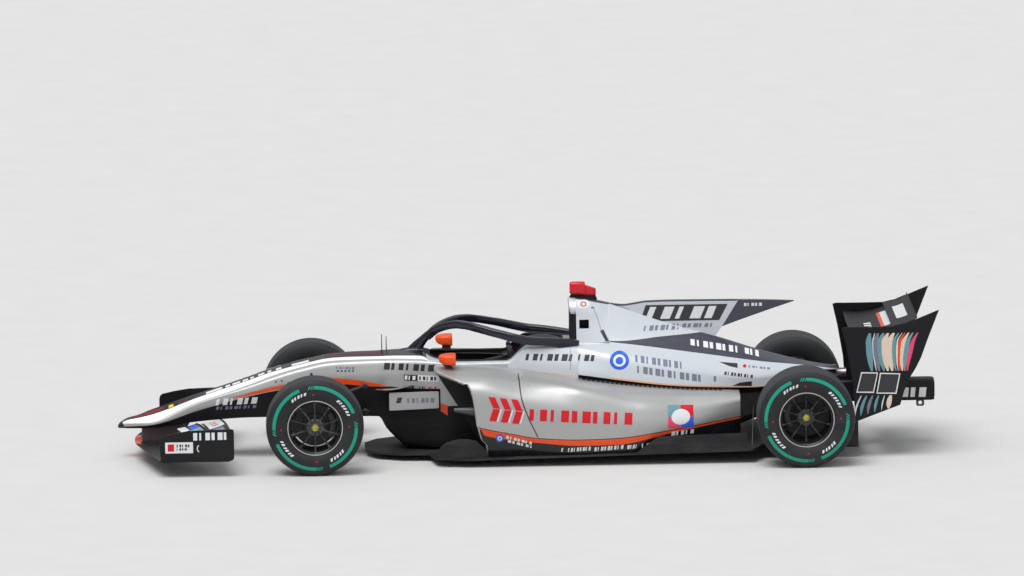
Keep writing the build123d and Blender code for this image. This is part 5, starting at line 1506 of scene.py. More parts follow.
def stay_blade(route, chord, thickness):
    """A streamlined bar along a route, its chord level along X."""
    tangent = unit(np.gradient(route, axis=0))
    along = np.array([1.0, 0, 0]) - tangent * tangent[:, :1]
    along = unit(along)
    normal = np.cross(tangent, along)
    profile = lens(chord, thickness, 20)
    rings = route[:, None] + profile[None, :, :1] * along[:, None] + profile[None, :, 1:] * normal[:, None]
    return joined([surface(rings, wrap_cols=True), fan(rings[0]), fan(rings[-1], flip=True)])


def antennas():
    """Two thin rods on the tub ahead of the cockpit, each on a small boss."""
    forms = []
    for x, y, foot, height in ((POD_FRONT_X - 322.5, -46, 658.0, 116), (POD_FRONT_X - 292.5, 30, 652.0, 98)):
        rings = []
        for z, radius in ((-8, 7), (3, 6.5), (6, 4), (9, 3.2), (height - 2, 2.4), (height, 0.8)):
            rings.append(np.column_stack([circle(radius, 14) + (x, y), np.full(14, foot + z)]))
        forms.append(outward(joined([surface(np.stack(rings), wrap_cols=True), fan(rings[-1])])))
    return joined(forms)


# Points along each face of a wing section.
SECTION_COUNT = 28


def aerofoil(lead, trail, thickness, camber):
    """A wing section between two points (x, z): thickness is a root less a quartic of the chord's share."""
    lead, trail = np.asarray(lead, float), np.asarray(trail, float)
    chord = trail - lead
    length = np.hypot(*chord)
    share = (1 - np.cos(np.linspace(0, pi, SECTION_COUNT))) / 2
    body = thickness * (
        1.48 * np.sqrt(share) - 0.63 * share - 1.76 * share**2 + 1.42 * share**3 - 0.5 * share**4
    )
    sag = -camber * length * 4 * share * (1 - share) * (1 - 0.35 * share)
    upper = np.stack([share, sag + body * 0.7], -1)
    lower = np.stack([share, sag - body * 1.3], -1)
    outline = np.vstack([upper, lower[-2:0:-1]])
    along = chord / length
    across = np.array([-along[1], along[0]])
    return lead + outline[:, :1] * chord + outline[:, 1:] * across


def wing(stations):
    """A wing through stations (y, lead, trail, thickness, camber), its ends closed."""
    rings = []
    for y, lead, trail, thickness, camber in stations:
        outline = aerofoil(lead, trail, thickness, camber)
        rings.append(xyz(outline[:, 0], y, outline[:, 1]))
    grid = np.stack(rings)
    return capped(grid)


def between(table, ys):
    """Wing stations spread from a coarse table (y, lead x, z, trail x, z, thickness, camber)."""
    rows = glide(ys, table)
    return [(y, (r[0], r[1]), (r[2], r[3]), r[4], r[5]) for y, r in zip(ys, rows)]


def front_plane():
    """The front wing's main plane across the whole span, its middle's nose in the stripe colour."""
    tip = FRONT_TIP_Y
    n = NOSE_X
    table = [
        (0, n + 106, 108, n + 398, 118, 22, 0.04),
        (150, n + 112, 108, n + 404, 118, 22, 0.04),
        (250, n + 130, 108, n + 424, 121, 22, 0.05),
        (tip * 0.66, n + 196, 108, n + 468, 136, 20, 0.055),
        (tip, n + 262, 106, n + 510, 148, 18, 0.05),
    ]
    ys = np.linspace(0, tip, 26)
    half = wing(between(table, ys))
    keep = half.points[np.maximum(half.faces, 0)].mean(1)[:, 1] > 1e-6
    half = Form(half.points, half.faces[keep], half.paint[keep])
    middle = half.points[np.maximum(half.faces, 0)].mean(1)
    paint = np.where((middle[:, 1] < 170) & (middle[:, 0] < n + 148), 1, 0)
    return both(Form(half.points, half.faces, paint))


# Front flaps, behind the nose: lead x, z, trail x, z at the root and at the tip, then how far lead and trail
# rise between them.
FRONT_FLAPS = (
    ((372, 212, 500, 246), (480, 178, 610, 238), (14, 20)),
    ((515, 240, 655, 270), (590, 250, 715, 292), (8, 16)),
)


def flap_rows(flap, ys):
    """Wing stations of one front flap on the right, arched between its root and its tip."""
    root, tip, rise = flap
    span = FRONT_TIP_Y
    table = [
        (250, NOSE_X + root[0], root[1], NOSE_X + root[2], root[3], 11, 0.05),
        (span, NOSE_X + tip[0], tip[1], NOSE_X + tip[2], tip[3], 11, 0.06),
    ]
    bowed = []
    for (y, lead, trail, thick, camber), t in zip(between(table, ys), (ys - 250) / (span - 250)):
        arch = sin(pi * t)
        bowed.append(
            (y, (lead[0], lead[1] + rise[0] * arch), (trail[0], trail[1] + rise[1] * arch), thick, camber)
        )
    return bowed


def wing_panel(rows, ahead, behind, paint):
    """A plain panel on a wing's upper face, across its stations between two shares of the chord."""
    along = (1 - np.cos(np.linspace(0, pi, SECTION_COUNT))) / 2
    share = np.linspace(ahead, behind, 8)
    sheet = []
    for y, lead, trail, thick, camber in rows:
        top = aerofoil(lead, trail, thick, camber)[:SECTION_COUNT]
        x, z = np.interp(share, along, top[:, 0]), np.interp(share, along, top[:, 1])
        sheet.append(xyz(x, y, z + 1.2))
    form = surface(np.array(sheet), paint)
    a, b, c = (form.points[form.faces[:, k]] for k in range(3))
    return form if np.cross(b - a, c - a)[:, 2].sum() > 0 else turned(form)


def front_panels():
    """Plain panels on the right front flaps."""
    low, high = FRONT_FLAPS
    forms = []
    for flap, near, far, ahead, behind, paint in (
        (low, 252, 430, 0.04, 0.42, WHITE), (low, 440, 800, 0.08, 0.9, TEAL),
        (low, 300, 430, 0.5, 0.92, BLUE), (low, 500, 760, 0.3, 0.62, WHITE),
        (high, 252, 470, 0.04, 0.1, CREAM), (high, 252, 620, 0.2, 0.92, WHITE),
        (high, 330, 360, 0.4, 0.7, RED), (high, 420, 450, 0.4, 0.7, RED), (high, 510, 540, 0.4, 0.7, RED),
        (high, 660, 800, 0.3, 0.8, GREY),
    ):
        panel = wing_panel(flap_rows(flap, np.linspace(near, far, 12)), ahead, behind, paint)
        forms.append(Form(panel.points + (0, 0, 0.25 * len(forms)), panel.faces, panel.paint))
    return joined(forms)


def front_flap(flap):
    """One front flap on the right with a small lip at its tail."""
    bowed = flap_rows(flap, np.linspace(250, FRONT_TIP_Y, 22))
    lip = []
    for y, _, (x, z), _, _ in bowed:
        lip.append([(x - 1, y, z - 2), (x + 1.5, y, z - 2), (x + 1.5, y, z + 5), (x - 1, y, z + 5)])
    return joined([wing(bowed), capped(np.array(lip))])


def endplate_front():
    """The outline of the front endplates, x and z, its corners rounded."""
    outline = [
        (272, 100), (266, 180), (267, 240), (272, 256), (288, 269), (360, 285), (455, 300), (600, 304),
        (724, 306), (734, 300), (736, 280), (736, 122), (728, 108), (700, 98),
    ]
    return [(NOSE_X + x, z) for x, z in outline]


# Rear planes: lead and trail x, z in the middle, thickness, camber, how far the lead sags there, and the
# lip at the tail.
REAR_PLANES = (
    ((TAIL_X - 560, 792), (TAIL_X - 285, 824), 30, 0.11, 6, 0),
    ((TAIL_X - 300, 842), (TAIL_X - 142, 892), 13, 0.09, 0, 12),
)


def plane_rows(plane, ys):
    """Wing stations of one rear plane."""
    lead, trail, thick, camber, sag, _ = plane
    span = PLANE_END_Y
    return [(y, (lead[0], lead[1] - sag * (1 - (y / span) ** 2) ** 2), trail, thick, camber) for y in ys]


def rear_planes():
    """The rear wing's main plane and flap between the endplates, the flap with a small lip at its tail."""
    span = PLANE_END_Y
    ys = np.linspace(-span, span, 25)
    forms = []
    for plane in REAR_PLANES:
        forms.append(wing(plane_rows(plane, ys)))
        (x, z), lip = plane[1], plane[5]
        if lip:
            edge = [
                [(x - 2, y, z - 3), (x + 2, y, z - 3), (x + 2, y, z + lip), (x - 2, y, z + lip)]
                for y in ys
            ]
            grid = np.array(edge)
            forms.append(capped(grid))
    return joined(forms)


def rear_panels():
    """Plain panels across the rear planes."""
    main, flap = REAR_PLANES
    forms = []
    for plane, half, ahead, behind, paint in (
        (main, 300, 0.74, 0.82, ORANGE), (main, 300, 0.82, 0.97, WHITE), (flap, 260, 0.28, 0.72, WHITE),
    ):
        forms.append(wing_panel(plane_rows(plane, np.linspace(-half, half, 20)), ahead, behind, paint))
    for k in range(3):
        ys = np.linspace(-250 + 90 * k, -190 + 90 * k, 6)
        forms.append(wing_panel(plane_rows(main, ys), 0.38, 0.54, WHITE))
    return joined(forms)


def beam_plane():
    """The lower beam wing on each side of the crash structure."""
    span = PLANE_END_Y
    stations = [(y, (TAIL_X - 500, 352), (TAIL_X - 290, 403), 18, 0.07) for y in np.linspace(70.3, span, 12)]
    return both(wing(stations))


REAR_PLATE = [
    (620, 836), (600, 842), (440, 841), (300, 842), (258, 842), (236, 850), (0, 945), (70, 767), (116, 642),
    (150, 574), (197, 499), (228, 420), (252, 337), (531, 234), (541, 300), (556, 500), (575, 610),
    (590, 700), (606, 770),
]


def wing_pylon():
    """The rear wing's right pylon: a swan-necked plate, thin towards its edges."""
    low = CRASH_TOP_Z
    front = [(-560, low), (-552, 520), (-540, 620), (-524, 720), (-512, 770)]
    rear = [(-330, low), (-352, 520), (-366, 620), (-356, 720), (-344, 786)]
    left = smooth_line([(x, z) for x, z in front], 24)
    right = smooth_line([(x, z) for x, z in rear], 24)
    turn = np.linspace(0, 2 * pi, 28, endpoint=False)
    section = (np.sign(np.cos(turn)) * np.abs(np.cos(turn)) ** 0.9)[:, None]
    middle, reach = (left + right) / 2, (right - left) / 2
    flat = middle[:, None] + section * reach[:, None]
    y = 48 + np.sin(turn)[None] * 5.5
    rings = xyz(flat[..., 0] + TAIL_X, y, flat[..., 1])
    return capped(rings)


def laid(shape, x, z, low, high, lift=0.7):
    """Points on a surface at given x and z, found between two s, lifted along its normal."""
    x, z = np.broadcast_arrays(np.asarray(x, float), np.asarray(z, float))
    flat = x.ravel()
    s = s_at(shape, flat, z.ravel(), low, high)
    at = shape(flat, s)
    down = shape(flat, s + 0.01) - shape(flat, s - 0.01)
    along = shape(flat + 1.0, s) - shape(flat - 1.0, s)
    normal = unit(np.cross(along, down))
    normal *= np.where(normal[:, 1:2] < 0, -1, 1)
    return (at + normal * lift).reshape(*x.shape, 3)


def on_plane(y):
    """A flat upright wall at y as a surface function: s is its height, turned over."""
    return lambda x, s: np.column_stack([x, np.full(len(x), float(y)), 2000.0 - s])


class Place(NamedTuple):
    """Where marks are laid: a surface function, the s between which it is searched, and the lift."""

    shape: object
    low: float
    high: float
    lift: float = 0.7

    def points(self, x, z):
        return laid(self.shape, x, z, self.low, self.high, self.lift)


def quad(place, corners, paint=0, tall=None):
    """A four-cornered mark (x, z): upper front, upper rear, lower rear, lower front."""
    a, b, c, d = (np.asarray(corner, float) for corner in corners)
    long = max(2, int(np.hypot(*(b - a)) / 14) + 2)
    tall = tall or max(2, int(np.hypot(*(d - a)) / 14) + 2)
    u, v = np.meshgrid(np.linspace(0, 1, long), np.linspace(0, 1, tall), indexing="ij")
    flat = (
        a * ((1 - u) * (1 - v))[..., None]
        + b * (u * (1 - v))[..., None]
        + c * (u * v)[..., None]
        + d * ((1 - u) * v)[..., None]
    )
    return surface(place.points(flat[..., 0], flat[..., 1]), paint)


def ribbon(place, upper, lower, paint=0, long=60, tall=5):
    """A mark between two smooth lines of (x, z) points."""
    top, low = smooth_line(upper, long), smooth_line(lower, long)
    v = np.linspace(0, 1, tall)[None, :, None]
    flat = top[:, None] * (1 - v) + low[:, None] * v
    return surface(place.points(flat[..., 0], flat[..., 1]), paint)


def disc(place, centre, radius, paint=0, tall=1.0, inner=0.0, count=40, first=0.0, last=2 * pi):
    """A round mark, or a ring where it has an inner radius; tall stretches its height."""
    whole = last - first > 2 * pi - 1e-6
    turn = np.linspace(first, last, count, endpoint=not whole)
    steps = np.linspace(max(inner, 0.02), 1, 5 if inner < 0.5 else 3)
    x = centre[0] + radius * steps[:, None] * np.cos(turn)
    z = centre[1] + radius * tall * steps[:, None] * np.sin(turn)
    form = surface(place.points(x, z), paint, wrap_cols=whole)
    if inner == 0:
        form = joined([form, fan(place.points(x[0], z[0]), paint, flip=True)])
    return form


# Widths of the bars in a row, in shares of a step.
BARS = (0.8, 0.42, 0.66, 0.3, 0.74, 0.52)


def row(place, start, end, height, count, paint=0, slant=0.0, shift=0):
    """A row of plain bars from start to end (x, z of its upper corners), leaning by a slant."""
    start, end = np.asarray(start, float), np.asarray(end, float)
    step = (end - start) / count
    down = np.array([-slant * height, -height])
    forms = []
    for k in range(count):
        near = start + step * k
        far = near + step * BARS[(k + shift) % len(BARS)]
        forms.append(quad(place, [near, far, far + down, near + down], paint))
    return joined(forms)


def frame_mark(place, corners, width, paint=0):
    """The outline of a four-cornered mark."""
    a, b, c, d = (np.asarray(corner, float) for corner in corners)
    middle = (a + b + c + d) / 4
    inner = [p + (middle - p) * width / np.hypot(*(middle - p)) * 1.3 for p in (a, b, c, d)]
    outer = [a, b, c, d]
    forms = []
    for k in range(4):
        j = (k + 1) % 4
        forms.append(quad(place, [outer[k], outer[j], inner[j], inner[k]], paint, tall=2))
    return joined([upright(form) for form in forms])


def upright(form):
    """A mark whose faces look away from the car's middle."""
    a, b, c = (form.points[form.faces[:, k]] for k in range(3))
    facing = np.cross(b - a, c - a)[:, 1].sum()
    return form if facing > 0 else turned(form)


# The marks' colours, numbered in the order of mark_paints().
WHITE, DARK, RED, ORANGE, BLUE, GREY, YELLOW, TEAL, CREAM, PINK, MAROON = range(11)


def mark_paints():
    """The materials of the marks."""
    return [
        look("white_mark"),
        look("dark_mark"),
        look("red_mark"),
        look("stripe"),
        look("blue_mark"),
        colour_mark("Grey marking", (0.17, 0.19, 0.25)),
        colour_mark("Yellow marking", (0.75, 0.52, 0.03)),
        colour_mark("Teal marking", (0.14, 0.3, 0.34)),
        colour_mark("Cream marking", (0.75, 0.6, 0.47)),
        colour_mark("Pink marking", (0.75, 0.06, 0.16)),
        colour_mark("Maroon marking", (0.07, 0.008, 0.014)),
    ]


def hull_marks():
    """Stripes and plain blocks on the right side of nose and tub."""
    side = Place(hull_point, 1.2, 4.6)
    raised = side._replace(lift=1.3)
    forms = [
        ribbon(
            side,
            [(-1892, 397), (-1834, 406), (-1770, 427), (-1674, 451), (-1577, 472), (-1526, 481)],
            [(-1892, 393), (-1834, 399), (-1770, 411), (-1674, 430), (-1577, 451), (-1526, 461)],
            ORANGE,
        ),
        ribbon(
            side,
            [(-1258, 518), (-1200, 514), (-1130, 508), (-1003, 489), (-940, 476), (-880, 462)],
            [(-1258, 494), (-1200, 484), (-1130, 474), (-1003, 462), (-940, 460), (-880, 459)],
            ORANGE,
        ),
        row(side, (-909, 611), (-582, 604), 42, 7, DARK, 0.15),
        quad(side, [(-787, 540), (-700, 538), (-700, 500), (-787, 502)], DARK),
        quad(side, [(-699, 538), (-564, 536), (-564, 498), (-699, 500)], WHITE),
        row(raised, (-780, 534), (-706, 532), 26, 3, WHITE, 0.1, 2),
        row(raised, (-690, 531), (-572, 529), 24, 5, DARK, 0.0, 1),
        row(side, (-788, 469), (-720, 467), 14, 4, DARK, 0.1, 3),
        row(side, (-690, 467), (-640, 466), 14, 3, DARK, 0.1, 1),
        row(side, (-632, 466), (-575, 465), 14, 3, RED, 0.1, 2),
        row(side, (-1219, 588), (-1098, 584), 14, 6, GREY, 0.0, 1),
        quad(side, [(-555, 359), (-511, 343), (-512, 277), (-556, 307)], ORANGE),
    ]
    for k in range(5):
        x = -1215 + 24 * k
        forms.append(disc(side, (x + 8, 560), 7.5, DARK, tall=0.7, count=16))
    forms.append(disc(side, (-1604, 494), 6, DARK, count=16))
    forms.append(disc(side, (-1566, 500), 6, DARK, count=16))
    forms.append(disc(side, (-1452, 502), 13, DARK, inner=0.6, count=24))
    black = Place(hull_point, 2.4, 4.9)
    forms += [
        row(black, (-1981, 385), (-1710, 398), 42, 6, WHITE, 0.25, 1),
        row(black, (-1985, 334), (-1722, 347), 20, 9, GREY, 0.25, 2),
    ]
    marks = [upright(form) for form in forms]
    for start, end, near, far, paint in (
        (-2545, -2318, 0.3, 0.92, MAROON), (-2520, -2330, 0.42, 0.5, RED), (-2500, -2340, 0.66, 0.72, RED),
        (-1290, -905, 0.3, 0.9, MAROON),
    ):
        lift = 0.6 if paint == MAROON else 1.2
        grid = sheet_of(hull_point, np.linspace(start, end, 16), np.linspace(near, far, 5)) + (0, 0, lift)
        marks.append(surface(grid, paint))
    blocks = [
        (-2290, 30), (-2225, 60), (-2050, 70), (-1985, 40), (-1925, 30), (-1880, 50), (-1815, 34),
        (-1765, 22),
    ]
    blocks += [(-1715, 40), (-1655, 24), (-1600, 34), (-1500, 110), (-1370, 14)]
    for k, (x, long) in enumerate(blocks):
        paint = YELLOW if k == 0 else (MAROON if k in (1, 12) else WHITE)
        xs = np.linspace(x, x + long, 5)
        s = np.linspace(0.45, 0.92, 4)
        grid = sheet_of(hull_point, xs, s) + (0, 0, 0.9)
        marks.append(surface(grid, paint))
    return joined(marks)


def pod_marks():
    """Plain marks on the right sidepod: chevrons and a block row in red, and pale blocks below."""
    side = Place(pod_point, 1.5, 4.9)
    forms = []
    for x, z in ((-262, 455), (-190, 446), (-118, 437)):
        forms.append(quad(side, [(x, z), (x + 44, z - 5), (x + 74, z - 78), (x + 30, z - 73)], RED))
        forms.append(
            quad(side, [(x + 30, z - 77), (x + 74, z - 82), (x + 48, z - 160), (x + 4, z - 155)], RED)
        )
        forms.append(
            quad(side, [(x + 78, z - 78), (x + 86, z - 79), (x + 60, z - 160), (x + 52, z - 159)], WHITE)
        )
    forms.append(row(side, (0, 372), (672, 330), 74, 10, RED, 0.06, 1))
    low = Place(pod_point, 2.5, 4.98)
    forms.append(disc(low, (-192, 186), 26, BLUE, count=28))
    forms.append(disc(low._replace(lift=1.3), (-192, 186), 15, WHITE, inner=0.5, count=24))
    forms.append(row(low, (-150, 204), (20, 158), 19, 7, WHITE, 0.1, 2))
    forms.append(row(low, (-140, 176), (30, 130), 17, 6, WHITE, 0.1, 4))
    for x, z, long, count, shift in (
        (200, 118, 34, 1, 3), (242, 116, 150, 8, 1), (410, 118, 190, 9, 2), (620, 126, 70, 4, 0),
        (712, 132, 60, 2, 3), (782, 140, 80, 7, 2),
    ):
        forms.append(row(low, (x, z), (x + long, z + long * 0.06), 26, count, WHITE, 0.12, shift))
    forms.append(row(low, (903, 200), (1056, 208), 26, 5, WHITE, 0.1, 0))
    seam = [(-68, 569), (-58, 459), (-14, 321), (47, 190)]
    forms.append(ribbon(Place(pod_point, 0.9, 4.9), seam, [(x + 8, z) for x, z in seam], DARK, 40, 2))
    return joined([upright(form) for form in forms])


def badge(place, corners):
    """A square badge: quarters of four colours round a white disc."""
    a, b, c, d = (np.asarray(corner, float) for corner in corners)
    ab, bc, cd, da, middle = (a + b) / 2, (b + c) / 2, (c + d) / 2, (d + a) / 2, (a + b + c + d) / 4
    over = place._replace(lift=place.lift + 0.6)
    forms = [
        quad(place, [a, ab, middle, da], TEAL),
        quad(place, [ab, b, bc, middle], RED),
        quad(place, [middle, bc, c, cd], BLUE),
        quad(place, [da, middle, cd, d], PINK),
        disc(over, middle, np.hypot(*(b - a)) * 0.36, WHITE, tall=0.8),
    ]
    return joined([upright(form) for form in forms])


def cover_marks():
    """Plain marks on the right side of cover, fin and deck."""
    side = Place(cover_point, 1.0, 4.9)
    deck = Place(deck_point, 2.5, 4.9)
    pod_deck = Place(hull_point, 1.3, 3.4)
    wall = Place(on_plane(5.0), 900, 1400)
    raised = wall._replace(lift=1.4)
    hoop = Place(hoop_point, 0.6, 3.98, 1.0)
    forms = [
        row(pod_deck, (-4, 668), (318, 655), 40, 7, DARK, 0.25, 1),
        row(deck, (330, 655), (452, 648), 38, 3, DARK, 0.25, 3),
        ribbon(
            pod_deck, [(-63, 563), (154, 554), (322, 529)], [(-63, 558), (154, 546), (322, 519)], CREAM, 40,
            2,
        ),
        ribbon(
            deck, [(325, 529), (430, 510), (529, 500)], [(325, 519), (430, 500), (529, 490)], CREAM, 20, 2,
        ),
        ribbon(
            pod_deck, [(275, 703), (275, 630), (273, 561)], [(278, 703), (278, 630), (276, 561)], GREY, 20, 2,
        ),
        disc(hoop, (370, 949), 42, WHITE, tall=0.62, count=32),
        disc(hoop._replace(lift=1.4), (370, 949), 20, RED, tall=0.8, inner=0.62, count=32),
        quad(hoop, [(473, 782), (494, 790), (529, 718), (508, 716)], DARK),
        ribbon(hoop, [(427, 934), (454, 867), (482, 774)], [(430, 934), (457, 867), (485, 774)], GREY, 24, 2),
        quad(hoop, [(418, 928), (440, 927), (440, 921), (418, 922)], DARK),
        disc(side, (588, 612), 62, BLUE, tall=0.9),
        disc(side._replace(lift=1.4), (588, 612), 40, WHITE, tall=0.9, inner=0.62),
        row(side, (690, 642), (1010, 588), 40, 9, GREY, 0.0, 1),
        row(side, (700, 579), (1128, 507), 44, 11, GREY, 0.0, 3),
        row(side, (1190, 500), (1240, 492), 34, 1, GREY, 0.0, 3),
        row(side, (1262, 524), (1450, 494), 20, 9, DARK, 0.2, 2),
        quad(side, [(1229, 579), (1347, 566), (1347, 540), (1296, 552)], DARK),
        disc(side, (1392, 549), 12, RED, tall=0.8, count=24),
        row(side, (1418, 552), (1560, 532), 12, 6, GREY, 0.0, 1),
        ribbon(
            side, [(1285, 424), (1323, 438), (1361, 451), (1435, 457)],
            [(1285, 422), (1323, 422), (1361, 421), (1435, 420)], DARK, 30, 4,
        ),
        row(wall, (548, 886), (674, 886), 34, 5, DARK, 0.2, 2),
        row(wall, (540, 822), (705, 820), 34, 7, DARK, 0.2, 0),
        quad(wall, [(770, 926), (1296, 926), (1240, 822), (735, 822)], DARK, tall=3),
        row(raised, (800, 914), (1270, 914), 78, 5, WHITE, 0.42, 1),
        row(Place(cover_point, 0.05, 3.0), (760, 800), (1190, 800), 30, 12, GREY, 0.3, 3),
        row(wall._replace(lift=1.1), (900, 804), (1222, 804), 26, 9, GREY, 0.3, 1),
        row(side, (1052, 712), (1380, 652), 34, 8, WHITE, 0.0, 2),
        row(side, (1400, 646), (1500, 622), 30, 3, WHITE, 0.0, 0),
        row(raised, (1400, 930), (1520, 930), 20, 5, WHITE, 0.0, 2),
    ]
    return joined([upright(form) for form in forms])


def rear_plate_marks():
    """A plain pattern on the right rear endplate: flowing streaks and two outlined blocks."""
    wall = Place(on_plane(WING_SPAN_Y), 900, 1900, 0.6)
    over = wall._replace(lift=1.6)
    forms = []
    streams = [
        (0.0, TEAL, 30), (0.09, WHITE, 7), (0.15, GREY, 26), (0.25, TEAL, 30), (0.34, CREAM, 30),
        (0.45, CREAM, 34), (0.55, TEAL, 18), (0.62, WHITE, 7), (0.68, ORANGE, 16), (0.76, CREAM, 22),
        (0.85, TEAL, 22), (0.96, PINK, 20),
    ]
    levels = np.array([800.0, 745.0, 680.0, 615.0, 556.0])
    for k, (share, paint, wide) in enumerate(streams):
        sway = np.array([0.05, 0.0, 0.04, 0.1, 0.2]) * sin(2.2 * share + 0.4)
        centre = TAIL_X - 450 + (350 - (800 - levels) * 0.42) * (share * 0.9 + sway)
        half = wide * np.array([0.25, 0.62, 0.7, 0.55, 0.2])
        place = wall._replace(lift=0.6 + 0.05 * k)
        forms.append(
            ribbon(place, list(zip(centre - half, levels)), list(zip(centre + half, levels)), paint, 40, 3)
        )
    tails = [
        (0.0, WHITE, 9), (0.14, TEAL, 16), (0.3, GREY, 16), (0.46, TEAL, 14), (0.62, WHITE, 6),
        (0.78, CREAM, 26),
    ]
    levels = np.array([400.0, 360.0, 320.0, 278.0])
    for k, (share, paint, wide) in enumerate(tails):
        foot = 262 + 66 * share
        heights = foot + (levels - 278) / 122 * (400 - foot)
        bend = np.array([0.0, -18.0, -30.0, -36.0]) * (1.2 - share)
        centre = TAIL_X - 500 + 240 * share + bend
        half = wide * np.array([0.3, 0.6, 0.6, 0.15])
        place = wall._replace(lift=0.6 + 0.05 * k)
        forms.append(
            ribbon(place, list(zip(centre - half, heights)), list(zip(centre + half, heights)), paint, 30, 3)
        )
    for corners in (
        [(-500, 552), (-392, 548), (-420, 416), (-532, 420)],
        [(-380, 546), (-250, 540), (-276, 408), (-404, 412)],
    ):
        corners = [(TAIL_X + x, z) for x, z in corners]
        forms.append(quad(over, corners, DARK))
        forms.append(frame_mark(over._replace(lift=2.2), corners, 8, WHITE))
    return joined([upright(form) for form in forms])


def tail_marks():
    """Plain white blocks on the crash structure's right side."""
    wall = Place(on_plane(CRASH_HALF_Y), 1400, 1800, 0.6)
    forms = [row(wall, (TAIL_X - 208, 376), (TAIL_X - 44, 374), 62, 3, WHITE, 0.1, 4)]
    return joined([upright(form) for form in forms])


def front_plate_marks():
    """Plain blocks on the right front endplate's outer face."""
    wall = Place(on_plane(FRONT_TIP_Y + 8.3), 1600, 1950, 0.6)
    over = wall._replace(lift=1.2)
    n = NOSE_X
    forms = [
        row(wall, (n + 478, 286), (n + 710, 288), 48, 6, WHITE, 0.0, 2),
        quad(wall, [(n + 300, 228), (n + 476, 228), (n + 476, 158), (n + 300, 158)], WHITE),
        quad(over, [(n + 316, 216), (n + 356, 216), (n + 356, 170), (n + 316, 170)], RED),
        row(over, (n + 372, 214), (n + 462, 214), 18, 5, DARK, 0.0, 1),
        row(over, (n + 372, 190), (n + 440, 190), 14, 4, DARK, 0.0, 3),
        disc(wall, (n + 520, 186), 20, WHITE, inner=0.72, tall=1.3, first=2.0, last=4.3),
    ]
    return joined([upright(form) for form in forms])


KINGPIN_Y = HALF_WIDTH - FRONT_TYRE_WIDTH + 40.0
# Front arms: x from the axle, y and z at the tub, z at the upright; rear arms: x, z at the gearbox and
# z at the upright.
FRONT_LEGS = [
    (-150, 200, 480, 432.5), (330, 236, 470, 432.5), (-150, 176, 300, 187.5), (330, 196, 300, 187.5),
]
REAR_LEGS = [(-240, 372, 415), (170, 395, 415), (-240, 262, 200), (170, 300, 200)]


def rod(start, end, radius):
    """A round bar between two points, its ends closed."""
    path = np.linspace(start, end, 3)
    along = unit(path[-1] - path[0])
    up = (0, 0, 1) if abs(along[2]) < 0.9 else (1, 0, 0)
    return outward(tube(path, circle(radius, 14), up=up))


def puck(centre, radius, height, axis="z", count=24):
    """A short round boss with bevelled rims, its middle at a point."""
    rings = []
    for level, size in ((-0.5, 0.85), (-0.42, 1.0), (0.42, 1.0), (0.5, 0.85)):
        flat = circle(radius * size, count)
        level = np.full(count, level * height)
        ring = {"z": (flat[:, 0], flat[:, 1], level), "y": (flat[:, 0], level, flat[:, 1]),
                "x": (level, flat[:, 0], flat[:, 1])}[axis]
        rings.append(np.stack(ring, -1) + centre)
    grid = np.stack(rings)
    return capped(grid)


def front_arms():
    """The right front wishbones, thin and streamlined, with their ball joints."""
    forms = []
    for offset, y, z, pivot_z in FRONT_LEGS:
        start = np.array([FRONT_AXLE_X, KINGPIN_Y, pivot_z])
        end = np.array([FRONT_AXLE_X + offset, y - 6, z])
        start = start + unit(end - start) * 14
        forms.append(outward(stay_blade(np.linspace(start, end, 8), 42, 13)))
    for pivot_z in (432.5, 187.5):
        forms.append(puck((FRONT_AXLE_X, KINGPIN_Y, pivot_z), 18, 14))
    return joined(forms)


def pushrod_front():
    """The right front pushrod with a clevis at each end."""
    start = np.array([FRONT_AXLE_X + 8, KINGPIN_Y - 63, 201.5])
    end = np.array([FRONT_AXLE_X - 10, 188, 545.0])
    along = unit(end - start)
    forms = [outward(stay_blade(np.linspace(start + along * 26, end - along * 34, 6), 26, 14))]
    forms.append(rod(start, start + along * 34, 8))
    forms.append(rod(end - along * 44, end, 8))
    return joined(forms)


def arm_fittings():
    """Brackets where the right front arms meet the tub, with two bolts each."""
    forms = []
    for offset, y, z, _ in FRONT_LEGS:
        x = FRONT_AXLE_X + offset
        forms.append(puck((x, y - 2, z), 17, 12, "y"))
        forms.append(puck((x - 20, y, z), 4, 8, "y", 10))
        forms.append(puck((x + 20, y, z), 4, 8, "y", 10))
    return joined(forms)


def rear_arms():
    """The right rear wishbones and the rear pushrod."""
    upright_y = HALF_WIDTH - REAR_TYRE_WIDTH + 40
    forms = []
    for offset, z, upright_z in REAR_LEGS:
        start = np.array([REAR_AXLE_X + offset, 62, z])
        end = np.array([REAR_AXLE_X + offset * 0.03, upright_y, upright_z])
        forms.append(outward(stay_blade(np.linspace(start, end, 8), 40, 13)))
    forms.append(
        outward(
            stay_blade(
                np.linspace((REAR_AXLE_X - 30, upright_y - 60, 215), (REAR_AXLE_X - 270, 108, 420), 6), 26,
                15,
            )
        )
    )
    return joined(forms)


def upright_casting():
    """The right front upright: a waisted casting and its steering arm."""
    z = np.linspace(195, 425, 24)
    share = np.linspace(-1, 1, 24)
    wide = 20 + 15 * np.abs(share) ** 1.6 + 14 * np.exp(-(share / 0.3) ** 2)
    deep = 16 + 2 * np.exp(-(share / 0.4) ** 2)
    shape = round_box(28, 0.4)
    rings = xyz(
        FRONT_AXLE_X + shape[None, :, 0] * wide[:, None], KINGPIN_Y + shape[None, :, 1] * deep[:, None],
        z[:, None],
    )
    body = capped(rings)
    arm_x = np.linspace(FRONT_AXLE_X - 112, FRONT_AXLE_X, 10)
    half = 8 + 7 * np.linspace(0, 1, 10)
    box = round_box(16, 0.4)
    arm = xyz(arm_x[:, None], KINGPIN_Y + box[None, :, 0] * half[:, None], 336 + box[None, :, 1] * 6)
    return joined([body, capped(arm)])


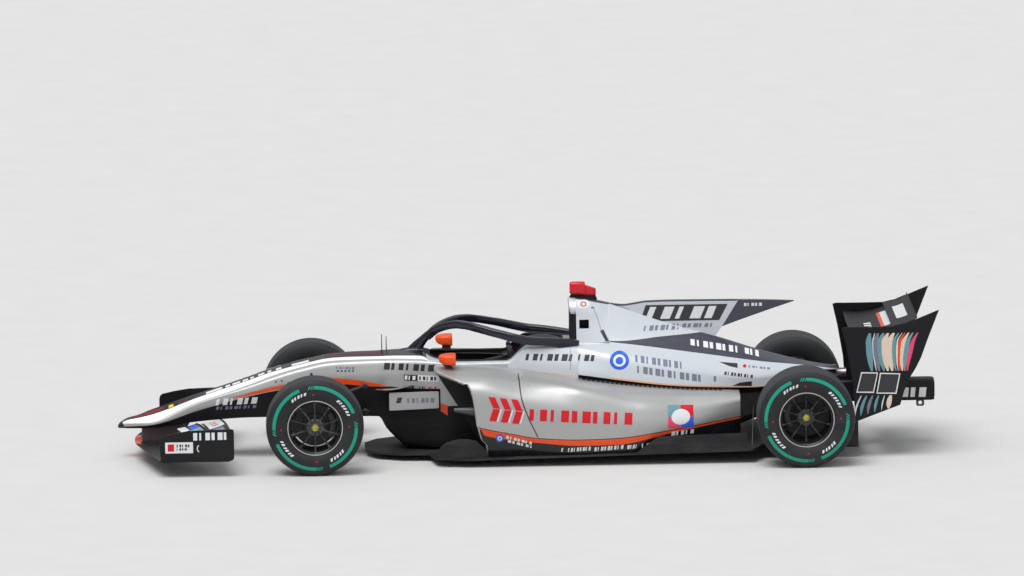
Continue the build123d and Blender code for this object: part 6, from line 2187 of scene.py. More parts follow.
def caliper(wheel):
    """A brake caliper over the edge of the disc."""
    middle = wheel.hub_end + 28.0
    turn = np.linspace(radians(-38), radians(38), 18)
    shape = round_box(20, 0.35)
    radius = 116 + shape[None, :, 0] * (26 - 4 * np.abs(np.linspace(-1, 1, 18))[:, None] ** 4)
    y = middle + shape[None, :, 1] * 31
    flip = 1 if wheel.name.startswith("front") else -1
    grid = xyz(
        wheel.axle[0] + flip * radius * np.cos(turn)[:, None], y,
        wheel.axle[1] + radius * np.sin(turn)[:, None],
    )
    return on_side(capped(grid), wheel.side)


def side_plate():
    """The outline of the bargeboards, x and z: an upright plate beside the tub."""
    x = FRONT_AXLE_X
    return [
        (x + 482, 430), (x + 490, 433), (x + 792, 438), (x + 800, 434), (x + 800, 332), (x + 790, 328),
        (x + 482, 318),
    ]


def plate_stays():
    """Streamlined stays that hold the bargeboard."""
    x = FRONT_AXLE_X
    forms = []
    for stay_x in (x + 560, x + 730):
        forms.append(outward(stay_blade(np.linspace((stay_x, 206, 382), (stay_x, 311, 380), 4), 34, 8)))
    return joined(forms)


def winglet():
    """The small curved winglet on the tub's side ahead of the pod."""
    x = FRONT_AXLE_X
    stations = []
    for share in np.linspace(0, 1, 10):
        y = 232 + 98 * share
        lift = 14 * share**2
        stations.append((y, (x + 396 + 40 * share, 446 + lift), (x + 648 - 20 * share, 470 + lift), 9, 0.05))
    return wing(stations)


def impact_cone():
    """The upper side impact tube's tapered cover that shows in the inlet's shadow, right side."""
    share = np.linspace(0, 1, 14)
    x = POD_FRONT_X + 121.5 + 152 * share
    shape = circle(1, 24)
    rings = xyz(
        x[:, None], 600 + shape[None, :, 0] * (13 + 22 * share[:, None]),
        359 - 13 * share[:, None] + shape[None, :, 1] * (13 + 22 * share[:, None]),
    )
    return capped(rings)


def foot_vane():
    """The outline of the humped upright vanes at the floor's front corners, x and z."""
    x = FLOOR_FRONT_X + 0.178 * (REAR_AXLE_X - 278.5 - FLOOR_FRONT_X)
    outline = [
        (x - 4, floor_top(x) - 4), (x + 6, floor_top(x) + 50), (x + 24, floor_top(x) + 84),
        (x + 60, floor_top(x) + 108), (x + 104, floor_top(x) + 122), (x + 150, floor_top(x) + 129),
        (x + 200, floor_top(x) + 128), (x + 246, floor_top(x) + 116), (x + 290, floor_top(x) + 80),
        (x + 318, floor_top(x) + 40), (x + 334, floor_top(x) - 2),
    ]
    return outline


def louvres():
    """The slatted strip in the right pod's deck beside the cover: short raised blades in a row."""
    forms = []
    across = np.linspace(0, 1.4, 60)
    for x in np.arange(350, 1250, 30.0):
        deck = pod_point(np.full(60, x), across)
        sill = cover_point(np.array([max(x, HOOP_REAR_X)]), np.array([5.0]))[0, 1]
        y = np.array([sill - 4, sill + 16, sill + 32])
        z = np.interp(y, deck[:, 1], deck[:, 2])
        rows = [
            np.column_stack([np.full(3, x + a), y, z + b])
            for a, b in ((0, 0.5), (16, 7), (19, 7), (20, 0.5))
        ]
        forms.append(surface(np.stack(rows), flip=True))
    return joined(forms)


def floor_stays():
    """Two thin struts from the gearbox to the floor's rear on the right."""
    return joined(
        [
            rod((REAR_AXLE_X - 300, 150, 300), (REAR_AXLE_X - 330, 560, 92), 5),
            rod((REAR_AXLE_X + 220, 72, 380), (REAR_AXLE_X + 320, 300, 190), 4),
        ]
    )


def tail_pipe():
    """The exhaust: a long pipe with a rolled lip and a welded collar."""
    front, rear = PIPE_REAR_X - 510, PIPE_REAR_X
    z = CRASH_TOP_Z + 36
    profile = [
        (rear - 200, 31), (rear - 4, 31.5), (rear, 33.5), (rear - 1, 36), (rear - 6, 36), (rear - 10, 35),
        (rear - 90, 34.6), (rear - 93, 36), (rear - 101, 36), (rear - 104, 34.6), (front + 200, 34.6),
        (front, 35.9), (front, 2),
    ]
    turn = np.linspace(0, 2 * pi, 48, endpoint=False)
    rows = np.array(profile, float)
    grid = xyz(rows[:, :1], rows[:, 1:] * np.cos(turn), z + rows[:, 1:] * np.sin(turn))
    return capped(grid)


def crash_box():
    """The crash structure: a rounded box, a little smaller at both ends."""
    front, rear = REAR_AXLE_X + 212.3, TAIL_X - 5
    shape = round_box(48, 0.28)
    share = np.array([0.0, 0.02, 0.25, 0.5, 0.75, 0.97, 1.0])
    size = np.array([0.97, 1.0, 1.0, 1.0, 1.0, 1.0, 0.95])
    middle = (CRASH_TOP_Z - 0.3 + 288) / 2
    rings = xyz(
        front + share[:, None] * (rear - front), shape[None, :, 0] * 70 * size[:, None],
        middle + shape[None, :, 1] * 70.5 * size[:, None],
    )
    return capped(rings)


def rain_light():
    """The rain light on the crash structure's rear face: a grid of small lamps in a dark frame."""
    x = TAIL_X - 5
    forms = []
    shape = round_box(40, 0.3)
    rings = []
    for step, size in ((0, 1.0), (3, 1.0), (4.2, 0.96)):
        rings.append(
            np.column_stack([np.full(40, x + step), shape[:, 0] * 40 * size, 358 + shape[:, 1] * 50 * size])
        )
    grid = np.stack(rings)
    forms.append(outward(joined([surface(grid, 1, wrap_cols=True), fan(grid[-1], 1)])))
    for j in range(5):
        for k in range(4):
            centre = (x + 4.2, -24 + 16 * k, 326 + 16 * j)
            dome = []
            for step, size in ((-1, 6.4), (0.3, 6.2), (0.6, 4)):
                flat = circle(size, 12)
                dome.append(np.column_stack([np.full(12, centre[0] + step * 0.5), flat + centre[1:]]))
            lamp_grid = np.stack(dome)
            forms.append(outward(joined([surface(lamp_grid, 0, wrap_cols=True), fan(lamp_grid[-1], 0)])))
    return joined(forms)


def tow_eye():
    """The tow eye under the tail: a flat rounded loop."""
    middle_x, middle_z = TAIL_X - 92, 288 - 22
    turn = np.linspace(0, 2 * pi, 40, endpoint=False)
    outer = round_box(40, 0.5) * (26, 22)
    inner = np.stack([np.cos(turn), np.sin(turn)], -1) * 12
    rings = []
    near = [(outer, -5), (outer * 0.98, -6), (inner * 1.06, -6), (inner, -5)]
    for ring, y in near + [(ring, -y) for ring, y in reversed(near)]:
        rings.append(np.column_stack([ring[:, 0] + middle_x, np.full(40, float(y)), ring[:, 1] + middle_z]))
    return outward(surface(np.stack(rings), wrap_rows=True, wrap_cols=True))


# Seat lining: x from its front edge, z of its middle over the floor, half-width, height of its sides.
SEAT_STATIONS = [
    (0, 120, 120, 18),
    (60, 124, 140, 26),
    (150, 112, 152, 36),
    (280, 96, 158, 52),
    (380, 102, 160, 70),
    (450, 150, 160, 84),
    (520, 240, 160, 92),
    (580, 345, 160, 84),
    (620, 430, 154, 60),
    (650, 492, 138, 30),
]


def seat_surface(gap=0.0):
    """The seat's face, moved out along its normal by a gap: its sides rise with a power of the width."""
    front = SEAT_FRONT_X
    rows = glide(np.linspace(0, 650, 40), SEAT_STATIONS)
    x = front + np.linspace(0, 650, 40)
    across = np.linspace(-1, 1, 29)
    z = floor_top(front) + rows[:, :1] + rows[:, 2:] * np.abs(across) ** 3.2
    slope = np.gradient(rows[:, 0], x)
    normal = unit(np.stack([-slope, np.ones_like(slope)], -1))
    grid = xyz(x[:, None], rows[:, 1:2] * across, z)
    grid[..., 0] += normal[:, :1] * gap
    grid[..., 2] += normal[:, 1:] * gap
    return grid


def pad_form(rows, cols):
    """One closed cushion over a window of the seat's face, given as index ranges."""
    face = seat_surface(1.5)[slice(*rows), slice(*cols)]
    top = seat_surface(16.0)[slice(*rows), slice(*cols)]
    centre = top.mean((0, 1))
    top = top + unit(centre - top) * 3.0
    low, high = surface(face, flip=True), surface(top)
    rim_low = np.vstack([face[0], face[1:, -1], face[-1, -2::-1], face[-2:0:-1, 0]])
    rim_high = np.vstack([top[0], top[1:, -1], top[-1, -2::-1], top[-2:0:-1, 0]])
    side = surface(np.stack([rim_low, rim_high]), wrap_cols=True)
    return outward(joined([high, low, side]))


def recalculated(piece):
    """The piece with all its faces looking outward."""
    work = bmesh.new()
    work.from_mesh(piece.data)
    bmesh.ops.recalc_face_normals(work, faces=work.faces)
    work.to_mesh(piece.data)
    work.free()
    return piece


CLOTH_FRAMES = 20


def inflate(piece, pressure, cap):
    """Fills a soft piece: its mesh is rebuilt evenly and blown up as cloth, no point by more than the cap."""
    scene = bpy.context.scene
    remesh = piece.modifiers.new("Even mesh", "REMESH")
    remesh.mode, remesh.voxel_size = "VOXEL", 5.0 * MM
    bake(piece)
    count = len(piece.data.vertices)
    before = np.zeros(count * 3)
    piece.data.vertices.foreach_get("co", before)
    cloth = piece.modifiers.new("Cloth", "CLOTH")
    cloth.settings.use_pressure = True
    cloth.settings.uniform_pressure_force = pressure
    cloth.settings.tension_stiffness = cloth.settings.compression_stiffness = 12
    cloth.settings.bending_stiffness = 0.6
    cloth.settings.quality = 6
    cloth.settings.effector_weights.gravity = 0
    cloth.collision_settings.use_collision = False
    cloth.point_cache.frame_start, cloth.point_cache.frame_end = 1, CLOTH_FRAMES
    for frame_number in range(1, CLOTH_FRAMES + 1):
        scene.frame_set(frame_number)
    bake(piece)
    scene.frame_set(1)
    after = np.zeros(count * 3)
    piece.data.vertices.foreach_get("co", after)
    move = (after - before).reshape(-1, 3)
    reach = np.linalg.norm(move, axis=1, keepdims=True)
    move *= np.minimum(1, cap * MM / np.maximum(reach, 1e-9))
    piece.data.vertices.foreach_set("co", (before.reshape(-1, 3) + move).ravel())
    piece.data.shade_smooth()


def bake(piece):
    """Applies the piece's modifiers."""
    bpy.context.view_layer.update()
    graph = bpy.context.evaluated_depsgraph_get()
    mesh = bpy.data.meshes.new_from_object(
        piece.evaluated_get(graph), preserve_all_data_layers=True, depsgraph=graph,
    )
    materials = list(piece.data.materials)
    piece.modifiers.clear()
    old = piece.data
    piece.data = mesh
    piece.data.materials.clear()
    for material in materials:
        piece.data.materials.append(material)
    bpy.data.meshes.remove(old)


def headrest_form():
    """The headrest: a horseshoe of padding round the head, thick at the back, its top rounded."""
    rear = COCKPIT_REAR_X
    turn = np.linspace(-0.5 * pi, 0.5 * pi, 41)
    legs = np.linspace(0, 1, 14)[:-1]
    leg_x = rear - 262 + legs * 120
    inner_x = np.concatenate([leg_x, rear - 142 + 92 * np.cos(turn) ** 0.8, leg_x[::-1]])
    inner_y = np.concatenate([np.full(13, -138.0), 138 * np.sin(turn), np.full(13, 138.0)])
    out_y = np.minimum(opening_half(inner_x) - 12, 228)
    outer_turn = np.sign(inner_y)
    back = np.clip(np.cos(np.concatenate([np.full(13, -0.5 * pi), turn, np.full(13, 0.5 * pi)])), 0, 1)
    outer_x = inner_x + 46 * back**0.8
    outer_x = np.minimum(outer_x, rear - 8)
    limit = opening_half(np.minimum(outer_x, rear - 1)) - 12
    outer_y = np.where(back > 0.05, inner_y * (1 + 0.32 * (1 - back)), outer_turn * out_y)
    outer_y = np.sign(outer_y) * np.minimum(np.abs(outer_y) + 14 * (1 - back), limit)
    top = 728 - 30 * (1 - np.clip((inner_x - (rear - 262)) / 160, 0, 1)) ** 2
    rings = []
    for k in range(len(inner_x)):
        a = np.array([inner_x[k], inner_y[k]])
        b = np.array([outer_x[k], outer_y[k]])
        m = (a + b) / 2
        rings.append(
            [
                (*a, 628), (*(a * 0.98 + b * 0.02), top[k] - 16), (*(a * 0.8 + b * 0.2), top[k] - 3),
                (*m, top[k]), (*(a * 0.2 + b * 0.8), top[k] - 3), (*(a * 0.02 + b * 0.98), top[k] - 16),
                (*b, 628),
            ]
        )
    grid = np.array(rings)
    return capped(grid)


def belt(points, twist, width=44.0):
    """A strap along points (x, y, z), its flat side facing the given direction at each."""
    line, facing = smooth_line(points, 40), smooth_line(twist, 40)
    tangent = unit(np.gradient(line, axis=0))
    side = unit(np.cross(tangent, unit(facing)))
    top = np.cross(side, tangent)
    half = width / 2
    shape = [(-half, -1.1), (-half + 1, 1.1), (half - 1, 1.1), (half, -1.1)]
    rings = np.stack([line + side * a + top * b for a, b in shape], 1)
    return capped(rings)


def harness():
    """Six straps from their anchors to the buckle on the seat: shoulders, lap and crotch."""
    front = SEAT_FRONT_X
    base = floor_top(front)
    buckle = np.array([front + 400, 0, base + 148.0])
    right = [
        belt(
            [(front + 655, 62, base + 520), (front + 628, 66, base + 478), (front + 560, 62, base + 342),
             (front + 480, 44, base + 208), (buckle[0] + 22, 18, buckle[2] + 6)],
            twist=[(-0.2, 0, 1), (-0.7, 0, 0.7), (-0.85, 0, 0.5), (-0.7, 0.1, 0.7), (-0.4, 0, 0.9)],
        ),
        belt(
            [(front + 440, 158, base + 150), (front + 420, 130, base + 146), (front + 404, 80, base + 146),
             (buckle[0] + 4, 26, buckle[2] + 4)],
            twist=[(-0.4, -0.7, 0.6), (-0.4, -0.5, 0.8), (-0.3, -0.1, 1), (-0.3, 0, 1)],
        ),
        belt(
            [(front + 250, 38, base + 100), (front + 300, 34, base + 112), (front + 350, 24, base + 132),
             (buckle[0] - 20, 14, buckle[2] + 2)],
            width=38,
            twist=[(0, 0, 1), (-0.1, 0, 1), (-0.2, 0, 1), (-0.3, 0, 1)],
        ),
    ]
    return both(joined(right))


def buckle():
    """The harness's round buckle."""
    front = SEAT_FRONT_X
    centre = np.array([front + 400, 0, floor_top(front) + 154.0])
    way = unit(np.array([-0.35, 0, 0.94]))
    side = np.array([0, 1.0, 0])
    top = np.cross(side, way)
    rings = []
    for level, radius in ((-8, 26), (2, 27), (6, 24), (7, 15), (10, 14), (11, 9)):
        flat = circle(radius, 32)
        rings.append(centre + way * level + flat[:, :1] * side + flat[:, 1:] * top)
    grid = np.stack(rings)
    paint = np.array([0, 0, 0, 1, 1])[:, None] + np.zeros((1, 32), int)
    return outward(
        joined([surface(grid, paint, wrap_cols=True), fan(grid[0], 0), fan(grid[-1], 1, flip=True)])
    )


def wheel_place():
    """The steering wheel's centre and its axes: right, up and towards the driver."""
    tilt = radians(12)
    centre = np.array([FRONT_AXLE_X + 1256.5, 0, 612.0])
    return centre, np.array([0, 1.0, 0]), np.array(
        [-sin(tilt), 0, cos(tilt)]
    ), np.array([cos(tilt), 0, sin(tilt)])


def on_steering(flat, level):
    """Points of a flat shape (right, up) on the steering wheel at a level towards the driver."""
    centre, right, up, back = wheel_place()
    return centre + flat[..., :1] * right + flat[..., 1:] * up + back * level


def steering_body():
    """The steering wheel's plate, squared with rounded edges, and the hub behind it."""
    shape = round_box(72, 0.42)
    rings = []
    for level, size in ((3, 0.96), (5, 1.0), (22, 1.0), (25, 0.96)):
        rings.append(on_steering(shape * (100, 66) * size, level))
    grid = np.stack(rings)
    plate = capped(grid)
    hub_rings = [on_steering(circle(r, 32), level) for level, r in ((-40, 26), (-36, 34), (-4, 34), (3, 44))]
    hub_grid = np.stack(hub_rings)
    return joined([plate, outward(joined([surface(hub_grid, wrap_cols=True), fan(hub_grid[0])]))])


def grips():
    """The wheel's two moulded hand grips."""
    forms = []
    for side in (-1, 1):
        route = np.array(
            [
                (62, 66), (92, 70), (116, 58), (126, 30), (124, 0), (127, -30), (118, -58), (94, -68),
                (64, -64),
            ],
            float,
        )
        line = smooth_line(np.column_stack([route[:, 0] * side, route[:, 1], np.zeros(9)]), 44)
        share = np.linspace(0, 1, 44)
        size = 11.5 + 4.5 * np.sin(share * pi) + 1.2 * np.cos(share * 8 * pi) * np.sin(share * pi)
        path = on_steering(line[:, :2], 14.0)
        back = wheel_place()[3]
        profile = circle(1, 18)[None] * np.stack([size * 1.0, size * 1.05], -1)[:, None]
        forms.append(outward(tube(path, profile, up=back)))
    return joined(forms)


def steering_controls():
    """Buttons, rotary knobs, a blank display and a row of lamps on the wheel, and gear paddles behind it."""
    forms = []
    screen = round_box(40, 0.2) * (38, 22) + (0, 22)
    inner = (screen - (0, 22)) * 0.94 + (0, 22)
    frame_rings = np.stack([on_steering(screen, 25), on_steering(screen, 28), on_steering(inner, 28.5)])
    forms.append(outward(joined([surface(frame_rings, 0, wrap_cols=True), fan(frame_rings[-1], 1)])))
    for k, (y, z) in enumerate(
        ((-78, 40), (78, 40), (-82, 12), (82, 12), (-60, -42), (60, -42), (-76, -18), (76, -18))
    ):
        flat = circle(7.0, 18)
        levels = ((24, 1.15), (29, 1.1), (29.5, 0.95), (33, 0.9))
        rings = np.stack([on_steering(flat * size + (y, z), level) for level, size in levels])
        forms.append(outward(joined([surface(rings, 2 + k % 3, wrap_cols=True), fan(rings[-1], 2 + k % 3)])))
    for y, z in ((-30, -26), (0, -34), (30, -26)):
        turn = np.linspace(0, 2 * pi, 36, endpoint=False)
        radius = 10 + 0.8 * np.sign(np.sin(12 * turn))
        flat = np.stack([np.cos(turn) * radius, np.sin(turn) * radius], -1)
        levels = ((24, 1.1), (27, 1.0), (37, 0.92))
        rings = np.stack([on_steering(flat * size + (y, z), level) for level, size in levels])
        forms.append(outward(joined([surface(rings, 0, wrap_cols=True), fan(rings[-1], 0)])))
    for k in range(9):
        flat = circle(2.6, 10) + (-28 + 7 * k, 52)
        rings = np.stack([on_steering(flat, 24.5), on_steering(flat, 27)])
        forms.append(
            outward(joined([surface(rings, 2 + k // 3, wrap_cols=True), fan(rings[-1], 2 + k // 3)]))
        )
    for side in (-1, 1):
        blade_shape = np.array(
            [(30, 8), (70, 22), (104, 34), (112, 20), (104, -2), (70, -8), (30, -10)], float,
        ) * (side, 1)
        rings = np.stack([on_steering(blade_shape, -10), on_steering(blade_shape, -13)])
        forms.append(capped(rings))
    return joined(forms)


def camera():
    """The camera of the reference view: a long lens from the left, a little above level, slightly rolled."""
    data = bpy.data.cameras.new("Camera")
    data.sensor_width, data.lens = 36.0, 439.8
    data.clip_start, data.clip_end = 1.0, 400.0
    lens = bpy.data.objects.new("Camera", data)
    bpy.context.scene.collection.objects.link(lens)
    turn, rise, roll = radians(-1.612), radians(8.138), radians(-0.721)
    back = Vector((sin(turn) * cos(rise), -cos(turn) * cos(rise), sin(rise)))
    right = (-back).cross(Vector((0, 0, 1))).normalized()
    up = right.cross(-back)
    level, rest = right * cos(roll) + up * sin(roll), up * cos(roll) - right * sin(roll)
    frame_axes = Matrix((level, rest, back)).transposed().to_4x4()
    lens.matrix_world = Matrix.Translation(Vector((-0.0831, 0, 1.0505)) + back * 80) @ frame_axes
    bpy.context.scene.camera = lens


def lamp(name, toward, spread_angle, strength):
    """A broad, far light that shines from a direction, its shadows soft."""
    data = bpy.data.lights.new(name, "SUN")
    data.angle, data.energy = radians(spread_angle), strength
    light = bpy.data.objects.new(name, data)
    light.rotation_euler = Vector(toward).to_track_quat("Z", "Y").to_euler()
    bpy.context.scene.collection.objects.link(light)


def world():
    """Soft surrounding light; the camera and clear reflections see white."""
    sky = bpy.data.worlds.new("Studio")
    bpy.context.scene.world = sky
    sky.use_nodes = True
    tree = sky.node_tree
    tree.nodes.clear()
    rays = add(tree, "ShaderNodeLightPath").outputs
    place = add(tree, "ShaderNodeTexCoord").outputs["Generated"]
    height = add(tree, "ShaderNodeSeparateXYZ", {"Vector": place}).outputs["Z"]
    shade = blend_colours(tree, band(tree, height, 0.0, 0.75), (0.3, 0.3, 0.31, 1), (0.95, 0.97, 1.0, 1))
    soft = add(tree, "ShaderNodeBackground", {"Color": shade, "Strength": 0.7})
    white = add(tree, "ShaderNodeBackground", {"Color": (1, 1, 1, 1), "Strength": 1.0})
    mixed = add(tree, "ShaderNodeMixShader", {0: rays["Is Camera Ray"]})
    tree.links.new(soft.outputs[0], mixed.inputs[1])
    tree.links.new(white.outputs[0], mixed.inputs[2])
    out = add(tree, "ShaderNodeOutputWorld")
    tree.links.new(mixed.outputs[0], out.inputs["Surface"])


def ground():
    """A plain pale floor."""
    mesh = bpy.data.meshes.new("studio_floor")
    reach = 60.0
    mesh.from_pydata(
        [(-reach, -reach, 0), (reach, -reach, 0), (reach, reach, 0), (-reach, reach, 0)], [], [(0, 1, 2, 3)],
    )
    mesh.materials.append(
        finish("Studio floor", (0.6, 0.595, 0.585), 0.85, vary=0.02, scale=3.0, bump=0.0, dust=0.0)
    )
    plane = bpy.data.objects.new("studio_floor", mesh)
    bpy.context.scene.collection.objects.link(plane)


class RacingPaint(bpy.types.PropertyGroup):
    """Colours of the paint."""

    body: FloatVectorProperty(
        name="Body", description="Sides of nose, tub and pods", subtype="COLOR", size=4,
        default=(0.42, 0.42, 0.415, 1)
    )
    upper: FloatVectorProperty(
        name="Upper body", description="Engine cover and roll hoop", subtype="COLOR", size=4,
        default=(0.57, 0.6, 0.645, 1)
    )
    # A white paint given a bluish grey: painted shade, the blue of sky-lit shade on the cover's sides.
    stripe: FloatVectorProperty(
        name="Stripe", description="Bands and mirrors", subtype="COLOR", size=4,
        default=(0.8, 0.075, 0.006, 1)
    )
    spine: FloatVectorProperty(
        name="Spine", description="Dark spine of the cover and fin", subtype="COLOR", size=4,
        default=(0.033, 0.035, 0.056, 1)
    )
    band: FloatVectorProperty(
        name="Tyre band", description="Coloured band on the tyre wall", subtype="COLOR", size=4,
        default=(0.0, 0.3, 0.2, 1)
    )


class Builder:
    """Shared by the operators: registered, undoable, and it raises on a failure."""

    bl_options = {"REGISTER", "UNDO"}


class RACING_OT_solids(Builder, bpy.types.Operator):
    """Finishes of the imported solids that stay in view"""

    bl_idname = "racing.solids"
    bl_label = "Packed solids"

    def execute(self, context):
        for node, piece in frame["nodes"].items():
            piece.data.materials.clear()
            piece.data.materials.append(look(NODE_FINISH.get(node, "dry_carbon")))
        return {"FINISHED"}


class RACING_OT_hull(Builder, bpy.types.Operator):
    """Skin of the nose and tub with the cockpit's lip and lining"""

    bl_idname = "racing.hull"
    bl_label = "Nose and tub"

    def execute(self, context):
        skin = build(
            "hull_skin", hull(), "chassis",
            [look("silver"), look("gloss_black"), look("pearl"), look("satin_black"), look("bevel_white")],
            sharp=50,
        )
        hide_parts("nose_cone", "monocoque")
        ring = cockpit_rim()
        build("cockpit_lip", tube(ring, circle(9, 12), closed=True), "chassis", look("carbon"))
        build("cockpit_lining", cockpit_lining(ring), "chassis", look("dry_carbon"))
        build("hull_marks", both(hull_marks()), "chassis", mark_paints(), weld=False)
        build("antennas", antennas(), "chassis", look("satin_black"))
        return {"FINISHED"}


class RACING_OT_sidepods(Builder, bpy.types.Operator):
    """Skins of the sidepods with their inlets, louvres and marks"""

    bl_idname = "racing.sidepods"
    bl_label = "Sidepods"

    def execute(self, context):
        skin, edge = pod()
        mouth = pod_mouth(edge)
        for side, word in ((1, "right"), (-1, "left")):
            shell = build(
                f"pod_{word}", on_side(skin, side), "chassis",
                [look("silver"), look("gloss_black"), look("stripe")], sharp=50,
            )
            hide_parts(f"sidepod_{word}")
            build(
                f"pod_mouth_{word}", on_side(mouth, side), "chassis",
                [look("silver"), look("dry_carbon"), look("satin_black")],
            )
        place = Place(pod_point, 1.5, 4.9)
        box = badge(place, [(880, 366), (1046, 358), (1046, 218), (880, 222)])
        build("pod_marks", both(joined([pod_marks(), box])), "chassis", mark_paints(), weld=False)
        build("pod_louvres", both(louvres()), "chassis", look("satin_black"))
        build("impact_tubes", both(impact_cone()), "chassis", look("dark_alloy"))
        return {"FINISHED"}


class RACING_OT_cover(Builder, bpy.types.Operator):
    """Engine cover with its fin, the roll hoop, intake and camera pod"""

    bl_idname = "racing.cover"
    bl_label = "Engine cover and roll hoop"

    def execute(self, context):
        peach = colour_mark("Peach line", (0.72, 0.36, 0.2))
        skin = build("cover_skin", cover(), "chassis", [look("pearl"), look("spine"), peach], sharp=50)
        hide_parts("engine_cover")
        build("cover_fin", fin(), "chassis", [look("pearl"), look("spine")], sharp=60)
        build("cover_marks", both(cover_marks()), "chassis", mark_paints(), weld=False)
        hoop = build(
            "roll_hoop_shell", roll_hoop(), "chassis", [look("pearl"), look("spine"), look("satin_black")],
            sharp=50,
        )
        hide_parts("roll_hoop")
        build("intake", intake(), "chassis", [look("pearl"), look("alloy"), look("satin_black")], sharp=50)
        pod_piece = build(
            "camera_housing", camera_housing(), "chassis", [look("red_gloss"), look("satin_black")], sharp=45,
        )
        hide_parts("camera_pod")
        return {"FINISHED"}


class RACING_OT_guard(Builder, bpy.types.Operator):
    """Head guard over the cockpit and the mirrors"""

    bl_idname = "racing.guard"
    bl_label = "Head guard and mirrors"

    def execute(self, context):
        ring = build("head_guard", guard(), "chassis", look("guard_lacquer"), sharp=60)
        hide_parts("halo")
        build("head_guard_foot", guard_feet(), "chassis", look("guard_lacquer"), sharp=60)
        shell = build(
            "mirror_shells", both(mirror()), "chassis",
            [look("stripe"), look("satin_black"), look("glass_mirror")], sharp=45,
        )
        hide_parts("mirrors")
        build("mirror_stays", both(mirror_stay()), "chassis", look("carbon"))
        return {"FINISHED"}


class RACING_OT_front_wing(Builder, bpy.types.Operator):
    """Front wing: main plane, flaps, endplates and pylons"""

    bl_idname = "racing.front_wing"
    bl_label = "Front wing"

    def execute(self, context):
        plane = build("front_plane", front_plane(), "chassis", [look("carbon"), look("stripe")], sharp=45)
        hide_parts("front_wing_main")
        flaps = joined([front_flap(flap) for flap in FRONT_FLAPS])
        build("front_flap_panels", both(front_panels()), "chassis", mark_paints(), weld=False)
        flap_piece = build("front_flaps", both(flaps), "chassis", look("carbon"), sharp=45)
        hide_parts("front_wing_flaps")
        outline = endplate_front()
        inner = FRONT_TIP_Y + 0.3
        plates = slabs("front_plates", pair(outline, inner, inner + 8), "chassis", look("carbon"), 2.5)
        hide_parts("front_endplates")
        build("front_plate_marks", both(front_plate_marks()), "chassis", mark_paints(), weld=False)
        shape = [(150, 215), (154, 150), (158, 98), (330, 99), (372, 150), (450, 250)]
        shape = [(NOSE_X + x, z) for x, z in shape]
        # The pylons are dark; their brownish grey is a painted lit tone, the light falling on them painted
        # into the colour.
        pylon_lit_tone = colour_mark("Pylon paint", (0.075, 0.056, 0.06))
        pylons = slabs("front_pylons", pair(shape, 30, 42), "chassis", pylon_lit_tone, 3.0)
        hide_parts("front_wing_pylons")
        return {"FINISHED"}


class RACING_OT_rear_wing(Builder, bpy.types.Operator):
    """Rear wing, beam wing, endplates, pylons and the tail"""

    bl_idname = "racing.rear_wing"
    bl_label = "Rear wing and tail"

    def execute(self, context):
        planes = build("rear_planes", rear_planes(), "chassis", look("carbon"), sharp=45)
        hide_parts("rear_wing_main", "rear_wing_flap")
        build("rear_plane_panels", rear_panels(), "chassis", mark_paints(), weld=False)
        beam = build("beam_plane", beam_plane(), "chassis", look("carbon"), sharp=45)
        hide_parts("beam_wing")
        outline = [(TAIL_X - x, z) for x, z in REAR_PLATE]
        span = WING_SPAN_Y
        plates = slabs("rear_plates", pair(outline, span - 8, span), "chassis", look("carbon"), 2.0)
        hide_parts("rear_endplates")
        build("rear_plate_marks", both(rear_plate_marks()), "chassis", mark_paints(), weld=False)
        pylons = build("rear_pylons", both(wing_pylon()), "chassis", look("carbon"), sharp=50)
        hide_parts("rear_wing_pylons")
        box = build("crash_box", crash_box(), "chassis", look("carbon"), sharp=45)
        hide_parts("rear_crash_structure")
        build("tow_eye", tow_eye(), "chassis", look("dark_alloy"), sharp=40)
        build("tail_marks", both(tail_marks()), "chassis", mark_paints(), weld=False)
        build("rain_light", rain_light(), "chassis", [look("lamp_red"), look("satin_black")], sharp=40)
        pipe = build("tail_pipe", tail_pipe(), "chassis", look("exhaust_metal"), sharp=40)
        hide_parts("exhaust")
        return {"FINISHED"}


class RACING_OT_suspension(Builder, bpy.types.Operator):
    """Suspension arms, pushrods, uprights and brake calipers"""

    bl_idname = "racing.suspension"
    bl_label = "Suspension"

    def execute(self, context):
        arms = build("front_arms", both(front_arms()), "chassis", look("carbon"), sharp=40)
        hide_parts("front_wishbones")
        build("front_pushrods", both(pushrod_front()), "chassis", look("carbon"), sharp=40)
        build("front_arm_brackets", both(arm_fittings()), "chassis", look("dark_alloy"), sharp=40)
        rear = build("rear_arms", both(rear_arms()), "chassis", look("carbon"), sharp=40)
        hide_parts("rear_wishbones")
        front, back = wheels()[:2], wheels()[2:]
        for wheel in front:
            body = f"{wheel.name}_upright"
            form = on_side(upright_casting(), wheel.side)
            casting = build(f"{wheel.name}_casting", form, body, look("dark_alloy"), sharp=40)
            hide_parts(body)
            build(f"{wheel.name}_caliper", caliper(wheel), body, look("dark_alloy"), sharp=40)
        for wheel in back:
            build(f"{wheel.name}_caliper", caliper(wheel), "chassis", look("dark_alloy"), sharp=40)
        return {"FINISHED"}


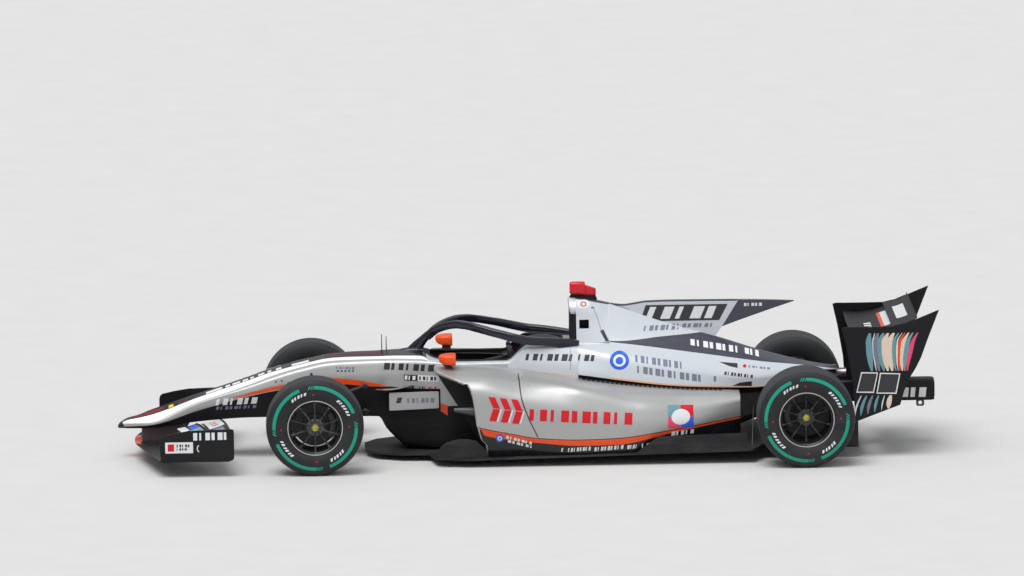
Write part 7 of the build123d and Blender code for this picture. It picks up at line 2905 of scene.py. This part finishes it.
class RACING_OT_cockpit(Builder, bpy.types.Operator):
    """Seat, harness, headrest and steering wheel"""

    bl_idname = "racing.cockpit"
    bl_label = "Cockpit"

    def execute(self, context):
        shell = build("seat_shell", surface(seat_surface()), "chassis", look("dry_carbon"))
        thicken(shell, 5)
        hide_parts("seat")
        for name, rows, cols in (
            ("thigh", (2, 22), (3, 26)), ("lumbar", (23, 31), (4, 25)), ("shoulder", (31, 39), (5, 24)),
        ):
            pad = recalculated(build(f"seat_pad_{name}", pad_form(rows, cols), "chassis", look("leather")))
            inflate(pad, 3.0, 6.0)
        rest = recalculated(build("headrest_pad", headrest_form(), "chassis", look("padding")))
        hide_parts("headrest")
        inflate(rest, 3.0, 6.0)
        build("harness", harness(), "chassis", look("webbing"))
        build("harness_buckle", buckle(), "chassis", [look("dark_alloy"), look("red_mark")])
        body = build("steering_plate", steering_body(), "steering_wheel", look("carbon"), sharp=40)
        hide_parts("steering_wheel")
        build("steering_grips", grips(), "steering_wheel", look("soft_grip"), sharp=60)
        parts = [
            look("satin_black"), look("gloss_black"), look("red_mark"), look("blue_mark"),
            mark_paints()[YELLOW],
        ]
        build("steering_controls", steering_controls(), "steering_wheel", parts, sharp=40)
        return {"FINISHED"}


class RACING_OT_underside(Builder, bpy.types.Operator):
    """Plates, vanes and stays beside and under the tub"""

    bl_idname = "racing.underside"
    bl_label = "Underside"

    def execute(self, context):
        piece = slabs("side_plates", pair(side_plate(), 309.0, 315.0), "chassis", look("silver"), 2.0)
        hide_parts("bargeboards")
        place = Place(on_plane(315.0), 1400, 1800)
        marks = [
            row(place, (-770, 396), (-590, 396), 30, 6, GREY, 0.0, 1),
            quad(place, [(-830, 402), (-800, 402), (-812, 366), (-842, 366)], DARK),
        ]
        marks = both(joined([upright(form) for form in marks]))
        build("side_plate_marks", marks, "chassis", mark_paints(), weld=False)
        build("side_plate_stays", both(plate_stays()), "chassis", look("carbon"))
        build("side_winglets", both(winglet()), "chassis", [look("silver")], sharp=45)
        outline = foot_vane()
        slabs("foot_vanes", pair(outline, 666, 674), "chassis", look("dry_carbon"), 1.5)
        build("floor_stays", both(floor_stays()), "chassis", look("dark_alloy"))
        return {"FINISHED"}


class RACING_OT_wheels(Builder, bpy.types.Operator):
    """Tyres, rims, brakes and nuts"""

    bl_idname = "racing.wheels"
    bl_label = "Wheels"

    def execute(self, context):
        wall = rubber("Tyre wall", (0.0135, 0.0145, 0.0155, 1), 1.6, 0.55)
        tread = rubber("Tyre tread", (0.036, 0.038, 0.041, 1), 0.0, 0.7)
        green = colour_mark("Tyre band", paints().band)
        for wheel in wheels():
            shell = build(f"tyre_{wheel.name}_skin", tyre(wheel), wheel.body, [wall, tread])
            map_section(shell, wheel.axle)
            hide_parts(f"tyre_{wheel.name}")
            build(
                f"tyre_{wheel.name}_marks", wall_marks(wheel), wheel.body,
                [green, look("white_mark"), look("red_mark")], weld=False,
            )
            ring = build(
                f"rim_{wheel.name}_barrel", barrel(wheel), wheel.body, [look("rim_paint"), look("alloy")],
            )
            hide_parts(f"rim_{wheel.name}")
            build(f"rim_{wheel.name}_spokes", spokes(wheel), wheel.body, look("rim_paint"))
            build(f"rim_{wheel.name}_hub", hub(wheel), wheel.body, look("dark_alloy"))
            build(f"rim_{wheel.name}_nut", nut(wheel), wheel.body, look("brass"))
            build(f"rim_{wheel.name}_disc", brake(wheel), wheel.body, look("disc_carbon"))
        return {"FINISHED"}


class RACING_OT_stage(Builder, bpy.types.Operator):
    """Floor, lights, world and camera"""

    bl_idname = "racing.stage"
    bl_label = "Stage"

    def execute(self, context):
        scene = bpy.context.scene
        scene.view_settings.view_transform = "Standard"
        world()
        ground()
        lamp("Key", (-0.2, -0.32, 0.93), 38, 2.3)
        lamp("Fill", (0.35, -0.85, 0.4), 60, 0.35)
        camera()
        return {"FINISHED"}


NODE_FINISH = {
    "skid_plank": "plank_board",
    "engine_block": "dark_alloy",
    "gearbox": "dark_alloy",
    "exhaust": "exhaust_metal",
    "headrest": "padding",
    "seat": "leather",
    "steering_wheel": "soft_grip",
    "steering_column": "dry_carbon",
    "front_left_upright": "dark_alloy",
    "front_right_upright": "dark_alloy",
    "rear_uprights": "dark_alloy",
    "track_rods": "dark_alloy",
    "driveshaft_rear_left": "dark_alloy",
    "driveshaft_rear_right": "dark_alloy",
}


class RACING_PT_panel(bpy.types.Panel):
    """Lists the steps that build the car"""

    bl_idname = "RACING_PT_panel"
    bl_label = "Racing car"
    bl_space_type = "VIEW_3D"
    bl_region_type = "UI"
    bl_category = "Racing car"

    def draw(self, context):
        column = self.layout.column()
        for name in RacingPaint.__annotations__:
            column.prop(context.scene.racing_paint, name)
        for step in STEPS:
            column.operator(step.bl_idname)


STEPS = (
    RACING_OT_solids,
    RACING_OT_hull,
    RACING_OT_sidepods,
    RACING_OT_cover,
    RACING_OT_guard,
    RACING_OT_front_wing,
    RACING_OT_rear_wing,
    RACING_OT_suspension,
    RACING_OT_cockpit,
    RACING_OT_underside,
    RACING_OT_wheels,
    RACING_OT_stage,
)


def register():
    """Registers the add-on's classes and its settings on the scene."""
    for kind in (RacingPaint, *STEPS, RACING_PT_panel):
        bpy.utils.register_class(kind)
    bpy.types.Scene.racing_paint = PointerProperty(type=RacingPaint)


def unregister():
    """Removes them again."""
    del bpy.types.Scene.racing_paint
    for kind in reversed((RacingPaint, *STEPS, RACING_PT_panel)):
        bpy.utils.unregister_class(kind)


def main():
    """Registers the add-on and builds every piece."""
    register()
    for step in STEPS:
        group, name = step.bl_idname.split(".")
        getattr(getattr(bpy.ops, group), name)()
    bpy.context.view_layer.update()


if __name__ == "__main__":
    main()
